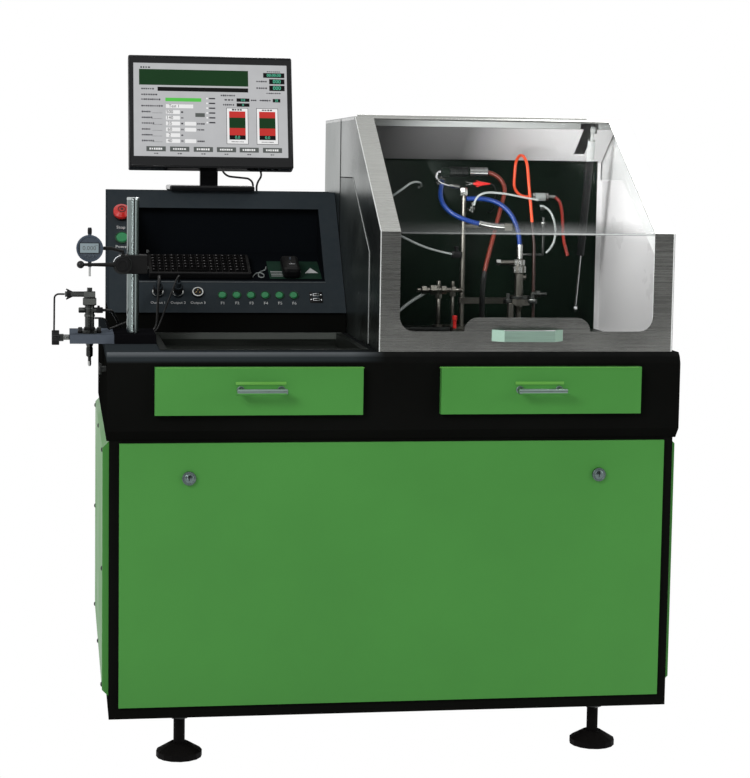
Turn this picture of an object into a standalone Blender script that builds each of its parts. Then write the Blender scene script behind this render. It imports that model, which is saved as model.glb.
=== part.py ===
"""Injector test bench: a cabinet on levelling feet with a control console, a tilting monitor,
a side jig and a hooded test chamber. Metres, +Z up, X to the right, Y to the back."""

import math

import bmesh
import bpy
from mathutils import Euler, Matrix, Vector

# Driving dimensions
CONSOLE_WIDTH = 0.540
HOOD_WIDTH = 0.628
BENCH_DEPTH = 0.850
DESK_HEIGHT = 0.854
BELLY_HEIGHT = 0.182
FRAME_CLEAR_HEIGHT = 0.092
HOOD_HEIGHT = 0.493
CONSOLE_HEIGHT = 0.318
CONSOLE_FRONT = 0.460
MONITOR_WIDTH = 0.392
DRAWER_WIDTH = 0.426
DRAWER_TRAVEL = 0.330

# Fits and sheet thicknesses
GAP = 0.0003
OVERRUN = 0.010
WELD = 0.00001
PIVOT_MARK = 0.050
PANEL_SHEET = 0.002
SHELL_SHEET = 0.0025
BELLY_SHEET = 0.003
FINE_SIDES = 24
ROUND_SIDES = 16
SMALL_SIDES = 12

# Planes of the cabinet, seen from its own centre line and the belly's front face
CONSOLE_LEFT_INSET = 0.017
CONSOLE_HOOD_GAP = 0.001
HOOD_RIGHT_INSET = 0.014
BENCH_WIDTH = CONSOLE_LEFT_INSET + CONSOLE_WIDTH + CONSOLE_HOOD_GAP + HOOD_WIDTH + HOOD_RIGHT_INSET
BELLY_HALF = BENCH_WIDTH / 2
BELLY_BOTTOM = DESK_HEIGHT - BELLY_HEIGHT
FRAME_SIDE_INSET = 0.006
FRAME_FRONT = 0.020
FRAME_BACK_INSET = 0.010
FRAME_HALF = BELLY_HALF - FRAME_SIDE_INSET
FRAME_BACK = BENCH_DEPTH - FRAME_BACK_INSET
FRAME_TUBE = 0.040
FRAME_FLOOR = 0.003
FLOOR_TOP = FRAME_CLEAR_HEIGHT + FRAME_FLOOR + GAP
ON_DESK = DESK_HEIGHT + GAP

scene = bpy.context.scene


def clear_scene():
    for old in list(bpy.data.objects):
        bpy.data.objects.remove(old, do_unlink=True)


def new_collection(name):
    made = bpy.data.collections.new(name)
    scene.collection.children.link(made)
    return made


clear_scene()
PARTS = new_collection("injector_test_bench")
CUTTERS = new_collection("cutters")
CUTTERS.hide_render = True
ROOT = bpy.data.objects.new("bench_root", None)
PARTS.objects.link(ROOT)


# Shared shapes

def keep(name, mesh, place=(0, 0, 0), turn=(0, 0, 0), look=None):
    """Makes an object of a mesh: a part when it has a look, and a cutter otherwise."""
    made = bpy.data.objects.new(name, mesh)
    made.location = place
    made.rotation_euler = turn
    made.parent = ROOT
    if look is None:
        CUTTERS.objects.link(made)
        made.hide_render = True
        made.display_type = "WIRE"
        return made
    PARTS.objects.link(made)
    mesh.materials.append(paint(name, *look))
    return made


def paint(name, colour, roughness, metallic):
    material = bpy.data.materials.new(name + "_finish")
    material.use_nodes = True
    shader = material.node_tree.nodes["Principled BSDF"]
    shader.inputs["Base Color"].default_value = (*colour, 1)
    shader.inputs["Roughness"].default_value = roughness
    shader.inputs["Metallic"].default_value = metallic
    return material


def mesh_of(name, builder):
    mesh = bpy.data.meshes.new(name)
    work = bmesh.new()
    builder(work)
    work.to_mesh(mesh)
    work.free()
    return mesh


def box(name, x, y, z, look=None, edge=0):
    """A block between two planes on each axis, its edges cut back by edge where that is given."""
    middle = Vector(((x[0] + x[1]) / 2, (y[0] + y[1]) / 2, (z[0] + z[1]) / 2))

    def build(work):
        bmesh.ops.create_cube(work, size=1)
        bmesh.ops.scale(work, vec=(x[1] - x[0], y[1] - y[0], z[1] - z[0]), verts=work.verts)

    made = keep(name, mesh_of(name, build), middle, look=look)
    if edge:
        round_edges(made, edge)
    return made


def round_edges(target, width, segments=2):
    soft = target.modifiers.new("edges", "BEVEL")
    soft.width = width
    soft.segments = segments
    return target


AXIS_TURNS = {"X": (0, math.pi / 2, 0), "Y": (-math.pi / 2, 0, 0), "Z": (0, 0, 0)}


def rod(name, axis, radius, start, length, look=None, sides=ROUND_SIDES, tip_radius=None):
    """A round bar from its start point along +X, +Y or +Z, tapered when it has a tip radius."""
    far_radius = radius if tip_radius is None else tip_radius

    def build(work):
        bmesh.ops.create_cone(
            work, cap_ends=True, segments=sides, radius1=radius, radius2=far_radius, depth=length,
            matrix=Matrix.Translation((0, 0, length / 2)),
        )

    made = keep(name, mesh_of(name, build), start, AXIS_TURNS[axis], look)
    smooth(made)
    return made


def ball(name, radius, centre, look=None):
    def build(work):
        bmesh.ops.create_uvsphere(work, u_segments=SMALL_SIDES, v_segments=SMALL_SIDES // 2, radius=radius)

    made = keep(name, mesh_of(name, build), centre, look=look)
    smooth(made)
    return made


def smooth(target):
    target.data.shade_smooth()
    target.data.set_sharp_from_angle(angle=math.radians(35))


def turned(name, profile, place, turn=(0, 0, 0), look=None, sides=FINE_SIDES):
    """A turned piece: profile holds (radius, height) from the top of its outer side to the bottom."""
    mesh = bpy.data.meshes.new(name)
    points = [(radius, 0, height) for radius, height in profile]
    mesh.from_pydata(points, [(i, i + 1) for i in range(len(points) - 1)], [])
    made = keep(name, mesh, place, turn, look)
    screw = made.modifiers.new("turn", "SCREW")
    screw.angle = math.tau
    screw.steps = sides
    screw.render_steps = sides
    screw.use_merge_vertices = True
    screw.merge_threshold = WELD
    screw.use_smooth_shade = True
    return made


def flat_mesh(name, outline, thickness):
    """The mesh of a flat outline given thickness evenly to both sides of its plane."""
    curve = bpy.data.curves.new(name, "CURVE")
    curve.dimensions = "2D"
    curve.fill_mode = "BOTH"
    curve.extrude = thickness / 2
    spline = curve.splines.new("POLY")
    spline.points.add(len(outline) - 1)
    for point, place in zip(spline.points, outline):
        point.co = (*place, 0, 1)
    spline.use_cyclic_u = True
    return mesh_from_curve(name, curve)


def mesh_from_curve(name, curve):
    drawn = bpy.data.objects.new(name + "_curve", curve)
    scene.collection.objects.link(drawn)
    graph = bpy.context.evaluated_depsgraph_get()
    mesh = bpy.data.meshes.new_from_object(drawn.evaluated_get(graph))
    bpy.data.objects.remove(drawn)
    work = bmesh.new()
    work.from_mesh(mesh)
    bmesh.ops.remove_doubles(work, verts=work.verts, dist=WELD)
    bmesh.ops.recalc_face_normals(work, faces=work.faces)
    work.to_mesh(mesh)
    work.free()
    mesh.materials.clear()
    return mesh


def across(name, outline, x, look=None):
    """A side outline of (y, z) points carried across from x[0] to x[1]."""
    mesh = flat_mesh(name, outline, x[1] - x[0])
    return keep(name, mesh, ((x[0] + x[1]) / 2, 0, 0), (math.pi / 2, 0, math.pi / 2), look)


def fore_aft(name, outline, y, look=None):
    """A front outline of (x, z) points carried from y[0] to y[1]."""
    mesh = flat_mesh(name, outline, y[1] - y[0])
    return keep(name, mesh, (0, (y[0] + y[1]) / 2, 0), (math.pi / 2, 0, 0), look)


def tube(name, points, radius, look=None, resolution=2):
    """A hose through points, drawn as a smooth curve and sampled every two or three diameters."""
    curve = bpy.data.curves.new(name, "CURVE")
    curve.dimensions = "3D"
    curve.bevel_depth = radius
    curve.bevel_resolution = resolution
    curve.use_fill_caps = True
    stations = smooth_route(points, 5 * radius)
    spline = curve.splines.new("POLY")
    spline.points.add(len(stations) - 1)
    for point, place in zip(spline.points, stations):
        point.co = (*place, 1)
    return keep(name, mesh_from_curve(name, curve), look=look)


def smooth_route(points, spacing):
    """Points spaced evenly along a smooth curve through the given ones."""
    knots = [Vector(point) for point in points]
    knots = [2 * knots[0] - knots[1], *knots, 2 * knots[-1] - knots[-2]]
    route = [knots[1]]
    for i in range(1, len(knots) - 2):
        before, start, end, after = knots[i - 1:i + 3]
        count = max(1, round((end - start).length / spacing))
        for step in range(1, count + 1):
            t = step / count
            route.append(
                0.5 * (2 * start + (end - before) * t
                       + (2 * before - 5 * start + 4 * end - after) * t ** 2
                       + (3 * start - before - 3 * end + after) * t ** 3)
            )
    return route


def boolean(target, other, operation):
    change = target.modifiers.new(other.name, "BOOLEAN")
    change.operation = operation
    change.object = other
    return target


def cut(target, *cutters):
    for cutter in cutters:
        boolean(target, cutter, "DIFFERENCE")
    return target


def join(target, *pieces):
    for piece in pieces:
        boolean(target, piece, "UNION")
    return target


def inset(outline, distances):
    """A convex outline, counter-clockwise, with each side moved in by its own distance, out if negative."""
    lines = []
    for i, start in enumerate(outline):
        end = outline[(i + 1) % len(outline)]
        along = Vector((end[0] - start[0], end[1] - start[1])).normalized()
        inward = Vector((-along.y, along.x))
        lines.append((Vector(start) + inward * distances[i], along))
    corners = []
    for i in range(len(lines)):
        (p, d), (q, e) = lines[i - 1], lines[i]
        t = ((q - p).x * e.y - (q - p).y * e.x) / (d.x * e.y - d.y * e.x)
        corners.append(tuple(p + d * t))
    return corners


def many_boxes(name, spans):
    """One cutter made of separate blocks, each given as its x, y and z spans."""
    def build(work):
        for x, y, z in spans:
            block = bmesh.ops.create_cube(work, size=1)["verts"]
            bmesh.ops.scale(work, vec=(x[1] - x[0], y[1] - y[0], z[1] - z[0]), verts=block)
            middle = ((x[0] + x[1]) / 2, (y[0] + y[1]) / 2, (z[0] + z[1]) / 2)
            bmesh.ops.translate(work, vec=middle, verts=block)

    return keep(name, mesh_of(name, build))


def pivot(name, place, *pieces):
    """An empty on a joint's axis that carries the pieces which turn about it."""
    axis = bpy.data.objects.new(name, None)
    axis.location = place
    axis.parent = ROOT
    axis.empty_display_size = PIVOT_MARK
    PARTS.objects.link(axis)
    bpy.context.view_layer.update()
    for piece in pieces:
        stood = piece.matrix_world.copy()
        piece.parent = axis
        piece.matrix_world = stood
    return axis


# Looks: colour, roughness, metallic
GREEN = ((0.31, 0.56, 0.31), 0.45, 0.0)
DARK_GREY = ((0.075, 0.078, 0.072), 0.5, 0.0)
CONSOLE_GREY = ((0.30, 0.32, 0.31), 0.5, 0.0)
STEEL = ((0.62, 0.62, 0.60), 0.30, 1.0)
CHROME = ((0.80, 0.80, 0.80), 0.12, 1.0)
BLACK = ((0.02, 0.02, 0.02), 0.45, 0.0)
RED = ((0.60, 0.02, 0.02), 0.35, 0.0)
BUTTON_GREEN = ((0.05, 0.45, 0.12), 0.35, 0.0)
CLEAR = ((0.85, 0.90, 0.90), 0.05, 0.0)
BLUE = ((0.02, 0.12, 0.50), 0.4, 0.0)
BROWN = ((0.25, 0.06, 0.03), 0.5, 0.0)
ORANGE = ((0.75, 0.15, 0.03), 0.4, 0.0)
SCREEN = ((0.35, 0.40, 0.42), 0.2, 0.0)
ALLOY = ((0.45, 0.46, 0.47), 0.45, 1.0)

# Cabinet frame and its levelling feet
FOOT_SIDE_INSET = 0.148
FOOT_FRONT_INSET = 0.040
FOOT_BACK_INSET = 0.060
FOOT_PAD_RADIUS = 0.048
FOOT_PAD_EDGE = 0.012
FOOT_PAD_HEIGHT = 0.029
FOOT_CROWN_RADIUS = 0.020
FOOT_STUD_RADIUS = 0.012
FOOT_TRAVEL = 0.025
FOOT_STUD_HELD = 0.015
FOOT_STUD_ENGAGED = FOOT_TRAVEL + FOOT_STUD_HELD
FOOT_BORE_DEPTH = FOOT_STUD_ENGAGED + FOOT_CROWN_RADIUS / 2
FOOT_BORE_PLAY = 0.0005


def foot_places():
    side = FRAME_HALF - FOOT_SIDE_INSET
    front, back = FRAME_FRONT + FOOT_FRONT_INSET, FRAME_BACK - FOOT_BACK_INSET
    return {
        "foot_front_left": (-side, front), "foot_front_right": (side, front),
        "foot_rear_left": (-side, back), "foot_rear_right": (side, back),
    }


def make_frame():
    low, high = FRAME_CLEAR_HEIGHT, BELLY_BOTTOM - GAP
    inner_half = FRAME_HALF - FRAME_TUBE
    inner_front, inner_back = FRAME_FRONT + FRAME_TUBE, FRAME_BACK - FRAME_TUBE
    frame = box("base_frame", (-FRAME_HALF, FRAME_HALF), (FRAME_FRONT, FRAME_BACK), (low, high), DARK_GREY)
    rails = (low + FRAME_TUBE, high - FRAME_TUBE)
    cut(
        frame,
        box("frame_side_windows", (-BENCH_WIDTH, BENCH_WIDTH), (inner_front, inner_back), rails),
        box("frame_end_windows", (-inner_half, inner_half), (-BENCH_DEPTH, 2 * BENCH_DEPTH), rails),
        box("frame_well", (-inner_half, inner_half), (inner_front, inner_back),
            (low + FRAME_FLOOR, high + OVERRUN)),
    )
    for name, (x, y) in foot_places().items():
        boss = rod(name + "_boss", "Z", FOOT_STUD_RADIUS + FRAME_FLOOR * 2, (x, y, low), FRAME_TUBE)
        join(frame, boss)
        bore = rod(name + "_bore", "Z", FOOT_STUD_RADIUS + FOOT_BORE_PLAY, (x, y, low - OVERRUN),
                   FOOT_BORE_DEPTH + OVERRUN)
        cut(frame, bore)
        make_foot(name, x, y)


def make_foot(name, x, y):
    top = FRAME_CLEAR_HEIGHT + FOOT_STUD_ENGAGED
    profile = [
        (0, top), (FOOT_STUD_RADIUS, top), (FOOT_STUD_RADIUS, FOOT_PAD_HEIGHT),
        (FOOT_CROWN_RADIUS, FOOT_PAD_HEIGHT), (FOOT_PAD_RADIUS, FOOT_PAD_EDGE), (FOOT_PAD_RADIUS, 0), (0, 0),
    ]
    turned(name, profile, (x, y, 0), look=BLACK, sides=ROUND_SIDES)


# Cabinet panels
SIDE_PANEL_DEPTH = 0.013
SIDE_PANEL_FRONT_INSET = 0.025
SIDE_PANEL_BACK_INSET = 0.025
SIDE_PANEL_LOW = 0.043
SIDE_PANEL_HIGH = 0.004
PANEL_STILE = 0.020
PANEL_LOW = 0.025
PANEL_HIGH = 0.005
PANEL_DEPTH = 0.006
LOUVRE_COUNT = 7
LOUVRE_PITCH = 0.024
LOUVRE_HALF_WIDTH = 0.110
LOUVRE_HEIGHT = 0.008
LOUVRE_OFFSET = 0.280
PANEL_BOTTOM = FRAME_CLEAR_HEIGHT + PANEL_LOW
PANEL_TOP = BELLY_BOTTOM - PANEL_HIGH
PANEL_HALF = FRAME_HALF - PANEL_STILE
PANEL_FACE = FRAME_FRONT - GAP - PANEL_DEPTH


def make_side_panel(name, side):
    seat = FRAME_HALF + GAP
    low, high = FRAME_CLEAR_HEIGHT + SIDE_PANEL_LOW, BELLY_BOTTOM - SIDE_PANEL_HIGH
    slope = SIDE_PANEL_DEPTH
    outer = [(seat, low), (seat + SIDE_PANEL_DEPTH, low + slope), (seat + SIDE_PANEL_DEPTH, high - slope),
             (seat, high)]
    inner = inset(outer, [PANEL_SHEET, PANEL_SHEET, PANEL_SHEET, -OVERRUN])
    span = (FRAME_FRONT + SIDE_PANEL_FRONT_INSET, FRAME_BACK - SIDE_PANEL_BACK_INSET)
    hollow = (span[0] + PANEL_SHEET, span[1] - PANEL_SHEET)
    if side < 0:
        outer = [(-x, z) for x, z in outer]
        inner = [(-x, z) for x, z in inner]
    panel = fore_aft(name, outer, span, GREEN)
    cut(panel, fore_aft(name + "_hollow", inner, hollow))


def make_back_panel():
    face = FRAME_BACK + GAP
    x, z = (-PANEL_HALF, PANEL_HALF), (PANEL_BOTTOM, PANEL_TOP)
    panel = box("back_panel", x, (face, face + PANEL_DEPTH), z, DARK_GREY)
    hollow = box(
        "back_panel_hollow", (x[0] + PANEL_SHEET, x[1] - PANEL_SHEET),
        (face - OVERRUN, face + PANEL_DEPTH - PANEL_SHEET),
        (z[0] + PANEL_SHEET, z[1] - PANEL_SHEET),
    )
    slots = []
    middle = (PANEL_BOTTOM + PANEL_TOP) / 2
    for centre in (-LOUVRE_OFFSET, LOUVRE_OFFSET):
        for row in range(LOUVRE_COUNT):
            low = middle + (row - LOUVRE_COUNT / 2) * LOUVRE_PITCH
            slots.append((
                (centre - LOUVRE_HALF_WIDTH, centre + LOUVRE_HALF_WIDTH),
                (face - OVERRUN, face + OVERRUN), (low, low + LOUVRE_HEIGHT),
            ))
    cut(panel, hollow, many_boxes("louvres", slots))


# Locks of the front panel
LOCK_EDGE_DISTANCE = 0.142
LOCK_DROP = 0.072
LOCK_HEAD_RADIUS = 0.0143
LOCK_HEAD_PROUD = 0.006
LOCK_BARREL_RADIUS = 0.010
LOCK_CAM_WIDTH = 0.016
LOCK_CAM_LENGTH = 0.052
LOCK_CAM_SHEET = 0.003
KEYWAY_WIDTH = 0.002
KEYWAY_LENGTH = 0.012


def lock_places():
    side = PANEL_HALF - LOCK_EDGE_DISTANCE
    height = PANEL_TOP - LOCK_DROP
    return {"panel_lock_left": (-side, height), "panel_lock_right": (side, height)}


def make_front_panel():
    x, z = (-PANEL_HALF, PANEL_HALF), (PANEL_BOTTOM, PANEL_TOP)
    panel = box("front_panel", x, (PANEL_FACE, PANEL_FACE + PANEL_DEPTH), z, GREEN)
    cut(panel, box(
        "front_panel_hollow", (x[0] + PANEL_SHEET, x[1] - PANEL_SHEET),
        (PANEL_FACE + PANEL_SHEET, PANEL_FACE + PANEL_DEPTH + OVERRUN),
        (z[0] + PANEL_SHEET, z[1] - PANEL_SHEET),
    ))
    hinge = pivot("front_panel_pivot", (0, PANEL_FACE, PANEL_BOTTOM), panel)
    for name, (lock_x, lock_z) in lock_places().items():
        cut(panel, rod(name + "_hole", "Y", LOCK_BARREL_RADIUS + GAP,
                       (lock_x, PANEL_FACE - OVERRUN, lock_z), 2 * OVERRUN))
        make_lock(name, lock_x, lock_z)
    return hinge


def make_lock(name, x, z):
    head_face = PANEL_FACE - GAP - LOCK_HEAD_PROUD
    cam_back = FRAME_FRONT + FRAME_TUBE + GAP + LOCK_CAM_SHEET
    lock = rod(name, "Y", LOCK_HEAD_RADIUS, (x, head_face, z), LOCK_HEAD_PROUD, CHROME, FINE_SIDES)
    barrel = rod(name + "_barrel", "Y", LOCK_BARREL_RADIUS, (x, head_face + LOCK_HEAD_PROUD / 2, z),
                 cam_back - head_face - LOCK_HEAD_PROUD / 2)
    towards = -1 if x > 0 else 1
    ends = sorted((x, x + towards * LOCK_CAM_LENGTH))
    cam = box(name + "_cam", ends, (cam_back - LOCK_CAM_SHEET, cam_back),
              (z - LOCK_CAM_WIDTH / 2, z + LOCK_CAM_WIDTH / 2))
    keyway = box(name + "_keyway", (x - KEYWAY_WIDTH / 2, x + KEYWAY_WIDTH / 2),
                 (head_face - OVERRUN, head_face + LOCK_HEAD_PROUD / 2),
                 (z - KEYWAY_LENGTH / 2, z + KEYWAY_LENGTH / 2))
    cut(join(lock, barrel, cam), keyway)


# Belly: the sheet-metal worktop box that holds the drawers and the drip tray
BELLY_TOP_RUN = 0.014
BELLY_TOP_DROP = 0.022
BELLY_TOP_SOFT = 0.4
BELLY_FOOT_RUN = 0.020
BELLY_FOOT_RISE = 0.022
FLANGE_SIDE = 0.040
FLANGE_FRONT = 0.050
DRAWER_HEIGHT = 0.098
DRAWER_FRONT_DEPTH = 0.016
DRAWER_LOW = 0.056
DRAWER_SIDE_INSET = 0.096
DRAWER_RIGHT_INSET = 0.089
DRAWER_HELD = 0.070
DRAWER_BOX_DEPTH = DRAWER_TRAVEL + DRAWER_HELD
DRAWER_BOX_SIDE = 0.010
DRAWER_BOX_LOW = 0.008
DRAWER_BOX_HIGH = 0.016
DRAWER_OPENING_PLAY = 0.004
DRAWER_WALL = 0.002
HANDLE_LENGTH = 0.101
HANDLE_REACH = 0.030
HANDLE_RADIUS = 0.005
HANDLE_POST_RADIUS = 0.004
GUIDE_SHEET = 0.003
GUIDE_HEIGHT = 0.060
GUIDE_FRONT_PLAY = 0.002
DRAWER_BOTTOM = BELLY_BOTTOM + DRAWER_LOW
DRAWER_TOP = DRAWER_BOTTOM + DRAWER_HEIGHT
DRAWER_BOX_HALF = DRAWER_WIDTH / 2 - DRAWER_BOX_SIDE
DRAWER_BOX_BOTTOM = DRAWER_BOTTOM + DRAWER_BOX_LOW
DRAWER_CENTRES = {
    "drawer_left": -BELLY_HALF + DRAWER_SIDE_INSET + DRAWER_WIDTH / 2,
    "drawer_right": BELLY_HALF - DRAWER_RIGHT_INSET - DRAWER_WIDTH / 2,
}

TRAY_LEFT_INSET = 0.110
TRAY_FRONT = 0.055
TRAY_HOOD_GAP = 0.014
TRAY_CONSOLE_GAP = 0.012
TRAY_RIM = 0.012
TRAY_DEPTH = 0.028
TRAY_SHEET = 0.0015
TRAY_DRAIN_RADIUS = 0.012
HOOD_RIGHT = BELLY_HALF - HOOD_RIGHT_INSET
HOOD_LEFT = HOOD_RIGHT - HOOD_WIDTH
TRAY_X = (-BELLY_HALF + TRAY_LEFT_INSET, HOOD_LEFT - TRAY_HOOD_GAP)
PLINTH_SETBACK = 0.008
TRAY_Y = (TRAY_FRONT, CONSOLE_FRONT + PLINTH_SETBACK - TRAY_CONSOLE_GAP)

SIDE_KNOB_Y = 0.050
SIDE_KNOB_DROP = 0.037
SIDE_KNOB_RADIUS = 0.011
SIDE_KNOB_THICK = 0.006
SIDE_KNOB_NECK = 0.009
SIDE_KNOB_NECK_RADIUS = 0.0055
SIDE_KNOB_STEM_RADIUS = 0.005
SIDE_KNOB_INSIDE = 0.018


def belly_outline():
    soft_run, soft_drop = BELLY_TOP_RUN * BELLY_TOP_SOFT, BELLY_TOP_DROP * BELLY_TOP_SOFT
    return [
        (BELLY_FOOT_RUN, BELLY_BOTTOM), (BENCH_DEPTH, BELLY_BOTTOM), (BENCH_DEPTH, DESK_HEIGHT),
        (BELLY_TOP_RUN, DESK_HEIGHT), (soft_run, DESK_HEIGHT - soft_drop), (0, DESK_HEIGHT - BELLY_TOP_DROP),
        (0, BELLY_BOTTOM + BELLY_FOOT_RISE),
    ]


def make_worktop():
    outline = belly_outline()
    worktop = across("worktop", outline, (-BELLY_HALF, BELLY_HALF), DARK_GREY)
    inner = inset(outline, [BELLY_SHEET] * len(outline))
    inner_half = BELLY_HALF - BELLY_SHEET
    cut(
        worktop,
        across("belly_hollow", inner, (-inner_half, inner_half)),
        box("belly_underside", (-BELLY_HALF + FLANGE_SIDE, BELLY_HALF - FLANGE_SIDE),
            (FLANGE_FRONT, BENCH_DEPTH - FLANGE_SIDE), (BELLY_BOTTOM - OVERRUN, BELLY_BOTTOM + OVERRUN)),
        box("tray_opening", (TRAY_X[0] + TRAY_RIM, TRAY_X[1] - TRAY_RIM),
            (TRAY_Y[0] + TRAY_RIM, TRAY_Y[1] - TRAY_RIM),
            (DESK_HEIGHT - OVERRUN, DESK_HEIGHT + OVERRUN)),
        rod("side_knob_hole", "X", SIDE_KNOB_STEM_RADIUS + GAP,
            (-BELLY_HALF - OVERRUN, SIDE_KNOB_Y, DESK_HEIGHT - SIDE_KNOB_DROP), 2 * OVERRUN),
    )
    for name, centre in DRAWER_CENTRES.items():
        half = DRAWER_BOX_HALF + DRAWER_OPENING_PLAY
        cut(worktop, box(
            name + "_opening", (centre - half, centre + half), (-OVERRUN, OVERRUN),
            (DRAWER_BOX_BOTTOM - DRAWER_OPENING_PLAY, DRAWER_TOP - DRAWER_OPENING_PLAY),
        ))
    join(worktop, drawer_guide())


def make_drawer(name, centre):
    back = -GAP
    front = box(name, (centre - DRAWER_WIDTH / 2, centre + DRAWER_WIDTH / 2),
                (back - DRAWER_FRONT_DEPTH, back),
                (DRAWER_BOTTOM, DRAWER_TOP), GREEN)
    half, top = DRAWER_BOX_HALF, DRAWER_TOP - DRAWER_BOX_HIGH
    end = back + DRAWER_BOX_DEPTH
    body = box(name + "_box", (centre - half, centre + half), (back - DRAWER_FRONT_DEPTH / 2, end),
               (DRAWER_BOX_BOTTOM, top))
    well = box(name + "_well", (centre - half + DRAWER_WALL, centre + half - DRAWER_WALL),
               (back, end - DRAWER_WALL), (DRAWER_BOX_BOTTOM + DRAWER_WALL, top + OVERRUN))
    face = back - DRAWER_FRONT_DEPTH
    height = (DRAWER_BOTTOM + DRAWER_TOP) / 2
    grip = rod(name + "_grip", "X", HANDLE_RADIUS, (centre - HANDLE_LENGTH / 2, face - HANDLE_REACH,
                                                    height), HANDLE_LENGTH,
               sides=SMALL_SIDES)
    join(front, body, grip)
    for side in (-1, 1):
        post_x = centre + side * (HANDLE_LENGTH / 2 - 2 * HANDLE_RADIUS)
        join(front, rod(f"{name}_post_{side}", "Y", HANDLE_POST_RADIUS, (post_x, face - HANDLE_REACH, height),
                        HANDLE_REACH + DRAWER_FRONT_DEPTH / 2, sides=8))
    cut(front, well)


def drawer_guide():
    """The shelf and walls that carry both drawers, standing on the belly's front flange."""
    shelf_top = DRAWER_BOX_BOTTOM - GAP
    low = BELLY_BOTTOM + BELLY_SHEET / 2
    y = (BELLY_FOOT_RUN + BELLY_SHEET + GUIDE_FRONT_PLAY, DRAWER_BOX_DEPTH)
    offset = DRAWER_BOX_HALF + GAP
    left, right = DRAWER_CENTRES["drawer_left"], DRAWER_CENTRES["drawer_right"]
    guide = box("drawer_guide", (left - offset - GUIDE_SHEET, right + offset + GUIDE_SHEET), y,
                (shelf_top - GUIDE_SHEET, shelf_top))
    for name, centre in DRAWER_CENTRES.items():
        for side in (-1, 1):
            wall = sorted((centre + side * offset, centre + side * (offset + GUIDE_SHEET)))
            join(guide, box(f"{name}_guide_{side}", wall, y, (low, shelf_top + GUIDE_HEIGHT)))
    return guide


def make_tray():
    bottom = ON_DESK - TRAY_DEPTH
    play = GAP + TRAY_SHEET / 2
    rim = box("drip_tray", TRAY_X, TRAY_Y, (ON_DESK, ON_DESK + TRAY_SHEET), STEEL)
    x = (TRAY_X[0] + TRAY_RIM + play, TRAY_X[1] - TRAY_RIM - play)
    y = (TRAY_Y[0] + TRAY_RIM + play, TRAY_Y[1] - TRAY_RIM - play)
    basin = box("tray_basin", x, y, (bottom, ON_DESK + TRAY_SHEET / 2))
    well = box("tray_well", (x[0] + TRAY_SHEET, x[1] - TRAY_SHEET), (y[0] + TRAY_SHEET, y[1] - TRAY_SHEET),
               (bottom + TRAY_SHEET, DESK_HEIGHT + OVERRUN))
    drain = rod("tray_drain", "Z", TRAY_DRAIN_RADIUS, ((x[0] + x[1]) / 2, (y[0] + y[1]) / 2,
                                                       bottom - OVERRUN), 2 * OVERRUN)
    cut(join(rim, basin), well, drain)


def make_side_knob():
    face = -BELLY_HALF - GAP
    z = DESK_HEIGHT - SIDE_KNOB_DROP
    tip = face - SIDE_KNOB_NECK - SIDE_KNOB_THICK
    knob = rod("side_knob", "X", SIDE_KNOB_RADIUS, (tip, SIDE_KNOB_Y, z), SIDE_KNOB_THICK, BLACK)
    join(
        knob,
        rod("side_knob_neck", "X", SIDE_KNOB_NECK_RADIUS, (tip + SIDE_KNOB_THICK / 2, SIDE_KNOB_Y, z),
            SIDE_KNOB_NECK + SIDE_KNOB_THICK / 2),
        rod("side_knob_stem", "X", SIDE_KNOB_STEM_RADIUS, (tip + SIDE_KNOB_THICK / 2, SIDE_KNOB_Y, z),
            SIDE_KNOB_NECK + SIDE_KNOB_THICK / 2 + SIDE_KNOB_INSIDE),
    )


# Control console on its plinth
PLINTH_HEIGHT = 0.046
CONSOLE_SLOPE_RUN = 0.216
CONSOLE_X = (-BELLY_HALF + CONSOLE_LEFT_INSET, HOOD_LEFT - CONSOLE_HOOD_GAP)
CONSOLE_BASE = ON_DESK + PLINTH_HEIGHT
CONSOLE_TOP = DESK_HEIGHT + CONSOLE_HEIGHT
SLOPE_RISE = CONSOLE_TOP - CONSOLE_BASE
SLOPE_ANGLE = math.atan2(SLOPE_RISE, CONSOLE_SLOPE_RUN)
RECESS_LEFT_INSET = 0.063
RECESS_RIGHT_INSET = 0.043
RECESS_LOW = 0.086
RECESS_HIGH = 0.297
RECESS_FLOOR = 0.165
RECESS_FLOOR_ANGLE = math.radians(22)
RECESS_X = (CONSOLE_X[0] + RECESS_LEFT_INSET, CONSOLE_X[1] - RECESS_RIGHT_INSET)

FUNCTION_BUTTON_COUNT = 6
FUNCTION_ROW_SHARES = (0.2066, 0.8118)
FUNCTION_BUTTON_LOW = 0.048
FUNCTION_BUTTON_RADIUS = 0.0087
FUNCTION_BUTTON_TRAVEL = 0.002
FUNCTION_BUTTON_REST = 0.002
FUNCTION_BUTTON_PROUD = FUNCTION_BUTTON_TRAVEL + FUNCTION_BUTTON_REST
BUTTON_BODY = 0.010
BUTTON_CROWN = 0.0015
POWER_BUTTON_INSET = 0.032
POWER_BUTTON_LOW = 0.208
POWER_BUTTON_RADIUS = 0.0135
POWER_BUTTON_PROUD = 0.005
ESTOP_LOW = 0.273
ESTOP_RADIUS = 0.0195
ESTOP_STEM_RADIUS = 0.011
ESTOP_LIFT = 0.012
ESTOP_CAP = 0.014
ESTOP_DOME_SHARES = ((0.6, 0.1), (1, 0.5))
SOCKET_FIRST = 0.110
SOCKET_PITCH = 0.0455
SOCKET_LOW = 0.053
SOCKET_RADIUS = 0.013
SOCKET_PROUD = 0.006
SOCKET_COUNT = 3
PLUGGED_COUNT = 2
PLUG_RADIUS = 0.0095
PLUG_REACH = 0.030
PLUG_BOOT_RADIUS = 0.006
PLUG_BOOT_REACH = 0.045
USB_INSET = 0.068
USB_X = CONSOLE_X[1] - USB_INSET
USB_HALF_WIDTH = 0.008
USB_HALF_HEIGHT = 0.008
USB_PROUD = 0.002


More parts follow.
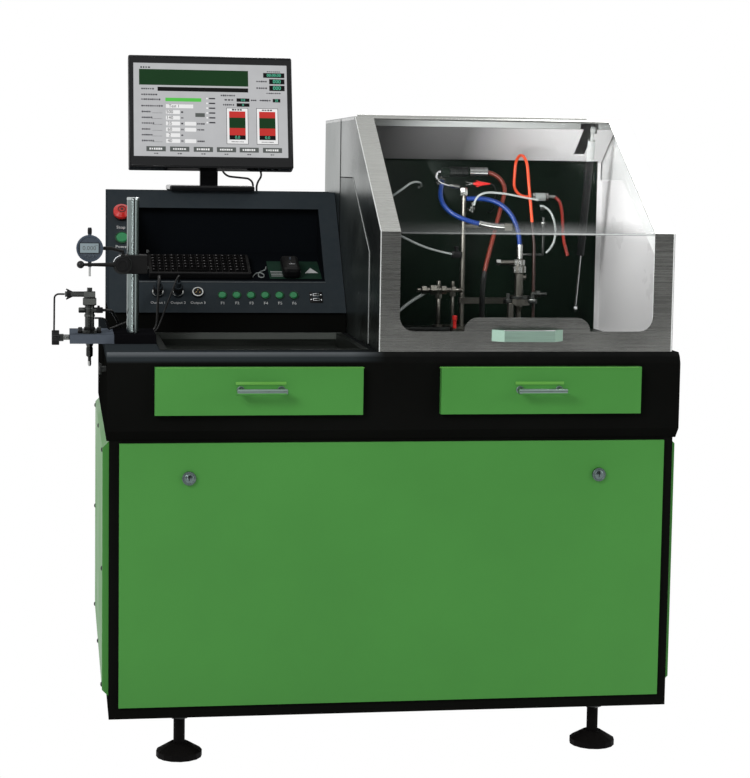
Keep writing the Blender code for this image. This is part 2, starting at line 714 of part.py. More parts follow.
def slope_point(x, along, lift=0):
    """A point of the console's sloping face, so far up the slope and lifted off it by so much."""
    y = CONSOLE_FRONT + along * math.cos(SLOPE_ANGLE) - lift * math.sin(SLOPE_ANGLE)
    z = CONSOLE_BASE + along * math.sin(SLOPE_ANGLE) + lift * math.cos(SLOPE_ANGLE)
    return (x, y, z)


def on_slope(name, radius, x, along, low, high, look=None, sides=ROUND_SIDES, crown=0):
    """A round piece square to the slope, from low to high above it, with its rim cut back by crown."""
    rim = [(radius - crown, high), (radius, high - crown)] if crown else [(radius, high)]
    profile = [(0, high), *rim, (radius, low), (0, low)]
    return turned(name, profile, slope_point(x, along), (SLOPE_ANGLE, 0, 0), look, sides)


def recess_outline():
    front_low = slope_point(0, RECESS_LOW)[1:]
    front_high = slope_point(0, RECESS_HIGH)[1:]
    floor_back = (front_low[0] + RECESS_FLOOR * math.cos(RECESS_FLOOR_ANGLE),
                  front_low[1] + RECESS_FLOOR * math.sin(RECESS_FLOOR_ANGLE))
    roof_back = (floor_back[0] + SHELL_SHEET, front_high[1])
    return [front_low, floor_back, roof_back, front_high]


def socket_places():
    return [CONSOLE_X[0] + SOCKET_FIRST + i * SOCKET_PITCH for i in range(SOCKET_COUNT)]


def socket_profile(plugged):
    """Radius and height of a round connector on the console's face, with a lead's plug in it or without."""
    collar = [(SOCKET_RADIUS, SOCKET_PROUD), (SOCKET_RADIUS, -SHELL_SHEET / 2), (0, -SHELL_SHEET / 2)]
    if not plugged:
        return [(0, SOCKET_PROUD), *collar]
    return [
        (0, PLUG_BOOT_REACH), (PLUG_BOOT_RADIUS, PLUG_BOOT_REACH), (PLUG_BOOT_RADIUS, PLUG_REACH),
        (PLUG_RADIUS, PLUG_REACH), (PLUG_RADIUS, SOCKET_PROUD), *collar,
    ]


def button_places():
    """The function buttons, spread over a share of the room between the last socket and the USB ports."""
    room_start = socket_places()[-1]
    room = USB_X - room_start
    first, last = (room_start + share * room for share in FUNCTION_ROW_SHARES)
    pitch = (last - first) / (FUNCTION_BUTTON_COUNT - 1)
    return {f"function_button_{i + 1}": first + i * pitch for i in range(FUNCTION_BUTTON_COUNT)}


def make_console():
    outline = [
        (CONSOLE_FRONT, CONSOLE_BASE), (BENCH_DEPTH, CONSOLE_BASE), (BENCH_DEPTH, CONSOLE_TOP),
        (CONSOLE_FRONT + CONSOLE_SLOPE_RUN, CONSOLE_TOP),
    ]
    console = across("console_housing", outline, CONSOLE_X, CONSOLE_GREY)
    hollow = inset(outline, [-OVERRUN, SHELL_SHEET, SHELL_SHEET, SHELL_SHEET])
    cut(console, across("console_hollow", hollow, (CONSOLE_X[0] + SHELL_SHEET, CONSOLE_X[1] - SHELL_SHEET)))
    recess = recess_outline()
    liner = inset(recess, [-SHELL_SHEET, -SHELL_SHEET, -SHELL_SHEET, SHELL_SHEET / 2])
    join(console, across("recess_liner", liner, (RECESS_X[0] - SHELL_SHEET, RECESS_X[1] + SHELL_SHEET)))
    cut(console, across("recess", inset(recess, [0, 0, 0, -OVERRUN]), RECESS_X))
    for index, x in enumerate(socket_places()):
        join(console, turned(f"socket_{index + 1}", socket_profile(index < PLUGGED_COUNT),
                             slope_point(x, SOCKET_LOW), (SLOPE_ANGLE, 0, 0), sides=ROUND_SIDES))
    usb = box("usb_ports", (-USB_HALF_WIDTH, USB_HALF_WIDTH), (-USB_HALF_HEIGHT, USB_HALF_HEIGHT),
              (-SHELL_SHEET / 2, USB_PROUD))
    usb.location = slope_point(USB_X, FUNCTION_BUTTON_LOW, (USB_PROUD - SHELL_SHEET / 2) / 2)
    usb.rotation_euler = (SLOPE_ANGLE, 0, 0)
    join(console, usb)
    below, above = -OVERRUN, OVERRUN
    for name, x in button_places().items():
        cut(console, on_slope(name + "_hole", FUNCTION_BUTTON_RADIUS + GAP, x, FUNCTION_BUTTON_LOW, below,
                              above))
    side_x = CONSOLE_X[0] + POWER_BUTTON_INSET
    cut(console, on_slope("power_hole", POWER_BUTTON_RADIUS + GAP, side_x, POWER_BUTTON_LOW, below, above))
    cut(console, on_slope("estop_hole", ESTOP_STEM_RADIUS + GAP, side_x, ESTOP_LOW, below, above))


def make_plinth():
    y = (CONSOLE_FRONT + PLINTH_SETBACK, BENCH_DEPTH)
    top = CONSOLE_BASE - GAP
    plinth = box("console_plinth", CONSOLE_X, y, (ON_DESK, top), BLACK)
    cut(plinth, box(
        "plinth_hollow", (CONSOLE_X[0] + BELLY_SHEET, CONSOLE_X[1] - BELLY_SHEET),
        (y[0] + BELLY_SHEET, y[1] - BELLY_SHEET),
        (DESK_HEIGHT - OVERRUN, top + OVERRUN),
    ))


def make_buttons():
    for name, x in button_places().items():
        on_slope(name, FUNCTION_BUTTON_RADIUS, x, FUNCTION_BUTTON_LOW, -BUTTON_BODY,
                 FUNCTION_BUTTON_PROUD, BUTTON_GREEN,
                 crown=BUTTON_CROWN)
    side_x = CONSOLE_X[0] + POWER_BUTTON_INSET
    on_slope("power_button", POWER_BUTTON_RADIUS, side_x, POWER_BUTTON_LOW, -BUTTON_BODY,
             POWER_BUTTON_PROUD, BUTTON_GREEN,
             crown=BUTTON_CROWN)
    top = ESTOP_LIFT + ESTOP_CAP
    dome = [(ESTOP_RADIUS * out, top - ESTOP_CAP * down) for out, down in ESTOP_DOME_SHARES]
    profile = [
        (0, top), *dome, (ESTOP_RADIUS, ESTOP_LIFT), (ESTOP_STEM_RADIUS, ESTOP_LIFT),
        (ESTOP_STEM_RADIUS, -BUTTON_BODY), (0, -BUTTON_BODY),
    ]
    turned("estop_button", profile, slope_point(side_x, ESTOP_LOW), (SLOPE_ANGLE, 0, 0), RED)


# Keyboard and mouse in the console's recess
MOUSE_SIZE = (0.042, 0.078, 0.028)
MOUSE_INSET = 0.055
MOUSE_EDGE = 0.009
KEYBOARD_INSET = 0.028
KEYBOARD_MOUSE_GAP = 0.073
KEYBOARD_WIDTH = RECESS_X[1] - RECESS_X[0] - KEYBOARD_INSET - KEYBOARD_MOUSE_GAP - MOUSE_SIZE[0] - MOUSE_INSET
KEYBOARD_SIZE = (KEYBOARD_WIDTH, 0.104, 0.016)
KEYBOARD_EDGE = 0.003
RECESS_SEAT = 0.012


def on_recess_floor(x, along, lift):
    low = slope_point(0, RECESS_LOW)
    turn = RECESS_FLOOR_ANGLE
    return (x, low[1] + along * math.cos(turn) - lift * math.sin(turn),
            low[2] + along * math.sin(turn) + lift * math.cos(turn))


def recess_piece(name, size, x, along, edge):
    piece = box(name, (-size[0] / 2, size[0] / 2), (-size[1] / 2, size[1] / 2),
                (-size[2] / 2, size[2] / 2), BLACK, edge)
    piece.location = on_recess_floor(x, along + size[1] / 2, size[2] / 2 + GAP)
    piece.rotation_euler = (RECESS_FLOOR_ANGLE, 0, 0)
    return piece


def make_keyboard_and_mouse():
    recess_piece("keyboard", KEYBOARD_SIZE, RECESS_X[0] + KEYBOARD_INSET + KEYBOARD_SIZE[0] / 2, RECESS_SEAT,
                 KEYBOARD_EDGE)
    recess_piece("mouse", MOUSE_SIZE, RECESS_X[1] - MOUSE_INSET - MOUSE_SIZE[0] / 2, RECESS_SEAT,
                 MOUSE_EDGE)


# Monitor on its stand
MONITOR_LEFT_INSET = 0.050
MONITOR_HEIGHT = 0.276
MONITOR_DEPTH = 0.036
MONITOR_Y = 0.736
MONITOR_CLEARANCE = 0.051
MONITOR_TILT = math.radians(15)
MONITOR_EDGE = 0.004
SCREEN_SIDE_INSET = 0.0125
SCREEN_TOP_INSET = 0.020
SCREEN_LOW_INSET = 0.027
SCREEN_SETBACK = 0.0015
SCREEN_THICK = 0.002
STAND_BASE = (0.201, 0.170, 0.013)
STAND_EDGE = 0.004
STAND_FRONT_SHARE = 0.7
NECK_WIDTH = 0.043
NECK_THICK = 0.018
TILT_SETBACK = 0.024
TILT_BARREL_RADIUS = 0.012
TILT_PIN_RADIUS = 0.005
TILT_EAR = 0.004
TILT_EAR_RADIUS = 0.014
MONITOR_X = CONSOLE_X[0] + MONITOR_LEFT_INSET + MONITOR_WIDTH / 2
MONITOR_MIDDLE = (
    MONITOR_X, MONITOR_Y, CONSOLE_TOP + MONITOR_CLEARANCE + MONITOR_HEIGHT / 2 * math.cos(MONITOR_TILT),
)


def monitor_point(x, y, z):
    """A point given from the monitor's middle, in its own tilted directions."""
    turned_point = Matrix.Rotation(-MONITOR_TILT, 3, "X") @ Vector((x, y, z))
    return tuple(Vector(MONITOR_MIDDLE) + turned_point)


TILT_AXIS = monitor_point(0, MONITOR_DEPTH / 2 + TILT_SETBACK, 0)


def monitor_box(name, x, y, z, look=None, edge=0):
    piece = box(name, x, y, z, look, edge)
    piece.location = monitor_point(*piece.location)
    piece.rotation_euler = (-MONITOR_TILT, 0, 0)
    return piece


def make_monitor():
    half_width, half_depth, half_height = MONITOR_WIDTH / 2, MONITOR_DEPTH / 2, MONITOR_HEIGHT / 2
    housing = monitor_box("monitor_housing", (-half_width, half_width), (-half_depth, half_depth),
                          (-half_height, half_height), BLACK, MONITOR_EDGE)
    screen_x = (-half_width + SCREEN_SIDE_INSET, half_width - SCREEN_SIDE_INSET)
    screen_z = (-half_height + SCREEN_LOW_INSET, half_height - SCREEN_TOP_INSET)
    cut(housing, monitor_box(
        "screen_recess", (screen_x[0] - GAP, screen_x[1] + GAP),
        (-half_depth - OVERRUN, -half_depth + SCREEN_SETBACK + SCREEN_THICK + GAP),
        (screen_z[0] - GAP, screen_z[1] + GAP),
    ))
    screen = monitor_box("monitor_screen", screen_x, (-half_depth + SCREEN_SETBACK,
                                                      -half_depth + SCREEN_SETBACK + SCREEN_THICK),
                         screen_z, SCREEN)
    ear_inner = NECK_WIDTH / 2 + GAP
    for side in (-1, 1):
        ear_x = sorted((side * ear_inner, side * (ear_inner + TILT_EAR)))
        ear = monitor_box(f"tilt_ear_{side}", ear_x, (half_depth - SCREEN_THICK,
                                                      half_depth + TILT_SETBACK + TILT_EAR_RADIUS),
                          (-TILT_EAR_RADIUS, TILT_EAR_RADIUS))
        join(housing, ear)
    reach = ear_inner + TILT_EAR
    cut(housing, rod("tilt_bore", "X", TILT_PIN_RADIUS + GAP, (MONITOR_X - reach - OVERRUN, *TILT_AXIS[1:]),
                     2 * (reach + OVERRUN), sides=SMALL_SIDES))
    pivot("monitor_pivot", TILT_AXIS, housing, screen)
    make_monitor_stand(reach)


def make_monitor_stand(reach):
    seat = CONSOLE_TOP + GAP
    axis_y, axis_z = TILT_AXIS[1:]
    width, depth, thick = STAND_BASE
    base_front = axis_y - depth * STAND_FRONT_SHARE
    base_y = (base_front, base_front + depth)
    stand = box("monitor_stand", (MONITOR_X - width / 2, MONITOR_X + width / 2), base_y,
                (seat, seat + thick), BLACK, STAND_EDGE)
    neck = box("stand_neck", (MONITOR_X - NECK_WIDTH / 2, MONITOR_X + NECK_WIDTH / 2),
               (axis_y - NECK_THICK / 2, axis_y + NECK_THICK / 2), (seat + thick / 2, axis_z))
    barrel = rod("tilt_barrel", "X", TILT_BARREL_RADIUS, (MONITOR_X - NECK_WIDTH / 2, axis_y, axis_z),
                 NECK_WIDTH)
    pin = rod("tilt_pin", "X", TILT_PIN_RADIUS, (MONITOR_X - reach, axis_y, axis_z), 2 * reach,
              sides=SMALL_SIDES)
    join(stand, neck, barrel, pin)


# Side jig: a plate that reaches past the desk's left edge, with a post, a clamp and a dial indicator
JIG_OVERHANG = 0.073
JIG_WIDTH = 0.182
JIG_FRONT = 0.195
JIG_LENGTH = 0.162
JIG_THICK = 0.019
JIG_X = (-BELLY_HALF - JIG_OVERHANG, -BELLY_HALF - JIG_OVERHANG + JIG_WIDTH)
JIG_TOP = ON_DESK + JIG_THICK
INJECTOR_EDGE = 0.042
INJECTOR_X = JIG_X[0] + INJECTOR_EDGE
INJECTOR_Y = JIG_FRONT + INJECTOR_EDGE
POST_RADIUS = 0.013
POST_EDGE = 0.048
POST_Y = JIG_FRONT + POST_EDGE
POST_X = JIG_X[1] - POST_EDGE
CLAMP_HEIGHT = 0.128
CLAMP_SIZE = (0.060, 0.056, 0.040)
CLAMP_TRAVEL = 0.060
POST_SPARE = 0.058
POST_HEIGHT = CLAMP_HEIGHT + CLAMP_SIZE[2] + CLAMP_TRAVEL + POST_SPARE
LEVER_RADIUS = 0.016
LEVER_THICK = 0.018
LEVER_EDGE_SHARE = 0.4
LEVER_ARM_SHARE = 0.6
LEVER_ARM = 0.088
LEVER_ARM_RADIUS = 0.005
LEVER_TIP_RADIUS = 0.003
LEVER_BALL = 0.008
DIAL_RADIUS = 0.0285
DIAL_THICK = 0.022
DIAL_HEIGHT = 0.181
DIAL_STEM_RADIUS = 0.004
DIAL_STEM_UP = 0.015
DIAL_STEM_DOWN = 0.011
SPINDLE_RADIUS = 0.0023
SPINDLE_REACH = 0.020
SPINDLE_INSIDE = 0.016
SPINDLE_TRAVEL = 0.010
SPINDLE_ROOM = 0.003
HOLDER_RADIUS = 0.004
SCREW_KNOB_RADIUS = 0.015
SCREW_KNOB_LENGTH = 0.016
SCREW_COLLAR_RADIUS = 0.008
SCREW_COLLAR_LENGTH = 0.009
SCREW_RADIUS = 0.005
SCREW_NECK = 0.013
SCREW_ENGAGED = 0.027


def make_jig_plate():
    plate = box("jig_plate", JIG_X, (JIG_FRONT, JIG_FRONT + JIG_LENGTH), (ON_DESK, JIG_TOP), STEEL)
    middle = (ON_DESK + JIG_TOP) / 2
    cut(
        plate,
        rod("injector_hole", "Z", INJECTOR_BORE, (INJECTOR_X, INJECTOR_Y, ON_DESK - OVERRUN),
            JIG_THICK + 2 * OVERRUN),
        rod("screw_hole", "X", SCREW_RADIUS + GAP, (JIG_X[0] - OVERRUN, INJECTOR_Y, middle),
            OVERRUN + INJECTOR_EDGE,
            sides=SMALL_SIDES),
    )
    join(plate, rod("jig_post", "Z", POST_RADIUS, (POST_X, POST_Y, middle), POST_HEIGHT + JIG_THICK / 2,
                    sides=FINE_SIDES))
    tip = JIG_X[0] - SCREW_NECK - SCREW_COLLAR_LENGTH - SCREW_KNOB_LENGTH
    screw = rod("jig_clamp_screw", "X", SCREW_KNOB_RADIUS, (tip, INJECTOR_Y, middle), SCREW_KNOB_LENGTH,
                BLACK, FINE_SIDES)
    join(
        screw,
        rod("screw_collar", "X", SCREW_COLLAR_RADIUS, (tip + SCREW_KNOB_LENGTH / 2, INJECTOR_Y, middle),
            SCREW_KNOB_LENGTH / 2 + SCREW_COLLAR_LENGTH, sides=SMALL_SIDES),
        rod("screw_shaft", "X", SCREW_RADIUS, (tip + SCREW_KNOB_LENGTH, INJECTOR_Y, middle),
            SCREW_COLLAR_LENGTH + SCREW_NECK + SCREW_ENGAGED, sides=SMALL_SIDES),
    )


# Common-rail injector
INJECTOR_HEIGHT = 0.097
CONNECTOR_RADIUS = 0.0055
CONNECTOR_HEIGHT = 0.007
COIL_RADIUS = 0.012
COIL_HEIGHT = 0.014
COIL_NUT_RADIUS = 0.0145
COIL_NUT_HEIGHT = 0.016
INJECTOR_BODY_RADIUS = 0.010
FLANGE_RADIUS = 0.021
FLANGE_HEIGHT = 0.007
SHANK_RADIUS = 0.0095
SHANK_DEPTH = 0.019
SHANK_TAPER = 0.011
NOZZLE_NUT_RADIUS = 0.006
NOZZLE_NUT_DEPTH = 0.050
NOZZLE_RADIUS = 0.0035
NOZZLE_DEPTH = 0.064
INJECTOR_CHAMFER = 0.001
INJECTOR_PLAY = 0.001
INLET_RADIUS = 0.006
INLET_REACH = 0.052
INLET_HEIGHT = 0.083
TERMINAL_RADIUS = 0.006
TERMINAL_REACH = 0.016
TERMINAL_HEIGHT = 0.049
INJECTOR_BORE = SHANK_RADIUS + INJECTOR_PLAY


def injector_profile():
    """Radius and height down the injector's outside, with its seat at height zero."""
    coil_top = INJECTOR_HEIGHT - CONNECTOR_HEIGHT
    nut_top = coil_top - COIL_HEIGHT
    body_top = nut_top - COIL_NUT_HEIGHT
    return [
        (0, INJECTOR_HEIGHT), (CONNECTOR_RADIUS, INJECTOR_HEIGHT), (CONNECTOR_RADIUS, coil_top),
        (COIL_RADIUS, coil_top - INJECTOR_CHAMFER), (COIL_RADIUS, nut_top),
        (COIL_NUT_RADIUS, nut_top - INJECTOR_CHAMFER), (COIL_NUT_RADIUS, body_top),
        (INJECTOR_BODY_RADIUS, body_top - 2 * INJECTOR_CHAMFER), (INJECTOR_BODY_RADIUS, FLANGE_HEIGHT),
        (FLANGE_RADIUS, FLANGE_HEIGHT), (FLANGE_RADIUS, 0), (SHANK_RADIUS, 0), (SHANK_RADIUS, -SHANK_DEPTH),
        (NOZZLE_NUT_RADIUS, -SHANK_DEPTH - SHANK_TAPER), (NOZZLE_NUT_RADIUS, -NOZZLE_NUT_DEPTH),
        (NOZZLE_RADIUS, -NOZZLE_NUT_DEPTH - 2 * INJECTOR_CHAMFER), (NOZZLE_RADIUS, -NOZZLE_DEPTH),
        (0, -NOZZLE_DEPTH),
    ]


def make_injector(name, x, y, seat):
    injector = turned(name, injector_profile(), (x, y, seat), look=STEEL, sides=ROUND_SIDES)
    inlet = rod(name + "_inlet", "X", INLET_RADIUS, (x - INLET_REACH, y, seat + INLET_HEIGHT), INLET_REACH,
                sides=SMALL_SIDES)
    terminal = rod(name + "_terminal", "X", TERMINAL_RADIUS, (x, y, seat + TERMINAL_HEIGHT), TERMINAL_REACH,
                   sides=SMALL_SIDES)
    return join(injector, inlet, terminal)


def make_clamp():
    low = JIG_TOP + CLAMP_HEIGHT
    width, depth, height = CLAMP_SIZE
    clamp_x = (POST_X - width / 2, POST_X + width / 2)
    clamp_y = (POST_Y - depth / 2, POST_Y + depth / 2)
    clamp = box("post_clamp", clamp_x, clamp_y, (low, low + height), BLACK, HOLDER_RADIUS / 2)
    dial_z = JIG_TOP + DIAL_HEIGHT
    start_x = INJECTOR_X + DIAL_RADIUS + GAP
    holder = tube("dial_holder", [
        (start_x, POST_Y, dial_z), ((start_x + clamp_x[0]) / 2, POST_Y, dial_z),
        (clamp_x[0] + HOLDER_RADIUS * 2, POST_Y, (dial_z + low + height) / 2),
        (clamp_x[0] + HOLDER_RADIUS * 3, POST_Y, low + height / 2),
    ], HOLDER_RADIUS)
    bore = rod("clamp_bore", "Z", POST_RADIUS + GAP, (POST_X, POST_Y, low - OVERRUN),
               height + 2 * OVERRUN, sides=FINE_SIDES)
    cut(join(clamp, holder), bore)
    make_lever(clamp_x[0] + LEVER_RADIUS * LEVER_EDGE_SHARE, clamp_y[0] - GAP, low + height / 2)
    make_dial(dial_z)


def make_lever(x, face, z):
    lever = rod("clamp_lever", "Y", LEVER_RADIUS, (x, face - LEVER_THICK, z), LEVER_THICK, BLACK, FINE_SIDES)
    y = face - LEVER_THICK * LEVER_ARM_SHARE
    arm = rod("lever_arm", "X", LEVER_TIP_RADIUS, (x - LEVER_ARM, y, z), LEVER_ARM, sides=SMALL_SIDES,
              tip_radius=LEVER_ARM_RADIUS)
    join(lever, arm, ball("lever_ball", LEVER_BALL, (x - LEVER_ARM, y, z)))
    pivot("clamp_lever_pivot", (x, face, z), lever)


def make_dial(z):
    front = INJECTOR_Y - DIAL_THICK / 2
    dial = rod("dial_indicator", "Y", DIAL_RADIUS, (INJECTOR_X, front, z), DIAL_THICK, BLACK, FINE_SIDES)
    length = DIAL_STEM_UP + 2 * DIAL_RADIUS + DIAL_STEM_DOWN
    stem = rod("dial_stem", "Z", DIAL_STEM_RADIUS, (INJECTOR_X, INJECTOR_Y,
                                                    z - DIAL_RADIUS - DIAL_STEM_DOWN), length,
               sides=SMALL_SIDES)
    stem_end = z - DIAL_RADIUS - DIAL_STEM_DOWN
    bore = rod("dial_bore", "Z", SPINDLE_RADIUS + GAP, (INJECTOR_X, INJECTOR_Y, stem_end - OVERRUN),
               OVERRUN + SPINDLE_INSIDE + SPINDLE_TRAVEL + SPINDLE_ROOM, sides=8)
    cut(join(dial, stem), bore)
    rod("indicator_spindle", "Z", SPINDLE_RADIUS, (INJECTOR_X, INJECTOR_Y, stem_end - SPINDLE_REACH),
        SPINDLE_REACH + SPINDLE_INSIDE, STEEL, 8)


# Hood over the test chamber
HOOD_FRONT = 0.016
HOOD_CREASE = 0.249
HOOD_SLOPE_RUN = 0.373
HOOD_SEAM = 0.590
HOOD_WALL_FRONT = 0.150
HOOD_WALL_LOW = 0.201
HOOD_WALL_TOP = 0.357
HOOD_WALL_TOP_FRONT = 0.395
HOOD_BASE = ON_DESK
DOOR_BASE = HOOD_BASE + 2 * GAP
HOOD_TOP = DESK_HEIGHT + HOOD_HEIGHT
HOOD_X = (HOOD_LEFT, HOOD_RIGHT)
BACK_WALL_Y = 0.565
BACK_WALL_TOP = 0.399
CEILING_FRONT = 0.455
CEILING_TOP = 0.474
LINER_PLAY = 0.0035
WINDOW_SIDE = 0.043
WINDOW_LOW = 0.043
WINDOW_RAISE = 0.029
WINDOW_RAISE_HALF = 0.135
WINDOW_CORNER = 0.030
WINDOW_TOP_STRIP = 0.006
WINDOW_THICK = 0.005
WINDOW_LAP = 0.012
HINGE_RADIUS = 0.005
DOOR_KNUCKLE_SHARES = ((0.06, 0.30), (0.70, 0.94))
HOUSING_KNUCKLE_SHARES = ((0.30, 0.70),)
DOOR_HANDLE_WIDTH = 0.152
DOOR_HANDLE_HEIGHT = 0.024
DOOR_HANDLE_REACH = 0.022
DOOR_HANDLE_SHEET = 0.004
DOOR_HANDLE_LOW = 0.023
HINGE_AXIS = (HOOD_SEAM - GAP / 2, HOOD_TOP + HINGE_RADIUS)


def door_outline():
    return [
        (HOOD_FRONT, DOOR_BASE), (HOOD_WALL_FRONT - GAP, DOOR_BASE),
        (HOOD_WALL_FRONT - GAP, DESK_HEIGHT + HOOD_WALL_LOW),
        (HOOD_WALL_TOP_FRONT, DESK_HEIGHT + HOOD_WALL_TOP + GAP),
        (HOOD_SEAM - 2 * GAP, DESK_HEIGHT + HOOD_WALL_TOP + GAP),
        (HOOD_SEAM - 2 * GAP, HOOD_TOP), (HOOD_FRONT + HOOD_SLOPE_RUN, HOOD_TOP),
        (HOOD_FRONT, DESK_HEIGHT + HOOD_CREASE),
    ]


def front_line(inward):
    """The hood's front, crease, slope and roof, moved inwards, from the bottom edge to the seam."""
    slope = math.atan2(HOOD_HEIGHT - HOOD_CREASE, HOOD_SLOPE_RUN)
    face = HOOD_FRONT + inward
    crease = DESK_HEIGHT + HOOD_CREASE - inward * math.tan((math.pi / 2 - slope) / 2)
    roof_edge = HOOD_FRONT + HOOD_SLOPE_RUN + inward * math.tan(slope / 2)
    return [(face, HOOD_BASE), (face, crease), (roof_edge, HOOD_TOP - inward)]


def make_door():
    door = across("hood_door", door_outline(), HOOD_X, STEEL)
    low, crease, roof = front_line(SHELL_SHEET)
    hollow = [
        (low[0], HOOD_BASE - OVERRUN), (HOOD_SEAM + OVERRUN, HOOD_BASE - OVERRUN),
        (HOOD_SEAM + OVERRUN, roof[1]), roof, crease,
    ]
    inner_x = (HOOD_X[0] + SHELL_SHEET, HOOD_X[1] - SHELL_SHEET)
    cut(door, across("door_hollow", hollow, inner_x))
    window_x = (HOOD_X[0] + WINDOW_SIDE, HOOD_X[1] - WINDOW_SIDE)
    cut(door, window_cutter(window_x))
    window = make_window(window_x)
    handle = make_door_handle()
    join(door, *hinge_knuckles("door", DOOR_KNUCKLE_SHARES, -1), strut_bracket())
    pivot("hood_hinge", (0, *HINGE_AXIS), door, window, handle)


def window_cutter(x):
    """The window's cut: a front outline with a raised middle, and the sloping pane's opening."""
    low = DESK_HEIGHT + WINDOW_LOW
    middle = (x[0] + x[1]) / 2
    top = HOOD_TOP + OVERRUN
    outline = [(x[0], top), (x[0], low + WINDOW_CORNER)]
    outline += corner((x[0] + WINDOW_CORNER, low + WINDOW_CORNER), WINDOW_CORNER, 180, 270)
    outline += [(middle - WINDOW_RAISE_HALF, low)]
    outline += corner((middle - WINDOW_RAISE_HALF + WINDOW_RAISE, low), WINDOW_RAISE, 180, 90)
    outline += corner((middle + WINDOW_RAISE_HALF - WINDOW_RAISE, low), WINDOW_RAISE, 90, 0)
    outline += corner((x[1] - WINDOW_CORNER, low + WINDOW_CORNER), WINDOW_CORNER, 270, 360)
    outline += [(x[1], top)]
    outline = [point for i, point in enumerate(outline) if point != outline[i - 1]]
    limit = HOOD_FRONT + HOOD_SLOPE_RUN - WINDOW_TOP_STRIP
    return fore_aft("window_cut", outline, (HOOD_FRONT - OVERRUN, limit))


def corner(centre, radius, start, end, steps=5):
    angles = [math.radians(start + (end - start) * step / steps) for step in range(steps + 1)]
    return [(centre[0] + radius * math.cos(a), centre[1] + radius * math.sin(a)) for a in angles]


def make_window(x):
    outer = front_line(SHELL_SHEET + GAP)
    inner = front_line(SHELL_SHEET + GAP + WINDOW_THICK)
    low = DESK_HEIGHT + WINDOW_LOW - WINDOW_LAP
    slope = Vector((outer[2][0] - outer[1][0], outer[2][1] - outer[1][1])).normalized()
    top = Vector(outer[2]) - slope * WINDOW_TOP_STRIP
    top_inner = top + Vector((slope.y, -slope.x)) * WINDOW_THICK
    outline = [(inner[0][0], low), tuple(inner[1]), tuple(top_inner), tuple(top), tuple(outer[1]),
               (outer[0][0], low)]
    return across("door_window", outline, (x[0] - WINDOW_LAP, x[1] + WINDOW_LAP), CLEAR)


def make_door_handle():
    middle = (HOOD_X[0] + HOOD_X[1]) / 2
    half, sheet, reach = DOOR_HANDLE_WIDTH / 2, DOOR_HANDLE_SHEET, DOOR_HANDLE_REACH
    back = HOOD_FRONT - GAP
    low = DESK_HEIGHT + DOOR_HANDLE_LOW
    bow = half - reach
    outline = [
        (-half, 0), (-bow, -reach), (bow, -reach), (half, 0), (half - 2 * sheet, 0),
        (bow - sheet / 2, -reach + sheet), (-bow + sheet / 2, -reach + sheet), (-half + 2 * sheet, 0),
    ]
    mesh = flat_mesh("door_handle", [(middle + x, back + y) for x, y in outline], DOOR_HANDLE_HEIGHT)
    return keep("door_handle", mesh, (0, 0, low + DOOR_HANDLE_HEIGHT / 2), look=ALLOY)


def hinge_knuckles(label, shares, side):
    """Round knuckles along the roof hinge, at shares of the hood's width, each with a leaf."""
    leaf_y = sorted((HINGE_AXIS[0], HINGE_AXIS[0] + side * 3 * HINGE_RADIUS))
    knuckles = []
    for i, (first, last) in enumerate(shares):
        start, end = HOOD_X[0] + HOOD_WIDTH * first + GAP, HOOD_X[0] + HOOD_WIDTH * last - GAP
        knuckle = rod(f"{label}_knuckle_{i + 1}", "X", HINGE_RADIUS, (start, *HINGE_AXIS), end - start,
                      sides=SMALL_SIDES)
        leaf = box(f"{label}_leaf_{i + 1}", (start + HINGE_RADIUS, end - HINGE_RADIUS), leaf_y,
                   (HOOD_TOP - SHELL_SHEET / 2, HOOD_TOP + SHELL_SHEET))
        knuckles.append(join(knuckle, leaf))
    return knuckles


def make_rear_housing():
    y = (HOOD_SEAM, BENCH_DEPTH)
    housing = box("hood_rear_housing", HOOD_X, y, (HOOD_BASE, HOOD_TOP), STEEL)
    cut(housing, box(
        "rear_hollow", (HOOD_X[0] + SHELL_SHEET, HOOD_X[1] - SHELL_SHEET),
        (y[0] - OVERRUN, y[1] - SHELL_SHEET),
        (HOOD_BASE - OVERRUN, HOOD_TOP - SHELL_SHEET),
    ))
    join(housing, *hinge_knuckles("housing", HOUSING_KNUCKLE_SHARES, 1))


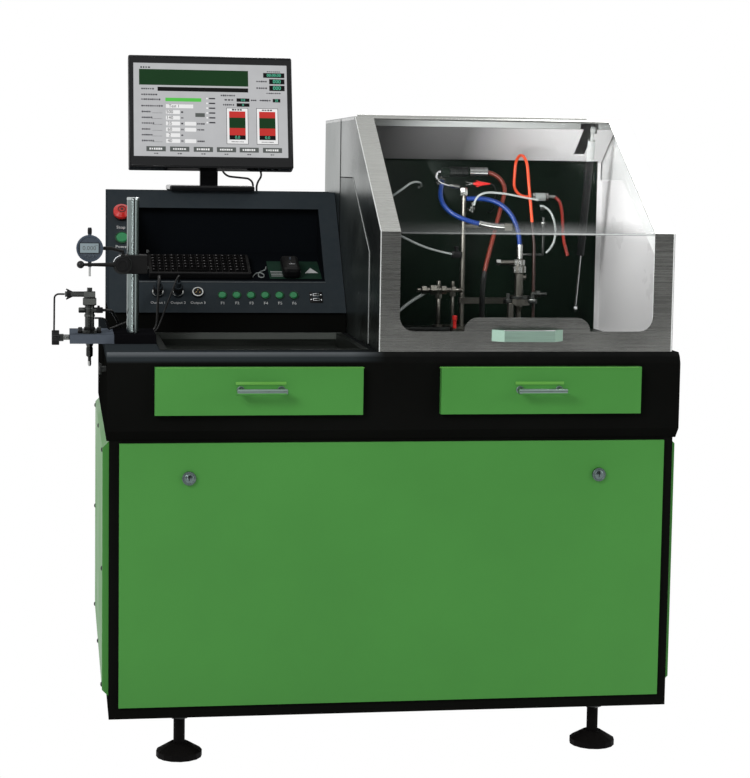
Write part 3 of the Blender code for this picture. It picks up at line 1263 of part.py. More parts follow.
def make_chamber():
    seam = HOOD_SEAM - GAP
    side = [
        (HOOD_WALL_FRONT, HOOD_BASE), (seam, HOOD_BASE), (seam, DESK_HEIGHT + HOOD_WALL_TOP),
        (HOOD_WALL_TOP_FRONT, DESK_HEIGHT + HOOD_WALL_TOP), (HOOD_WALL_FRONT, DESK_HEIGHT + HOOD_WALL_LOW),
    ]
    chamber = across("chamber_walls", side, (HOOD_X[0], HOOD_X[0] + SHELL_SHEET), CONSOLE_GREY)
    right = across("chamber_right_wall", side, (HOOD_X[1] - SHELL_SHEET, HOOD_X[1]))
    sheet = PANEL_SHEET
    floor_top = HOOD_BASE + sheet
    back, top = BACK_WALL_Y, DESK_HEIGHT + BACK_WALL_TOP
    liner = [
        (HOOD_WALL_FRONT + OVERRUN, HOOD_BASE), (back + sheet, HOOD_BASE), (back + sheet, top),
        (CEILING_FRONT + sheet, DESK_HEIGHT + CEILING_TOP),
        (CEILING_FRONT, DESK_HEIGHT + CEILING_TOP - sheet / 2),
        (back, top - sheet), (back, floor_top), (HOOD_WALL_FRONT + OVERRUN, floor_top),
    ]
    overlap = SHELL_SHEET / 2
    lining = across("chamber_lining", liner, (HOOD_X[0] + overlap, HOOD_X[1] - overlap))
    clear_z = (DESK_HEIGHT + HOOD_WALL_TOP - GAP, HOOD_TOP + OVERRUN)
    clear_y = (0, BENCH_DEPTH)
    inside = LINER_PLAY + SHELL_SHEET
    cut(
        lining,
        box("lining_left_clear", (HOOD_X[0] - OVERRUN, HOOD_X[0] + inside), clear_y, clear_z),
        box("lining_right_clear", (HOOD_X[1] - inside, HOOD_X[1] + OVERRUN), clear_y, clear_z),
        strut_slot(),
    )
    join(chamber, right, lining, strut_foot(), rail_block(), return_fitting(), supply_port())
    return floor_top


# Gas strut that carries the hood's weight
STRUT_WALL_INSET = 0.068
STRUT_FOOT = (0.540, 0.051)
STRUT_HEAD = (0.425, 0.471)
STRUT_ROD_RADIUS = 0.003
STRUT_BODY_RADIUS = 0.009
STRUT_BODY_LENGTH = 0.300
STRUT_ROD_INSIDE = 0.180
STRUT_PLAY = 0.0006
STRUT_EYE_RADIUS = 0.008
STRUT_EYE_WIDTH = 0.008
STRUT_TAB = 0.003
STRUT_SLOT_PLAY = 0.004
STRUT_NECK_LENGTH = 0.024
STRUT_PIN_RADIUS = 0.003
STRUT_X = HOOD_RIGHT - STRUT_WALL_INSET
STRUT_LOW = (STRUT_FOOT[0], DESK_HEIGHT + STRUT_FOOT[1])
STRUT_HIGH = (STRUT_HEAD[0], DESK_HEIGHT + STRUT_HEAD[1])
STRUT_LENGTH = math.dist(STRUT_LOW, STRUT_HIGH)
STRUT_LEAN = math.atan2(STRUT_LOW[0] - STRUT_HIGH[0], STRUT_HIGH[1] - STRUT_LOW[1])


def along_strut(name, radius, start, length, look=None, sides=SMALL_SIDES):
    """A round piece along the strut's line, its start given as a distance from the foot."""
    y = STRUT_LOW[0] - start * math.sin(STRUT_LEAN)
    z = STRUT_LOW[1] + start * math.cos(STRUT_LEAN)
    piece = rod(name, "Z", radius, (STRUT_X, y, z), length, look, sides)
    piece.rotation_euler = (STRUT_LEAN, 0, 0)
    return piece


def strut_eye(name, place):
    eye = rod(name, "X", STRUT_EYE_RADIUS, (STRUT_X - STRUT_EYE_WIDTH / 2, *place), STRUT_EYE_WIDTH)
    bore = rod(name + "_bore", "X", STRUT_PIN_RADIUS + GAP, (STRUT_X - STRUT_EYE_WIDTH, *place),
               2 * STRUT_EYE_WIDTH,
               sides=SMALL_SIDES)
    return eye, bore


def strut_foot():
    """A tab on the chamber's back wall, with the pin of the strut's lower eye."""
    tab_x = STRUT_X + STRUT_EYE_WIDTH / 2 + GAP
    tab = box("strut_foot_tab", (tab_x, tab_x + STRUT_TAB),
              (STRUT_LOW[0] - STRUT_EYE_RADIUS, BACK_WALL_Y + PANEL_SHEET / 2),
              (STRUT_LOW[1] - STRUT_EYE_RADIUS, STRUT_LOW[1] + STRUT_EYE_RADIUS))
    pin = rod("strut_foot_pin", "X", STRUT_PIN_RADIUS, (STRUT_X - STRUT_EYE_WIDTH / 2, *STRUT_LOW),
              STRUT_EYE_WIDTH + GAP + STRUT_TAB / 2, sides=SMALL_SIDES)
    return join(tab, pin)


def strut_slot():
    """The slot in the chamber's ceiling that the strut swings back through as the hood opens."""
    half = STRUT_BODY_RADIUS + STRUT_SLOT_PLAY
    return box("strut_slot", (STRUT_X - half, STRUT_X + half), (HOOD_WALL_FRONT, STRUT_LOW[0]),
               (DESK_HEIGHT + BACK_WALL_TOP, HOOD_TOP + OVERRUN))


def strut_bracket():
    """A tab under the hood's roof beside the strut's upper eye, with a stub that stops at the eye's face."""
    tab_x = STRUT_X + STRUT_EYE_WIDTH / 2 + GAP * 2
    return box("strut_bracket", (tab_x, tab_x + STRUT_TAB),
               (STRUT_HIGH[0] - STRUT_EYE_RADIUS, STRUT_HIGH[0] + STRUT_EYE_RADIUS),
               (STRUT_HIGH[1] - STRUT_EYE_RADIUS, HOOD_TOP - SHELL_SHEET / 2))


def make_strut():
    body_start = STRUT_LENGTH - STRUT_BODY_LENGTH
    low_eye, low_bore = strut_eye("strut_low_eye", STRUT_LOW)
    slider = along_strut("strut_rod", STRUT_ROD_RADIUS, STRUT_EYE_RADIUS / 2,
                         body_start + STRUT_ROD_INSIDE, CHROME)
    cut(join(slider, low_eye), low_bore)
    shell = STRUT_BODY_LENGTH - STRUT_NECK_LENGTH
    body = along_strut("strut_cylinder", STRUT_BODY_RADIUS, body_start, shell, BLACK)
    neck = along_strut("strut_neck", STRUT_EYE_WIDTH / 2 - GAP, body_start + shell - STRUT_EYE_RADIUS,
                       STRUT_NECK_LENGTH + STRUT_EYE_RADIUS / 2)
    high_eye, high_bore = strut_eye("strut_high_eye", STRUT_HIGH)
    join(body, neck, high_eye)
    cut(body, high_bore, along_strut("strut_bore", STRUT_ROD_RADIUS + STRUT_PLAY, body_start - OVERRUN,
                                     shell - STRUT_EYE_RADIUS))
    pivot("strut_pivot", (STRUT_X, *STRUT_LOW), slider, body)


# Fittings inside the chamber
STAND_PLATE_X = (0.190, 0.420)
STAND_PLATE_Y = (0.380, 0.520)
STAND_PLATE_THICK = 0.014
STAND_POST_X = 0.228
STAND_POST_Y = 0.470
STAND_POST_RADIUS = 0.006
STAND_POST_HEIGHT = 0.310
STAND_ARM_HEIGHT = 0.080
STAND_ARM_SIZE = 0.014
STAND_PORT_HEIGHT = 0.2475
STAND_PORT_X = (0.3154, 0.333)
STAND_PORT_HALF = 0.008
TEST_X = 0.353
TEST_Y = 0.430
TEST_CLAMP_RADIUS = 0.026
RAIL_X = (0.182, 0.275)
RAIL_Y = 0.505
RAIL_HEIGHT = 0.372
RAIL_RADIUS = 0.010
RAIL_BRACKET = 0.016
RETURN_X = (0.400, 0.442)
RETURN_Y = 0.520
RETURN_HEIGHT = 0.316
RETURN_RADIUS = 0.008
SUPPLY_X = 0.188
SUPPLY_Y = 0.545
SUPPLY_HEIGHT = 0.349
SUPPLY_RADIUS = 0.009
HOSE_RADIUS = 0.0055
BROWN_HOSE_RADIUS = 0.005
HOSE_STUB = 0.012
THIN_HOSE_RADIUS = 0.0035
BROWN_ROUTE = [
    (0.2984, 0.5028, 1.2241), (0.3103, 0.4989, 1.2185), (0.3196, 0.494, 1.2099), (0.3256, 0.4886, 1.1989),
    (0.3276, 0.483, 1.1866), (0.3255, 0.478, 1.1741), (0.318, 0.4693, 1.1516), (0.3105, 0.4607, 1.1292),
    (0.3029, 0.452, 1.1068), (0.2954, 0.4434, 1.0844), (0.2879, 0.4347, 1.062), (0.2803, 0.4261, 1.0396),
    (0.2728, 0.4174, 1.0172), (0.2647, 0.4081, 0.984), (0.262, 0.405, 0.9488), (0.262, 0.405, 0.9229),
    (0.262, 0.405, 0.8969),
]
BLUE_FRONT_ROUTE = [
    (0.1867, 0.5185, 1.2015), (0.1836, 0.5051, 1.1972), (0.1798, 0.4928, 1.1909), (0.1763, 0.4814, 1.1828),
    (0.1739, 0.4709, 1.1733), (0.1739, 0.4612, 1.1627), (0.1773, 0.4528, 1.1516), (0.1844, 0.4459, 1.1412),
    (0.1945, 0.4409, 1.1323), (0.2065, 0.4373, 1.1251), (0.2194, 0.4348, 1.1194), (0.2329, 0.433, 1.1147),
    (0.2467, 0.4317, 1.1109), (0.2607, 0.4309, 1.1078), (0.2749, 0.4304, 1.1053), (0.2891, 0.4301, 1.1032),
]
BLUE_REAR_HEIGHT = 1.165
BLUE_REAR_ROUTE = [
    (0.268, 0.468, 1.165), (0.290, 0.463, 1.162), (0.311, 0.455, 1.153), (0.329, 0.446, 1.137),
    (0.342, 0.438, 1.115), (0.350, 0.432, 1.088), (TEST_X, TEST_Y, 1.060),
]
ORANGE_ROUTE = [
    (0.3791, 0.5197, 1.1716), (0.3704, 0.5193, 1.1761), (0.3637, 0.519, 1.1832), (0.3595, 0.5187, 1.192),
    (0.3583, 0.5185, 1.2017), (0.359, 0.5182, 1.219), (0.3598, 0.518, 1.2362), (0.3604, 0.5164, 1.2455),
    (0.3614, 0.5121, 1.2538), (0.3627, 0.5055, 1.2603), (0.3642, 0.4972, 1.2645), (0.3658, 0.4881, 1.266),
    (0.3678, 0.4765, 1.2646), (0.3695, 0.4677, 1.2603), (0.3712, 0.4605, 1.2537), (0.3726, 0.4555, 1.2452),
    (0.3737, 0.4532, 1.2356), (0.3758, 0.451, 1.2116), (0.3778, 0.4488, 1.1876), (0.3799, 0.4466, 1.1636),
    (0.382, 0.4443, 1.1396), (0.3841, 0.4421, 1.1156), (0.3862, 0.4399, 1.0916), (0.3883, 0.4377, 1.0676),
    (0.3888, 0.4371, 1.06), (0.389, 0.4367, 1.0523), (0.389, 0.4358, 1.0264), (0.389, 0.4348, 1.0005),
    (0.389, 0.4338, 0.9746), (0.389, 0.4329, 0.9486), (0.389, 0.4319, 0.9227), (0.389, 0.431, 0.8968),
]


def make_chamber_fittings(floor_top):
    seat = floor_top + GAP
    stand = box("injector_stand", STAND_PLATE_X, STAND_PLATE_Y, (seat, seat + STAND_PLATE_THICK), STEEL)
    arm_z = seat + STAND_ARM_HEIGHT
    half = STAND_ARM_SIZE / 2
    post = rod("stand_post", "Z", STAND_POST_RADIUS, (STAND_POST_X, STAND_POST_Y,
                                                      seat + STAND_PLATE_THICK / 2), STAND_POST_HEIGHT,
               sides=SMALL_SIDES)
    beam = box("stand_beam", (STAND_POST_X - half, TEST_X), (STAND_POST_Y - half, STAND_POST_Y + half),
               (arm_z - STAND_ARM_SIZE, arm_z))
    seat_ring = rod("stand_seat", "Z", TEST_CLAMP_RADIUS, (TEST_X, TEST_Y, arm_z - STAND_ARM_SIZE),
                    STAND_ARM_SIZE)
    link = box("stand_link", (TEST_X - half, TEST_X + half), (TEST_Y, STAND_POST_Y + half),
               (arm_z - STAND_ARM_SIZE, arm_z))
    join(stand, post, beam, link, seat_ring, *stand_port())
    cut(stand, rod("stand_bore", "Z", INJECTOR_BORE, (TEST_X, TEST_Y, arm_z - 2 * STAND_ARM_SIZE),
                   3 * STAND_ARM_SIZE))
    make_injector("test_injector", TEST_X, TEST_Y, arm_z + GAP)
    make_hoses(seat, arm_z)


def stand_port():
    """The block that takes the supply hose, with the pipe that carries it from the stand's post."""
    z = DESK_HEIGHT + STAND_PORT_HEIGHT
    block = box("stand_port", STAND_PORT_X, (TEST_Y - STAND_PORT_HALF, STAND_POST_Y + STAND_PORT_HALF),
                (z - STAND_PORT_HALF, z + STAND_PORT_HALF))
    pipe = rod("stand_port_pipe", "X", STAND_POST_RADIUS, (STAND_POST_X, STAND_POST_Y, z),
               (STAND_PORT_X[0] + STAND_PORT_X[1]) / 2 - STAND_POST_X, sides=SMALL_SIDES)
    return block, pipe


def supply_port():
    return rod("supply_port", "Y", SUPPLY_RADIUS, (SUPPLY_X, SUPPLY_Y, DESK_HEIGHT + SUPPLY_HEIGHT),
               BACK_WALL_Y + PANEL_SHEET / 2 - SUPPLY_Y, sides=SMALL_SIDES)


def rail_block():
    z = DESK_HEIGHT + RAIL_HEIGHT
    rail = rod("rail_block", "X", RAIL_RADIUS, (RAIL_X[0], RAIL_Y, z), RAIL_X[1] - RAIL_X[0])
    middle = (RAIL_X[0] + RAIL_X[1]) / 2
    return join(rail, box("rail_bracket", (middle - RAIL_BRACKET / 2, middle + RAIL_BRACKET / 2),
                          (RAIL_Y, BACK_WALL_Y + PANEL_SHEET / 2),
                          (z - RAIL_RADIUS / 2, z + RAIL_RADIUS / 2)))


def return_fitting():
    z = DESK_HEIGHT + RETURN_HEIGHT
    fitting = rod("return_fitting", "X", RETURN_RADIUS, (RETURN_X[0], RETURN_Y, z), RETURN_X[1] - RETURN_X[0])
    middle = (RETURN_X[0] + RETURN_X[1]) / 2
    return join(fitting, rod("return_standoff", "Y", RETURN_RADIUS / 2, (middle, RETURN_Y, z),
                             BACK_WALL_Y + PANEL_SHEET / 2 - RETURN_Y, sides=SMALL_SIDES))


def make_hoses(seat, arm_z):
    rail_z = DESK_HEIGHT + RAIL_HEIGHT
    return_z = DESK_HEIGHT + RETURN_HEIGHT
    plate_top = seat + STAND_PLATE_THICK + GAP
    supply_z = DESK_HEIGHT + SUPPLY_HEIGHT
    port_z = DESK_HEIGHT + STAND_PORT_HEIGHT
    post_side = STAND_POST_X + STAND_POST_RADIUS
    tube("hose_brown", [
        (RAIL_X[1] + GAP, RAIL_Y, rail_z), (RAIL_X[1] + HOSE_STUB, RAIL_Y, rail_z), *BROWN_ROUTE,
        (*BROWN_ROUTE[-1][:2], plate_top),
    ], BROWN_HOSE_RADIUS, BROWN)
    tube("hose_blue_front", [
        (SUPPLY_X, SUPPLY_Y - GAP, supply_z), (SUPPLY_X, SUPPLY_Y - HOSE_STUB, supply_z), *BLUE_FRONT_ROUTE,
        (STAND_PORT_X[0] - HOSE_STUB, TEST_Y, port_z), (STAND_PORT_X[0] - GAP, TEST_Y, port_z),
    ], HOSE_RADIUS, BLUE)
    tube("hose_blue_rear", [
        (post_side + GAP, STAND_POST_Y, BLUE_REAR_HEIGHT),
        (post_side + HOSE_STUB, STAND_POST_Y, BLUE_REAR_HEIGHT),
        *BLUE_REAR_ROUTE, (TEST_X, TEST_Y, arm_z + INJECTOR_HEIGHT + 2 * GAP),
    ], HOSE_RADIUS, BLUE)
    tube("hose_orange", [
        (RETURN_X[0] - GAP, RETURN_Y, return_z), (RETURN_X[0] - HOSE_STUB, RETURN_Y, return_z), *ORANGE_ROUTE,
        (*ORANGE_ROUTE[-1][:2], plate_top),
    ], THIN_HOSE_RADIUS, ORANGE)


# Test leads to the injector on the jig, its return wire, and the monitor's two cables
LEAD_RADIUS = 0.003
THIN_LEAD_RADIUS = 0.002
MONITOR_CABLE_RADIUS = 0.0025
MONITOR_CABLE_X = 0.105
POWER_CABLE_X = 0.036
CABLE_STUB = 0.036
RETURN_WIRE_END = (0.264, 0.866)
THIN_LEAD_HEIGHT = 0.032
THICK_LEAD_ROUTE = [
    (-0.4731, 0.4401, 0.9826), (-0.4732, 0.434, 0.9839), (-0.4735, 0.4278, 0.9832), (-0.4738, 0.4221, 0.9805),
    (-0.4742, 0.4175, 0.9763), (-0.4746, 0.4144, 0.9709), (-0.4749, 0.4132, 0.9647), (-0.4759, 0.4124, 0.9441),
    (-0.4769, 0.4116, 0.9236), (-0.4778, 0.4108, 0.903), (-0.4788, 0.41, 0.8824), (-0.4804, 0.4096, 0.8747),
    (-0.4842, 0.4091, 0.8678), (-0.4899, 0.4086, 0.8624), (-0.4969, 0.4081, 0.8589), (-0.5047, 0.4076, 0.8577),
    (-0.5292, 0.4063, 0.8577), (-0.5387, 0.4043, 0.8584), (-0.5471, 0.3998, 0.8605), (-0.5534, 0.3932, 0.8638),
    (-0.557, 0.3852, 0.8678), (-0.5612, 0.3686, 0.8763), (-0.5654, 0.352, 0.8848), (-0.5696, 0.3354, 0.8932),
    (-0.5709, 0.3299, 0.8957), (-0.5719, 0.324, 0.8977), (-0.5753, 0.3003, 0.9045), (-0.5788, 0.2765, 0.9113),
    (-0.5822, 0.2527, 0.9181), (-0.5843, 0.2466, 0.9199), (-0.5886, 0.2415, 0.9213), (-0.5944, 0.2382, 0.9223),
]
THIN_LEAD_ROUTE = [
    (-0.4275, 0.4428, 0.9818), (-0.4278, 0.4385, 0.9842), (-0.4288, 0.4338, 0.9851), (-0.4303, 0.4291, 0.9845),
    (-0.4322, 0.4251, 0.9823), (-0.4341, 0.4222, 0.9789), (-0.436, 0.4207, 0.9746), (-0.4438, 0.4175, 0.9546),
    (-0.4516, 0.4144, 0.9346), (-0.4593, 0.4112, 0.9147), (-0.4671, 0.4081, 0.8947), (-0.4749, 0.4049, 0.8747),
    (-0.4791, 0.4032, 0.8672), (-0.4851, 0.4009, 0.8613), (-0.4925, 0.398, 0.8576), (-0.5006, 0.3949, 0.8563),
    (-0.5108, 0.391, 0.8563), (-0.5187, 0.3873, 0.8574), (-0.5254, 0.3826, 0.8605), (-0.5303, 0.3774, 0.8654),
    (-0.5402, 0.3639, 0.8797), (-0.544, 0.3583, 0.884), (-0.5479, 0.3516, 0.8865), (-0.5515, 0.3444, 0.8869),
    (-0.5631, 0.3202, 0.8846), (-0.5747, 0.296, 0.8823), (-0.5863, 0.2717, 0.8799), (-0.589, 0.2656, 0.8804),
    (-0.5912, 0.2598, 0.8827), (-0.5926, 0.2547, 0.8868), (-0.5948, 0.2449, 0.8972), (-0.5963, 0.2418, 0.9005),
    (-0.5993, 0.2392, 0.9032), (-0.6034, 0.2376, 0.905),
]
RETURN_WIRE_ROUTE = [
    (-0.6988, 0.2372, 0.9562), (-0.7014, 0.2376, 0.9549), (-0.7035, 0.2382, 0.9529), (-0.7048, 0.2389, 0.9504),
    (-0.7053, 0.2397, 0.9476), (-0.7056, 0.2462, 0.9237), (-0.7058, 0.2527, 0.8998), (-0.7061, 0.2593, 0.876),
    (-0.7056, 0.2602, 0.8729), (-0.7042, 0.2611, 0.8701), (-0.7019, 0.2619, 0.8679), (-0.6991, 0.2625, 0.8665),
    (-0.6959, 0.263, 0.866),
]
MONITOR_CABLE_ROUTE = [
    (-0.228, 0.813, 1.318), (-0.224, 0.819, 1.280), (-0.213, 0.815, 1.240), (-0.206, 0.807, 1.212),
    (-0.2145, 0.798, 1.195),
]
POWER_CABLE_ROUTE = [
    (-0.3013, 0.8058, 1.3375), (-0.3014, 0.8114, 1.335), (-0.3015, 0.8157, 1.3306), (-0.3016, 0.8184, 1.3251),
    (-0.3016, 0.8191, 1.319), (-0.3018, 0.8177, 1.2973), (-0.302, 0.8163, 1.2755), (-0.3021, 0.8149, 1.2537),
    (-0.3023, 0.8135, 1.232), (-0.3013, 0.8127, 1.2245), (-0.2982, 0.8114, 1.2176), (-0.2933, 0.8096, 1.212),
    (-0.2871, 0.8076, 1.2082), (-0.28, 0.8054, 1.2064), (-0.2616, 0.8, 1.2047), (-0.2432, 0.7946, 1.203),
    (-0.2383, 0.7932, 1.2017), (-0.2339, 0.7919, 1.199), (-0.2304, 0.7909, 1.1951), (-0.2283, 0.7902, 1.1903),
]
MONITOR_CABLE_END = (-0.218, 0.795)
POWER_CABLE_END = (-0.2275, 0.790)


def plug_stub(x, reach):
    """A point on a plug's axis, at a reach beyond the end of its boot."""
    return slope_point(x, SOCKET_LOW, PLUG_BOOT_REACH + reach)


def make_leads():
    first, second = socket_places()[:PLUGGED_COUNT]
    seat = JIG_TOP + GAP
    terminal = (INJECTOR_X + TERMINAL_REACH, INJECTOR_Y, seat + TERMINAL_HEIGHT)
    tube("test_lead_thick", [
        plug_stub(first, GAP), plug_stub(first, HOSE_STUB), *THICK_LEAD_ROUTE,
        (terminal[0] + HOSE_STUB, *terminal[1:]), (terminal[0] + GAP, *terminal[1:]),
    ], LEAD_RADIUS, BLACK)
    body_side = INJECTOR_X + INJECTOR_BODY_RADIUS
    tube("test_lead_thin", [
        plug_stub(second, GAP), plug_stub(second, HOSE_STUB), *THIN_LEAD_ROUTE,
        (body_side + HOSE_STUB, INJECTOR_Y, seat + THIN_LEAD_HEIGHT),
        (body_side + GAP, INJECTOR_Y, seat + THIN_LEAD_HEIGHT),
    ], THIN_LEAD_RADIUS, BLACK)
    inlet_tip = INJECTOR_X - INLET_REACH
    tube("return_wire", [
        (inlet_tip - GAP, INJECTOR_Y, seat + INLET_HEIGHT),
        (inlet_tip - HOSE_STUB, INJECTOR_Y, seat + INLET_HEIGHT),
        *RETURN_WIRE_ROUTE, (JIG_X[0] - HOSE_STUB, *RETURN_WIRE_END), (JIG_X[0] - GAP, *RETURN_WIRE_END),
    ], THIN_LEAD_RADIUS, BLACK)


def make_monitor_cables():
    back = MONITOR_DEPTH / 2
    for name, x, route, end in (
        ("monitor_cable", MONITOR_CABLE_X, MONITOR_CABLE_ROUTE, MONITOR_CABLE_END),
        ("monitor_power_cable", POWER_CABLE_X, POWER_CABLE_ROUTE, POWER_CABLE_END),
    ):
        tube(name, [
            monitor_point(x, back + GAP, 0), monitor_point(x, back + CABLE_STUB, 0), *route,
            (*end, CONSOLE_TOP + HOSE_STUB), (*end, CONSOLE_TOP + GAP),
        ], MONITOR_CABLE_RADIUS, BLACK)


# Drive and fuel supply inside the cabinet
MOTOR_X = (-0.360, -0.080)
MOTOR_Y = 0.420
MOTOR_RADIUS = 0.088
MOTOR_AXIS_HEIGHT = 0.112
MOTOR_FOOT = (0.200, 0.180, 0.012)
SHAFT_RADIUS = 0.014
SHAFT_SEAT = 0.040
HUB_RADIUS = 0.042
HUB_PLAY = 0.010
PUMP_X = (0.040, 0.150)
HUB_X = (MOTOR_X[1] + HUB_PLAY, PUMP_X[0] - HUB_PLAY)
PUMP_RADIUS = 0.056
PUMP_HEAD_RADIUS = 0.022
PUMP_HEAD_REACH = 0.094
PUMP_FOOT = (0.090, 0.140, 0.014)
TANK_WIDTH = 0.270
TANK_WALL_GAP = 0.084
TANK_FRONT_GAP = 0.120
TANK_BACK_GAP = 0.140
TANK_X = (FRAME_HALF - TANK_WALL_GAP - TANK_WIDTH, FRAME_HALF - TANK_WALL_GAP)
TANK_Y = (FRAME_FRONT + TANK_FRONT_GAP, FRAME_BACK - TANK_BACK_GAP)
TANK_HEIGHT = 0.300
TANK_EDGE = 0.012
TANK_NECK_RADIUS = 0.030
TANK_NECK_HEIGHT = 0.024
TANK_CAP_RADIUS = 0.038
TANK_CAP_HEIGHT = 0.020


def make_drive():
    axis = FLOOR_TOP + MOTOR_AXIS_HEIGHT
    middle = (MOTOR_X[0] + MOTOR_X[1]) / 2
    motor = rod("drive_motor", "X", MOTOR_RADIUS, (MOTOR_X[0], MOTOR_Y, axis), MOTOR_X[1] - MOTOR_X[0],
                DARK_GREY, FINE_SIDES)
    join(
        motor,
        box("motor_foot", (middle - MOTOR_FOOT[0] / 2, middle + MOTOR_FOOT[0] / 2),
            (MOTOR_Y - MOTOR_FOOT[1] / 2, MOTOR_Y + MOTOR_FOOT[1] / 2),
            (FLOOR_TOP, FLOOR_TOP + MOTOR_FOOT[2])),
        box("motor_saddle", (middle - MOTOR_FOOT[0] / 3, middle + MOTOR_FOOT[0] / 3),
            (MOTOR_Y - MOTOR_FOOT[1] / 4, MOTOR_Y + MOTOR_FOOT[1] / 4),
            (FLOOR_TOP + MOTOR_FOOT[2] / 2, axis)),
    )
    cut(motor, rod("motor_bore", "X", SHAFT_RADIUS + GAP, (MOTOR_X[1] - SHAFT_SEAT - GAP, MOTOR_Y, axis),
                   SHAFT_SEAT + OVERRUN))
    pump_middle = (PUMP_X[0] + PUMP_X[1]) / 2
    pump = rod("high_pressure_pump", "X", PUMP_RADIUS, (PUMP_X[0], MOTOR_Y, axis), PUMP_X[1] - PUMP_X[0],
               ALLOY, FINE_SIDES)
    for angle in (0, 120, 240):
        head = rod(f"pump_head_{angle}", "Z", PUMP_HEAD_RADIUS, (pump_middle, MOTOR_Y, axis), PUMP_HEAD_REACH)
        head.rotation_euler = (math.radians(angle), 0, 0)
        join(pump, head)
    join(
        pump,
        box("pump_foot", (pump_middle - PUMP_FOOT[0] / 2, pump_middle + PUMP_FOOT[0] / 2),
            (MOTOR_Y - PUMP_FOOT[1] / 2, MOTOR_Y + PUMP_FOOT[1] / 2), (FLOOR_TOP, FLOOR_TOP + PUMP_FOOT[2])),
        box("pump_bracket", (PUMP_X[0], PUMP_X[0] + PUMP_FOOT[2]),
            (MOTOR_Y - PUMP_RADIUS / 2, MOTOR_Y + PUMP_RADIUS / 2),
            (FLOOR_TOP + PUMP_FOOT[2] / 2, axis)),
    )
    cut(pump, rod("pump_bore", "X", SHAFT_RADIUS + GAP, (PUMP_X[0] - OVERRUN, MOTOR_Y, axis),
                  SHAFT_SEAT + GAP + OVERRUN))
    coupling = rod("drive_coupling", "X", HUB_RADIUS, (HUB_X[0], MOTOR_Y, axis), HUB_X[1] - HUB_X[0],
                   STEEL, FINE_SIDES)
    shaft_x = (MOTOR_X[1] - SHAFT_SEAT, PUMP_X[0] + SHAFT_SEAT)
    join(coupling, rod("drive_shaft", "X", SHAFT_RADIUS, (shaft_x[0], MOTOR_Y, axis),
                       shaft_x[1] - shaft_x[0]))
    pivot("drive_axis", (0, MOTOR_Y, axis), coupling)


def make_tank():
    top = FLOOR_TOP + TANK_HEIGHT
    tank = box("fuel_tank", TANK_X, TANK_Y, (FLOOR_TOP, top), ALLOY, TANK_EDGE)
    middle = ((TANK_X[0] + TANK_X[1]) / 2, (TANK_Y[0] + TANK_Y[1]) / 2)
    neck = rod("tank_neck", "Z", TANK_NECK_RADIUS, (*middle, top - TANK_EDGE), TANK_NECK_HEIGHT + TANK_EDGE)
    cap = rod("tank_cap", "Z", TANK_CAP_RADIUS, (*middle, top + TANK_NECK_HEIGHT - TANK_CAP_HEIGHT / 2),
              TANK_CAP_HEIGHT, sides=FINE_SIDES)
    join(tank, neck, cap)


def build_bench():
    make_frame()
    make_side_panel("side_panel_left", -1)
    make_side_panel("side_panel_right", 1)
    make_back_panel()
    make_front_panel()
    make_worktop()
    for name, centre in DRAWER_CENTRES.items():
        make_drawer(name, centre)
    make_tray()
    make_side_knob()
    make_plinth()
    make_console()
    make_buttons()
    make_keyboard_and_mouse()
    make_monitor()
    make_jig_plate()
    make_injector("bench_injector", INJECTOR_X, INJECTOR_Y, JIG_TOP + GAP)
    make_clamp()
    make_door()
    make_rear_housing()
    make_chamber_fittings(make_chamber())
    make_strut()
    make_leads()
    make_monitor_cables()
    make_drive()
    make_tank()


# The origin lies under the middle of the whole bench, jig included
LEFT_REACH = BELLY_HALF + JIG_OVERHANG + SCREW_NECK + SCREW_COLLAR_LENGTH + SCREW_KNOB_LENGTH
RIGHT_REACH = FRAME_HALF + GAP + SIDE_PANEL_DEPTH
FRONT_REACH = GAP + DRAWER_FRONT_DEPTH + HANDLE_REACH + HANDLE_RADIUS
BACK_REACH = BENCH_DEPTH

build_bench()
ROOT.location = ((LEFT_REACH - RIGHT_REACH) / 2, (FRONT_REACH - BACK_REACH) / 2, 0)
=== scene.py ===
# %% [markdown]
# # An injector test bench, dressed piece by piece
# A test bench is a steel cabinet with a worktop: a console to its left, a hooded chamber to its
# right, and a small clamping jig at its side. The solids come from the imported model. Each cell
# below adds a camera, a finish or a modelled detail to them, and says why it is made that way.

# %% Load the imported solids
import math
import random

import bpy
from mathutils import Matrix, Vector


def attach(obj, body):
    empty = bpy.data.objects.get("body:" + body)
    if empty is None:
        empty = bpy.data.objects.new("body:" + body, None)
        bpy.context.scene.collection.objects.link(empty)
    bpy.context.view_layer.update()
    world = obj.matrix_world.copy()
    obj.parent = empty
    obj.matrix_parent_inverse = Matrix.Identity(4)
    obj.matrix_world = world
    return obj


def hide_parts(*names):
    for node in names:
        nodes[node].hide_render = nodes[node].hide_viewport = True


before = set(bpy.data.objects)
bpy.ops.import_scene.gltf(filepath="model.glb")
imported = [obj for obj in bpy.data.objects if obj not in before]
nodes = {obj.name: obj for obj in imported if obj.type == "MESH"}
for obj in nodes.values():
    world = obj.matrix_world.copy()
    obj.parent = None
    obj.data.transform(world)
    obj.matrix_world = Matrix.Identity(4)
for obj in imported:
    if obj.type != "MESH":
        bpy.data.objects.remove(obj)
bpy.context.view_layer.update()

# %% [markdown]
# ## Where things are
# A maker measures a bench from its cabinet: across from the middle, back from the belly's front
# face, and up from the floor. The model's own origin is under the middle of everything, jig and
# handles included, so one function turns the maker's sizes into the model's.

# %% Sizes from the cabinet
CABINET_ORIGIN = Vector((0.05185, -0.39935, 0))


def at(x, y, z):
    return CABINET_ORIGIN + Vector((x, y, z))


def deselect():
    if bpy.context.mode != "OBJECT":
        bpy.ops.object.mode_set(mode="OBJECT")
    bpy.ops.object.select_all(action="DESELECT")


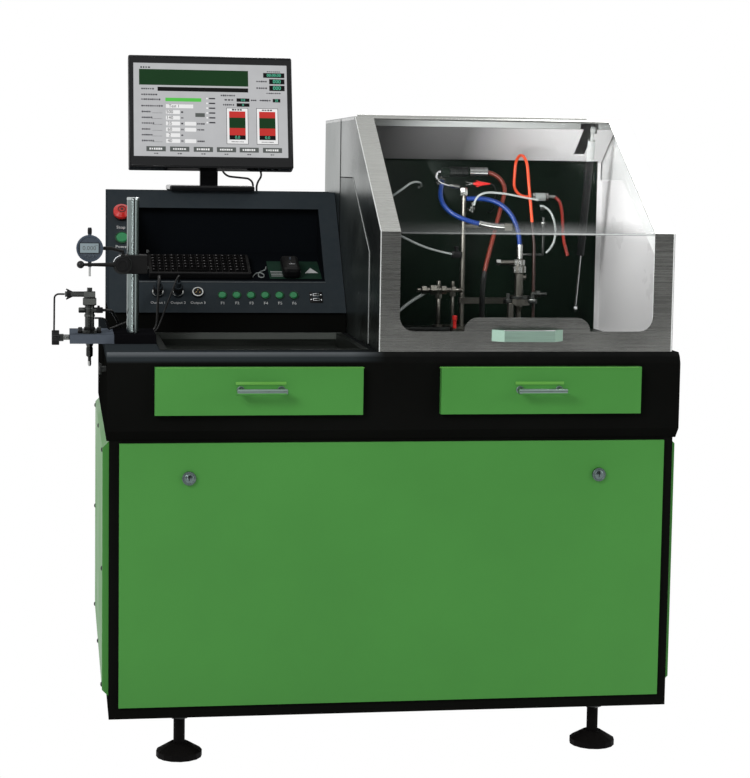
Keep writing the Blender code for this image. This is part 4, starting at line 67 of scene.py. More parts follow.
deselect()
print("the desk's front left corner is at", [round(c, 3) for c in at(-0.6, 0, 0.854)])

# %% [markdown]
# ## The camera
# The photograph was taken from a little above the worktop, from the left of the middle, with a
# long lens. A long lens keeps the cabinet's edges almost parallel, and a small shift keeps the
# uprights upright, as an architect's camera does.

# %% Camera
EYE = at(-0.696, -3.829, 1.234)
YAW, PITCH, ROLL = (math.radians(a) for a in (-8.17, -5.19, 0.77))
PICTURE = (750, 778)
FOCAL_PIXELS = 1897
SENSOR = 36
OPTICAL_CENTRE = (330, 339)

bpy.ops.object.camera_add(location=EYE)
camera = bpy.context.object
level = Matrix.Rotation(YAW, 4, "Z") @ Matrix.Rotation(math.radians(90) + PITCH, 4, "X")
camera.rotation_euler = (level @ Matrix.Rotation(ROLL, 4, "Z")).to_euler()
camera.data.sensor_width = SENSOR
camera.data.lens = FOCAL_PIXELS * SENSOR / max(PICTURE)
camera.data.shift_x = (PICTURE[0] / 2 - OPTICAL_CENTRE[0]) / max(PICTURE)
camera.data.shift_y = (OPTICAL_CENTRE[1] - PICTURE[1] / 2) / max(PICTURE)
camera.data.clip_end = 100
bpy.context.scene.camera = camera
print("lens", round(camera.data.lens, 1), "mm")

# %% [markdown]
# ## The studio
# A catalogue picture stands on a pale floor in even light. The world is white to the camera, to
# metal and to glass, and gives only a part of the light, so that the lamps can model the shapes.
# A dark curtain behind the camera gives steel something to reflect besides white.

# %% World and floor
WORLD_LIGHT = 0.33
FLOOR_GLOW = 1.0
FLOOR_TONE = 0.86
FLOOR_SIZE = 60


def seen_directly(tree):
    """One where a camera, glossy or transmission ray looks, and nought elsewhere."""
    path = tree.nodes.new("ShaderNodeLightPath")
    first = tree.nodes.new("ShaderNodeMath")
    second = tree.nodes.new("ShaderNodeMath")
    for node in (first, second):
        node.operation = "MAXIMUM"
    tree.links.new(path.outputs["Is Camera Ray"], first.inputs[0])
    tree.links.new(path.outputs["Is Glossy Ray"], first.inputs[1])
    tree.links.new(first.outputs[0], second.inputs[0])
    tree.links.new(path.outputs["Is Transmission Ray"], second.inputs[1])
    return second.outputs[0]


world = bpy.data.worlds.new("studio")
bpy.context.scene.world = world
world.use_nodes = True
sky = world.node_tree
light_level = sky.nodes.new("ShaderNodeMix")
light_level.inputs["A"].default_value = WORLD_LIGHT
light_level.inputs["B"].default_value = 1
sky.links.new(seen_directly(sky), light_level.inputs["Factor"])
background = sky.nodes["Background"]
background.inputs["Color"].default_value = (1, 1, 1, 1)
sky.links.new(light_level.outputs["Result"], background.inputs["Strength"])
bpy.context.scene.view_settings.view_transform = "Standard"

bpy.ops.mesh.primitive_plane_add(size=FLOOR_SIZE)
floor = bpy.context.object
floor.name = "floor"
floor_look = bpy.data.materials.new("studio floor")
floor_look.use_nodes = True
tree = floor_look.node_tree
paper = tree.nodes["Principled BSDF"]
paper.inputs["Base Color"].default_value = (FLOOR_TONE, FLOOR_TONE, FLOOR_TONE, 1)
paper.inputs["Roughness"].default_value = 0.9
glow = tree.nodes.new("ShaderNodeEmission")
share = tree.nodes.new("ShaderNodeMath")
share.operation = "MULTIPLY"
share.inputs[1].default_value = FLOOR_GLOW
tree.links.new(seen_directly(tree), share.inputs[0])
blend = tree.nodes.new("ShaderNodeMixShader")
tree.links.new(share.outputs[0], blend.inputs["Fac"])
tree.links.new(paper.outputs["BSDF"], blend.inputs[1])
tree.links.new(glow.outputs["Emission"], blend.inputs[2])
tree.links.new(blend.outputs["Shader"], tree.nodes["Material Output"].inputs["Surface"])
floor.data.materials.append(floor_look)

# %% Lamps and curtain
# Each softbox: name, place, the point it looks at, its size and its power in watts
SOFTBOXES = [
    ("key_left", (-3.0, -3.6, 3.2), (0, 0, 0.7), (2.2, 1.6), 102),
    ("fill_right", (3.4, -2.6, 2.0), (0, 0, 0.8), (1.6, 2.0), 26),
    ("top_right", (1.85, 1.15, 3.6), (0.6, 0, 0.9), (1.2, 1.2), 62),
    ("chamber", (0.16, -0.22, 1.18), (0.66, -0.1, 1.16), (0.12, 0.24), 1.9),
    ("ceiling", (0.38, -0.17, 1.06), (0.56, 0.1, 1.33), (0.1, 0.1), 0.22),
    ("strip", (-1.35, -4.9, 1.2), (-0.5, 0, 1.0), (0.16, 2.4), 16),
    ("rim_back", (1.0, 3.6, 2.6), (0, 0, 0.9), (2.0, 1.4), 36),
]
for name, place, target, size, power in SOFTBOXES:
    bpy.ops.object.light_add(type="AREA", location=place)
    lamp = bpy.context.object
    lamp.name = name
    lamp.data.shape = "RECTANGLE"
    lamp.data.size, lamp.data.size_y = size
    lamp.data.energy = power
    lamp.visible_camera = False
    aim = Vector(target) - Vector(place)
    lamp.rotation_euler = aim.to_track_quat("-Z", "Y").to_euler()

CURTAIN_PLACE, CURTAIN_SIZE, CURTAIN_TONE = (-0.3, -5.6, 1.5), (7, 3, 1), 0.04
bpy.ops.mesh.primitive_plane_add(size=1, location=CURTAIN_PLACE, rotation=(math.radians(90), 0, 0))
curtain = bpy.context.object
curtain.name = "curtain"
curtain.scale = CURTAIN_SIZE
curtain.visible_camera = False
cloth_look = bpy.data.materials.new("curtain cloth")
cloth_look.use_nodes = True
cloth = cloth_look.node_tree.nodes["Principled BSDF"]
cloth.inputs["Base Color"].default_value = (CURTAIN_TONE, CURTAIN_TONE, CURTAIN_TONE, 1)
cloth.inputs["Roughness"].default_value = 1
curtain.data.materials.append(cloth_look)
print(len(SOFTBOXES), "softboxes and one curtain")

# %% [markdown]
# ## Shared effects
# Powder coat, brushed steel and moulded plastic each have their own way of not being perfect.
# Three node groups hold those ways: a grain with patches for paint and plastic, brushed lines
# for steel, and a little dust that settles where a face looks up. Each material places the
# groups that it needs, with its own values, and keeps its shader to itself.

# %% Node group helpers
FLOAT, COLOUR, VECTOR = "NodeSocketFloat", "NodeSocketColor", "NodeSocketVector"
MIX_FACTOR, MIX_A, MIX_B, MIX_RESULT = 0, 6, 7, 2


def add(tree, kind, feeds, **settings):
    """A shader node with its settings, and each socket set to a value or linked to an output."""
    node = tree.nodes.new("ShaderNode" + kind)
    for name, value in settings.items():
        setattr(node, name, value)
    for socket, value in feeds.items():
        if isinstance(value, bpy.types.NodeSocket):
            tree.links.new(value, node.inputs[socket])
        else:
            node.inputs[socket].default_value = value
    return node


def new_group(name, inputs, outputs):
    group = bpy.data.node_groups.new(name, "ShaderNodeTree")
    for label, kind, value in inputs:
        socket = group.interface.new_socket(label, in_out="INPUT", socket_type=kind)
        socket.default_value = value
    for label, kind in outputs:
        group.interface.new_socket(label, in_out="OUTPUT", socket_type=kind)
    return group, group.nodes.new("NodeGroupInput").outputs, group.nodes.new("NodeGroupOutput").inputs


def calc(tree, operation, first, second, **settings):
    return add(tree, "Math", {0: first, 1: second}, operation=operation, **settings).outputs[0]


def product(tree, first, *others):
    for other in others:
        first = calc(tree, "MULTIPLY", first, other)
    return first


def mapped(tree, value, low, high, start=0.0, end=1.0):
    """From low to high as the value goes from start to end."""
    feeds = {"Value": value, "From Min": start, "From Max": end, "To Min": low, "To Max": high}
    return add(tree, "MapRange", feeds).outputs[0]


def scaled(tree, colour, factor):
    """A colour made darker or lighter by a factor."""
    node = add(tree, "VectorMath", {0: colour}, operation="SCALE")
    tree.links.new(factor, node.inputs["Scale"])
    return node.outputs[0]


def mixed_colour(tree, factor, first, second):
    feeds = {MIX_FACTOR: factor, MIX_A: first, MIX_B: second}
    return add(tree, "Mix", feeds, data_type="RGBA").outputs[MIX_RESULT]


def object_place(tree):
    """Where a spot lies on its piece, so that an effect moves with the piece."""
    return add(tree, "TexCoord", {}).outputs["Object"]


def object_parts(tree):
    return add(tree, "SeparateXYZ", {0: object_place(tree)}).outputs


def noise(tree, place, scale, detail=2.0, roughness=0.5):
    feeds = {"Vector": place, "Scale": scale, "Detail": detail, "Roughness": roughness}
    return add(tree, "TexNoise", feeds).outputs[0]


print("node helpers ready")

# %% Grain, brushed lines and dust
WHITE = (1, 1, 1, 1)
DUST_TONE = (0.24, 0.22, 0.19, 1)


def vary(group, taken, given, tone_swing, rough_swing):
    """Let the tone and the roughness swing about their own values, each by its spread."""
    tone = calc(group, "ADD", product(group, tone_swing, taken["Tone spread"]), 1.0)
    group.links.new(scaled(group, taken["Colour"], tone), given["Colour"])
    rubbed = product(group, rough_swing, taken["Roughness spread"])
    group.links.new(calc(group, "ADD", taken["Roughness"], rubbed, use_clamp=True), given["Roughness"])


grain, taken, given = new_group("paint grain", [
    ("Colour", COLOUR, WHITE), ("Tone spread", FLOAT, 0.1), ("Patches", FLOAT, 3.0),
    ("Grain", FLOAT, 900.0), ("Roughness", FLOAT, 0.4), ("Roughness spread", FLOAT, 0.08),
], [("Colour", COLOUR), ("Roughness", FLOAT), ("Height", FLOAT)])
place = object_place(grain)
patch = noise(grain, place, taken["Patches"], 5.0, 0.6)
vary(grain, taken, given, mapped(grain, patch, -1, 1, 0.3, 0.7), mapped(grain, patch, -1, 1, 0.35, 0.65))
grain.links.new(noise(grain, place, taken["Grain"]), given["Height"])

brush, taken, given = new_group("brushed lines", [
    ("Colour", COLOUR, WHITE), ("Line stretch", VECTOR, (8.0, 900.0, 900.0)),
    ("Tone spread", FLOAT, 0.12), ("Roughness", FLOAT, 0.3), ("Roughness spread", FLOAT, 0.1),
], [("Colour", COLOUR), ("Roughness", FLOAT), ("Height", FLOAT)])
place = object_place(brush)
stretched = add(brush, "VectorMath", {0: place, 1: taken["Line stretch"]}, operation="MULTIPLY").outputs[0]
lines = noise(brush, stretched, 1.0, 3.0, 0.7)
clouds = noise(brush, place, 4.0, 4.0)
swing = calc(brush, "ADD", mapped(brush, lines, -0.7, 0.7, 0.3, 0.7),
             mapped(brush, clouds, -0.5, 0.5, 0.3, 0.7))
vary(brush, taken, given, swing, swing)
brush.links.new(lines, given["Height"])

dust, taken, given = new_group("settled dust", [
    ("Colour", COLOUR, WHITE), ("Amount", FLOAT, 0.2), ("Spots", FLOAT, 45.0),
], [("Colour", COLOUR), ("Dusty", FLOAT)])
facing = add(dust, "SeparateXYZ", {0: add(dust, "NewGeometry", {}).outputs["Normal"]}).outputs["Z"]
spots = noise(dust, object_place(dust), taken["Spots"], 6.0, 0.7)
cover = product(dust, mapped(dust, facing, 0, 1, 0.25, 0.95), mapped(dust, spots, 0.15, 1, 0.35, 0.72),
                taken["Amount"])
dust.links.new(mixed_colour(dust, cover, taken["Colour"], DUST_TONE), given["Colour"])
dust.links.new(cover, given["Dusty"])
print("node groups:", [g.name for g in bpy.data.node_groups])

# %% [markdown]
# ## The finishes
# A material here is its shader with one or two of the groups before it. The numbers that are
# the same all over, such as metallic, roughness and specular level, sit on the shader's own
# sockets. A place that was painted another colour, or that carries painted light or shade, is
# mixed in with a mask.

# %% Finish makers
PAINT_BUMP = 0.00003
BRUSH_BUMP = 0.00002
ROUGHNESS_SPREAD = 0.08


def shader_of(name, **settings):
    """A new material with its node tree and its shader, whose sockets take the settings."""
    look = bpy.data.materials.new(name)
    look.use_nodes = True
    shader = look.node_tree.nodes["Principled BSDF"]
    for socket, value in settings.items():
        shader.inputs[socket.replace("_", " ")].default_value = value
    return look, look.node_tree, shader


def bumped(tree, shader, height, strength, distance):
    bump = add(tree, "Bump", {"Height": height, "Strength": strength, "Distance": distance})
    tree.links.new(bump.outputs["Normal"], shader.inputs["Normal"])


def coated(name, colour, roughness=0.42, specular=0.3, spread=0.07, dusty=0.12, grain_scale=700.0, bump=0.25):
    """Powder coat or moulded plastic: patches, a fine grain and some dust on what looks up."""
    look, tree, shader = shader_of(name, Specular_IOR_Level=specular)
    made = add(tree, "Group", {"Colour": (*colour, 1), "Tone spread": spread, "Grain": grain_scale,
                               "Roughness": roughness, "Roughness spread": ROUGHNESS_SPREAD},
               node_tree=grain).outputs
    settled = add(tree, "Group", {"Colour": made["Colour"], "Amount": dusty}, node_tree=dust).outputs
    tree.links.new(settled["Colour"], shader.inputs["Base Color"])
    rough = calc(tree, "ADD", made["Roughness"], settled["Dusty"], use_clamp=True)
    tree.links.new(rough, shader.inputs["Roughness"])
    bumped(tree, shader, made["Height"], bump, PAINT_BUMP)
    return look


def brushed(name, colour, roughness=0.3, stretch=(8.0, 900.0, 900.0), spread=0.12, bump=0.35):
    """Brushed sheet steel: long lines one way, with clouds of tone across them."""
    look, tree, shader = shader_of(name, Metallic=1.0)
    made = add(tree, "Group", {"Colour": (*colour, 1), "Line stretch": stretch, "Tone spread": spread,
                               "Roughness": roughness, "Roughness spread": ROUGHNESS_SPREAD},
               node_tree=brush).outputs
    tree.links.new(made["Colour"], shader.inputs["Base Color"])
    tree.links.new(made["Roughness"], shader.inputs["Roughness"])
    bumped(tree, shader, made["Height"], bump, BRUSH_BUMP)
    return look


def repaint(look, mask, colour, metallic=None):
    """Change the colour where the mask is one, and how metallic it is there."""
    tree = look.node_tree
    shader = tree.nodes["Principled BSDF"]
    before = shader.inputs["Base Color"].links[0].from_socket
    tree.links.new(mixed_colour(tree, mask, before, colour), shader.inputs["Base Color"])
    if metallic is not None:
        socket = shader.inputs["Metallic"]
        was = socket.links[0].from_socket if socket.links else socket.default_value
        change = add(tree, "Mix", {"Factor": mask, "A": was, "B": metallic})
        tree.links.new(change.outputs["Result"], socket)


print("finish makers ready")

# %% The finishes themselves
GREEN_PAINT = coated("green powder coat", (0.071, 0.288, 0.054), 0.42, 0.2, 0.05, 0.03)
DARK_PAINT = coated("dark powder coat", (0.0062, 0.0064, 0.0058), 0.6, 0.0, 0.15, 0.03)
BLACK_PAINT = coated("black powder coat", (0.0045, 0.0045, 0.0045), 0.4, 0.14, 0.15, 0.04)
BLACK_PLASTIC = coated("black plastic", (0.0055, 0.0055, 0.006), 0.38, 0.14, 0.1, 0.05, 1500.0)
GLOSS_BLACK = coated("gloss black plastic", (0.0085, 0.009, 0.01), 0.16, 0.22, 0.05, 0.04, 300.0, bump=0.05)
KEY_PLASTIC = coated("key cap plastic", (0.0035, 0.0035, 0.0038), 0.5, 0.0, 0.12, 0.02, 2500.0)
RUBBER = coated("black rubber", (0.0026, 0.0022, 0.0022), 0.65, 0.06, 0.2, 0.02, 800.0)
CABLE_SHEATH = coated("cable sheath", (0.006, 0.006, 0.006), 0.45, 0.3, 0.1, 0.03, 900.0)
BUTTON_SKIRT = coated("dark green plastic", (0.003, 0.045, 0.015), 0.3, 0.4, 0.05, 0.02, 900.0)
RED_PLASTIC = coated("red button plastic", (0.62, 0.022, 0.018), 0.28, 0.45, 0.05, 0.05, 900.0)
GREEN_PLASTIC = coated("green button plastic", (0.01, 0.22, 0.07), 0.25, 0.45, 0.05, 0.04, 900.0)
LABEL_INK = coated("white label ink", (0.62, 0.63, 0.63), 0.55, 0.3, 0.1, 0.0, 2500.0)
# Painted highlight for the lip of the console's recess
LIP_HIGHLIGHT_GREY = coated("painted grey highlight", (0.105, 0.115, 0.12), 0.4, 0.3, 0.15, 0.0, 1200.0)
DARK_MARK = coated("dark button print", (0.06, 0.02, 0.018), 0.45, 0.3, 0.05, 0.0, 1200.0)
DIAL_BLUE = coated("dial bezel plastic", (0.05, 0.07, 0.1), 0.3, 0.35, 0.06, 0.04, 900.0)
KEY_PRINT = coated("key print", (0.13, 0.125, 0.125), 0.5, 0.3, 0.5, 0.0, 2500.0)
PAD_GREEN = coated("mouse pad cloth", (0.006, 0.03, 0.018), 0.7, 0.1, 0.25, 0.05, 3000.0)
LIME_HIGHLIGHT = coated("painted lime highlight", (0.15, 0.45, 0.075), 0.35, 0.3, 0.05, 0.0)
RED_TUBE = coated("red tubing", (0.26, 0.022, 0.013), 0.3, 0.45, 0.08, 0.02, 900.0)
GREY_PLASTIC = coated("dial grey plastic", (0.045, 0.06, 0.08), 0.35, 0.35, 0.08, 0.08, 900.0)
TANK_PLASTIC = coated("tank plastic", (0.42, 0.43, 0.4), 0.45, 0.35, 0.08, 0.15, 400.0)
PALE_HIGHLIGHT_PAINT = coated("pale paint for painted highlights", (0.52, 0.54, 0.53), 0.45, 0.3, 0.05, 0.05)
BLUE_HOSE = coated("blue hose rubber", (0.006, 0.036, 0.2), 0.32, 0.4, 0.08, 0.03, 900.0)
BROWN_HOSE = coated("brown hose rubber", (0.15, 0.022, 0.012), 0.35, 0.35, 0.1, 0.03, 900.0)
ORANGE_HOSE = coated("orange hose rubber", (0.78, 0.075, 0.02), 0.3, 0.45, 0.06, 0.03, 900.0)
HOOD_STEEL = brushed("hood steel", (0.35, 0.355, 0.337), 0.27, (6.0, 900.0, 900.0), 0.012, bump=0.01)
TRAY_STEEL = brushed("tray steel", (0.03, 0.034, 0.03), 0.4, (7.0, 500.0, 500.0), 0.25)
POST_STEEL = brushed("ground steel", (0.46, 0.5, 0.5), 0.22, (700.0, 700.0, 12.0), 0.1)
FITTING_STEEL = brushed("turned steel", (0.42, 0.43, 0.42), 0.24, (400.0, 400.0, 900.0), 0.15)
DARK_STEEL = brushed("blackened steel", (0.035, 0.037, 0.036), 0.34, (300.0, 300.0, 700.0), 0.25)
CHROME = brushed("chrome plate", (0.72, 0.73, 0.74), 0.09, (60.0, 60.0, 60.0), 0.04, bump=0.05)
HANDLE_ALLOY = brushed("handle alloy", (0.45, 0.65, 0.54), 0.36, (9.0, 700.0, 700.0), 0.1)
BRIGHT_STEEL = brushed("bright plated steel", (0.42, 0.43, 0.41), 0.2, (300.0, 300.0, 300.0), 0.12)
JIG_STEEL = brushed("dark injector steel", (0.055, 0.058, 0.056), 0.26, (300.0, 300.0, 700.0), 0.2, bump=0.1)
NUT_STEEL = brushed("zinc plated nuts", (0.085, 0.09, 0.085), 0.32, (200.0, 200.0, 400.0), 0.15, bump=0.1)
DULL_STEEL = brushed("dull turned steel", (0.16, 0.155, 0.135), 0.36, (400.0, 400.0, 900.0), 0.25)
PULL_STEEL = brushed("pull bar steel", (0.2, 0.27, 0.24), 0.34, (60.0, 700.0, 700.0), 0.12)
LOCK_STEEL = brushed("lock steel", (0.13, 0.17, 0.165), 0.24, (200.0, 200.0, 200.0), 0.3, bump=0.2)
SATIN_STEEL = brushed("satin steel", (0.62, 0.64, 0.66), 0.55, (300.0, 300.0, 300.0), 0.08)
BRASS = brushed("turned brass", (0.52, 0.36, 0.13), 0.26, (300.0, 300.0, 700.0), 0.12)
print(len(bpy.data.materials), "materials")

# %% [markdown]
# ## Clear parts and the lit screen
# The hood's pane is acrylic that was bent hot along one line, so it needs real thickness and a
# shader that lets light through. The screen gives its own light, so it takes an emission colour.

# %% Clear and lit finishes
PANE_ALPHA, GLARE_ALPHA = 0.03, 0.95
GLARE = (0.84, 0.87, 0.86, 1)
# The crease's bright line and the paler band above it are painted light: a painted highlight and a painted
# reflection
CREASE_HEIGHT, CREASE_LINE, CREASE_GLOW = 1.1005, 0.0032, 0.027
REFLECTION_FROM_X, REFLECTION_TO_X, REFLECTION_END_X = (at(x, 0, 0).x for x in (0.02, 0.36, 0.555))
REFLECTION_LEVEL, REFLECTION_LEFT_SHARE = 0.45, 0.34
SCREEN_LEVEL = 0.95


def see_through(name, tint, alpha, roughness=0.04, specular=0.35):
    """A clear sheet: mostly let through, with the surface's own gloss kept."""
    look, tree, shader = shader_of(name, Alpha=alpha, Specular_IOR_Level=specular)
    haze = noise(tree, object_place(tree), 9.0, 4.0)
    tree.links.new(scaled(tree, tint, mapped(tree, haze, 0.8, 1.2, 0.3, 0.7)), shader.inputs["Base Color"])
    tree.links.new(mapped(tree, haze, roughness, roughness + 0.04), shader.inputs["Roughness"])
    return look


def creased_pane():
    """Painted light where the pane was bent: a painted highlight along the bend, with a paler painted
    reflection above it.
    """
    look = see_through("clear acrylic", (0.03, 0.035, 0.033), PANE_ALPHA, specular=0.1)
    tree = look.node_tree
    parts = object_parts(tree)
    above = calc(tree, "SUBTRACT", parts["Z"], CREASE_HEIGHT)
    away = add(tree, "Math", {0: above}, operation="ABSOLUTE").outputs[0]
    line = mapped(tree, away, 1.0, 0.0, 0.0, CREASE_LINE)
    reflection = product(tree, mapped(tree, above, REFLECTION_LEVEL, 0.0, 0.0, CREASE_GLOW),
                   calc(tree, "GREATER_THAN", above, 0.0),
                   mapped(tree, parts["X"], 1.0, 0.0, REFLECTION_TO_X, REFLECTION_END_X))
    across = mapped(tree, parts["X"], REFLECTION_LEFT_SHARE, 1.0, REFLECTION_FROM_X, REFLECTION_TO_X)
    lightness = product(tree, calc(tree, "MAXIMUM", line, reflection), across)
    repaint(look, lightness, GLARE)
    alpha = tree.nodes["Principled BSDF"].inputs["Alpha"]
    tree.links.new(mapped(tree, lightness, PANE_ALPHA, GLARE_ALPHA), alpha)
    return look


def lit(name, colour, level=SCREEN_LEVEL):
    """A lit part of a display: the monitor's screen gives its own light, and on the dial the glow is painted
    light.
    """
    look, tree, shader = shader_of(name, Base_Color=(0.006, 0.006, 0.006, 1), Roughness=0.4,
                                   Specular_IOR_Level=0.04, Emission_Strength=level)
    tone = mapped(tree, noise(tree, object_place(tree), 30.0), 0.97, 1.03, 0.3, 0.7)
    tree.links.new(scaled(tree, colour, tone), shader.inputs["Emission Color"])
    return look


CLEAR_PANE = creased_pane()
CLEAR_TUBE = see_through("clear tubing", (0.55, 0.6, 0.58), 0.45, 0.1)
SCREEN_GREY = lit("screen grey", (0.5, 0.505, 0.515))
SCREEN_WHITE = lit("screen white", (0.86, 0.86, 0.86))
SCREEN_DARK_GREEN = lit("screen dark green", (0.0075, 0.04, 0.011))
SCREEN_GREEN = lit("screen green", (0.1, 0.55, 0.08))
SCREEN_RED = lit("screen red", (0.55, 0.035, 0.03))
SCREEN_BLACK = lit("screen black", (0.004, 0.004, 0.004))
SCREEN_SHADE = lit("screen shade", (0.1, 0.11, 0.105))
SCREEN_INK = lit("screen ink", (0.03, 0.028, 0.036))
SCREEN_MINT = lit("screen mint", (0.12, 0.62, 0.4))
# The dial's display is no lamp: its glow is painted light
LCD_PAINTED_GLOW = lit("dial display painted glow", (0.42, 0.52, 0.56), 0.55)
print("clear and lit finishes made")

# %% [markdown]
# ## Hoses, leads and cables
# The chamber's hoses carry test fluid at high pressure, so they are stiff and bend wide. The two
# test leads drive the injector that is clamped on the jig, and a thin return wire closes their
# circuit. The monitor hangs on a picture cable and a power cable. Each is one smooth curve, sent
# through given points, because a curve keeps a cord's length and roundness.

# %% Cords
# Each cord: finish, slot, stiffness, lay, diameter and length in metres, and its route in
# tenths of a millimetre
TENTH = 0.0001
CORDS = {
    "hose_brown": (
        BROWN_HOSE, "brown_rubber", "stiff", "hanging", 0.01, 0.4171, [
            (2753, 5050, 12260), (2870, 5050, 12260), (2984, 5028, 12241), (3103, 4989, 12185),
            (3196, 4940, 12099), (3256, 4886, 11989), (3276, 4830, 11866), (3255, 4780, 11741),
            (3180, 4693, 11516), (3105, 4607, 11292), (3029, 4520, 11068), (2954, 4434, 10844),
            (2879, 4347, 10620), (2803, 4261, 10396), (2728, 4174, 10172), (2647, 4081, 9840),
            (2620, 4050, 9488), (2620, 4050, 9229), (2620, 4050, 8969), (2620, 4050, 8709),
        ]),
    "hose_blue_front": (
        BLUE_HOSE, "blue_rubber", "stiff", "hanging", 0.011, 0.2684, [
            (1880, 5447, 12030), (1880, 5330, 12030), (1867, 5185, 12015), (1836, 5051, 11972),
            (1798, 4928, 11909), (1763, 4814, 11828), (1739, 4709, 11733), (1739, 4612, 11627),
            (1773, 4528, 11516), (1844, 4459, 11412), (1945, 4409, 11323), (2065, 4373, 11251),
            (2194, 4348, 11194), (2329, 4330, 11147), (2467, 4317, 11109), (2607, 4309, 11078),
            (2749, 4304, 11053), (2891, 4301, 11032), (3034, 4300, 11015), (3151, 4300, 11015),
        ]),
    "hose_blue_rear": (
        BLUE_HOSE, "blue_rubber", "stiff", "hanging", 0.011, 0.2165, [
            (2343, 4700, 11650), (2460, 4700, 11650), (2680, 4680, 11650), (2900, 4630, 11620),
            (3110, 4550, 11530), (3290, 4460, 11370), (3420, 4380, 11150), (3500, 4320, 10880),
            (3530, 4300, 10600), (3530, 4300, 10342),
        ]),
    "hose_orange": (
        ORANGE_HOSE, "orange_rubber", "medium", "hanging", 0.007, 0.5597, [
            (3997, 5200, 11700), (3880, 5200, 11700), (3791, 5197, 11716), (3704, 5193, 11761),
            (3637, 5190, 11832), (3595, 5187, 11920), (3583, 5185, 12017), (3590, 5182, 12190),
            (3598, 5180, 12362), (3604, 5164, 12455), (3614, 5121, 12538), (3627, 5055, 12603),
            (3642, 4972, 12645), (3658, 4881, 12660), (3678, 4765, 12646), (3695, 4677, 12603),
            (3712, 4605, 12537), (3726, 4555, 12452), (3737, 4532, 12356), (3758, 4510, 12116),
            (3778, 4488, 11876), (3799, 4466, 11636), (3820, 4443, 11396), (3841, 4421, 11156),
            (3862, 4399, 10916), (3883, 4377, 10676), (3888, 4371, 10600), (3890, 4367, 10523),
            (3890, 4358, 10264), (3890, 4348, 10005), (3890, 4338, 9746), (3890, 4329, 9486),
            (3890, 4319, 9227), (3890, 4310, 8968), (3890, 4310, 8709),
        ]),
    "test_lead_thick": (
        CABLE_SHEATH, "black_rubber", "limp", "loose", 0.006, 0.4304, [
            (-4730, 4575, 9700), (-4730, 4484, 9773), (-4731, 4401, 9826), (-4732, 4340, 9839),
            (-4735, 4278, 9832), (-4738, 4221, 9805), (-4742, 4175, 9763), (-4746, 4144, 9709),
            (-4749, 4132, 9647), (-4759, 4124, 9441), (-4769, 4116, 9236), (-4778, 4108, 9030),
            (-4788, 4100, 8824), (-4804, 4096, 8747), (-4842, 4091, 8678), (-4899, 4086, 8624),
            (-4969, 4081, 8589), (-5047, 4076, 8577), (-5292, 4063, 8577), (-5387, 4043, 8584),
            (-5471, 3998, 8605), (-5534, 3932, 8638), (-5570, 3852, 8678), (-5612, 3686, 8763),
            (-5654, 3520, 8848), (-5696, 3354, 8932), (-5709, 3299, 8957), (-5719, 3240, 8977),
            (-5753, 3003, 9045), (-5788, 2765, 9113), (-5822, 2527, 9181), (-5843, 2466, 9199),
            (-5886, 2415, 9213), (-5944, 2382, 9223), (-6030, 2370, 9226), (-6147, 2370, 9226),
        ]),
    "test_lead_thin": (
        CABLE_SHEATH, "black_rubber", "limp", "loose", 0.004, 0.4228, [
            (-4275, 4575, 9700), (-4275, 4484, 9773), (-4275, 4428, 9818), (-4278, 4385, 9842),
            (-4288, 4338, 9851), (-4303, 4291, 9845), (-4322, 4251, 9823), (-4341, 4222, 9789),
            (-4360, 4207, 9746), (-4438, 4175, 9546), (-4516, 4144, 9346), (-4593, 4112, 9147),
            (-4671, 4081, 8947), (-4749, 4049, 8747), (-4791, 4032, 8672), (-4851, 4009, 8613),
            (-4925, 3980, 8576), (-5006, 3949, 8563), (-5108, 3910, 8563), (-5187, 3873, 8574),
            (-5254, 3826, 8605), (-5303, 3774, 8654), (-5402, 3639, 8797), (-5440, 3583, 8840),
            (-5479, 3516, 8865), (-5515, 3444, 8869), (-5631, 3202, 8846), (-5747, 2960, 8823),
            (-5863, 2717, 8799), (-5890, 2656, 8804), (-5912, 2598, 8827), (-5926, 2547, 8868),
            (-5948, 2449, 8972), (-5963, 2418, 9005), (-5993, 2392, 9032), (-6034, 2376, 9050),
            (-6090, 2370, 9056), (-6207, 2370, 9056),
        ]),
    "return_wire": (
        CABLE_SHEATH, "black_rubber", "limp", "hanging", 0.004, 0.1406, [
            (-6833, 2370, 9566), (-6950, 2370, 9566), (-6988, 2372, 9562), (-7014, 2376, 9549),
            (-7035, 2382, 9529), (-7048, 2389, 9504), (-7053, 2397, 9476), (-7056, 2462, 9237),
            (-7058, 2527, 8998), (-7061, 2593, 8760), (-7056, 2602, 8729), (-7042, 2611, 8701),
            (-7019, 2619, 8679), (-6991, 2625, 8665), (-6959, 2630, 8660), (-6850, 2640, 8660),
            (-6733, 2640, 8660),
        ]),
    "monitor_cable": (
        CABLE_SHEATH, "black_rubber", "limp", "hanging", 0.005, 0.2272, [
            (-2320, 7537, 13516), (-2320, 7882, 13423), (-2280, 8130, 13180), (-2240, 8190, 12800),
            (-2130, 8150, 12400), (-2060, 8070, 12120), (-2145, 7980, 11950), (-2180, 7950, 11840),
            (-2180, 7950, 11723),
        ]),
    "monitor_power_cable": (
        CABLE_SHEATH, "black_rubber", "limp", "hanging", 0.005, 0.282, [
            (-3010, 7537, 13516), (-3010, 7882, 13423), (-3013, 8058, 13375), (-3014, 8114, 13350),
            (-3015, 8157, 13306), (-3016, 8184, 13251), (-3016, 8191, 13190), (-3018, 8177, 12973),
            (-3020, 8163, 12755), (-3021, 8149, 12537), (-3023, 8135, 12320), (-3013, 8127, 12245),
            (-2982, 8114, 12176), (-2933, 8096, 12120), (-2871, 8076, 12082), (-2800, 8054, 12064),
            (-2616, 8000, 12047), (-2432, 7946, 12030), (-2383, 7932, 12017), (-2339, 7919, 11990),
            (-2304, 7909, 11951), (-2283, 7902, 11903), (-2275, 7900, 11840), (-2275, 7900, 11723),
        ]),
}

CORD_STEP = 0.002
CORD_ROUNDNESS = 4


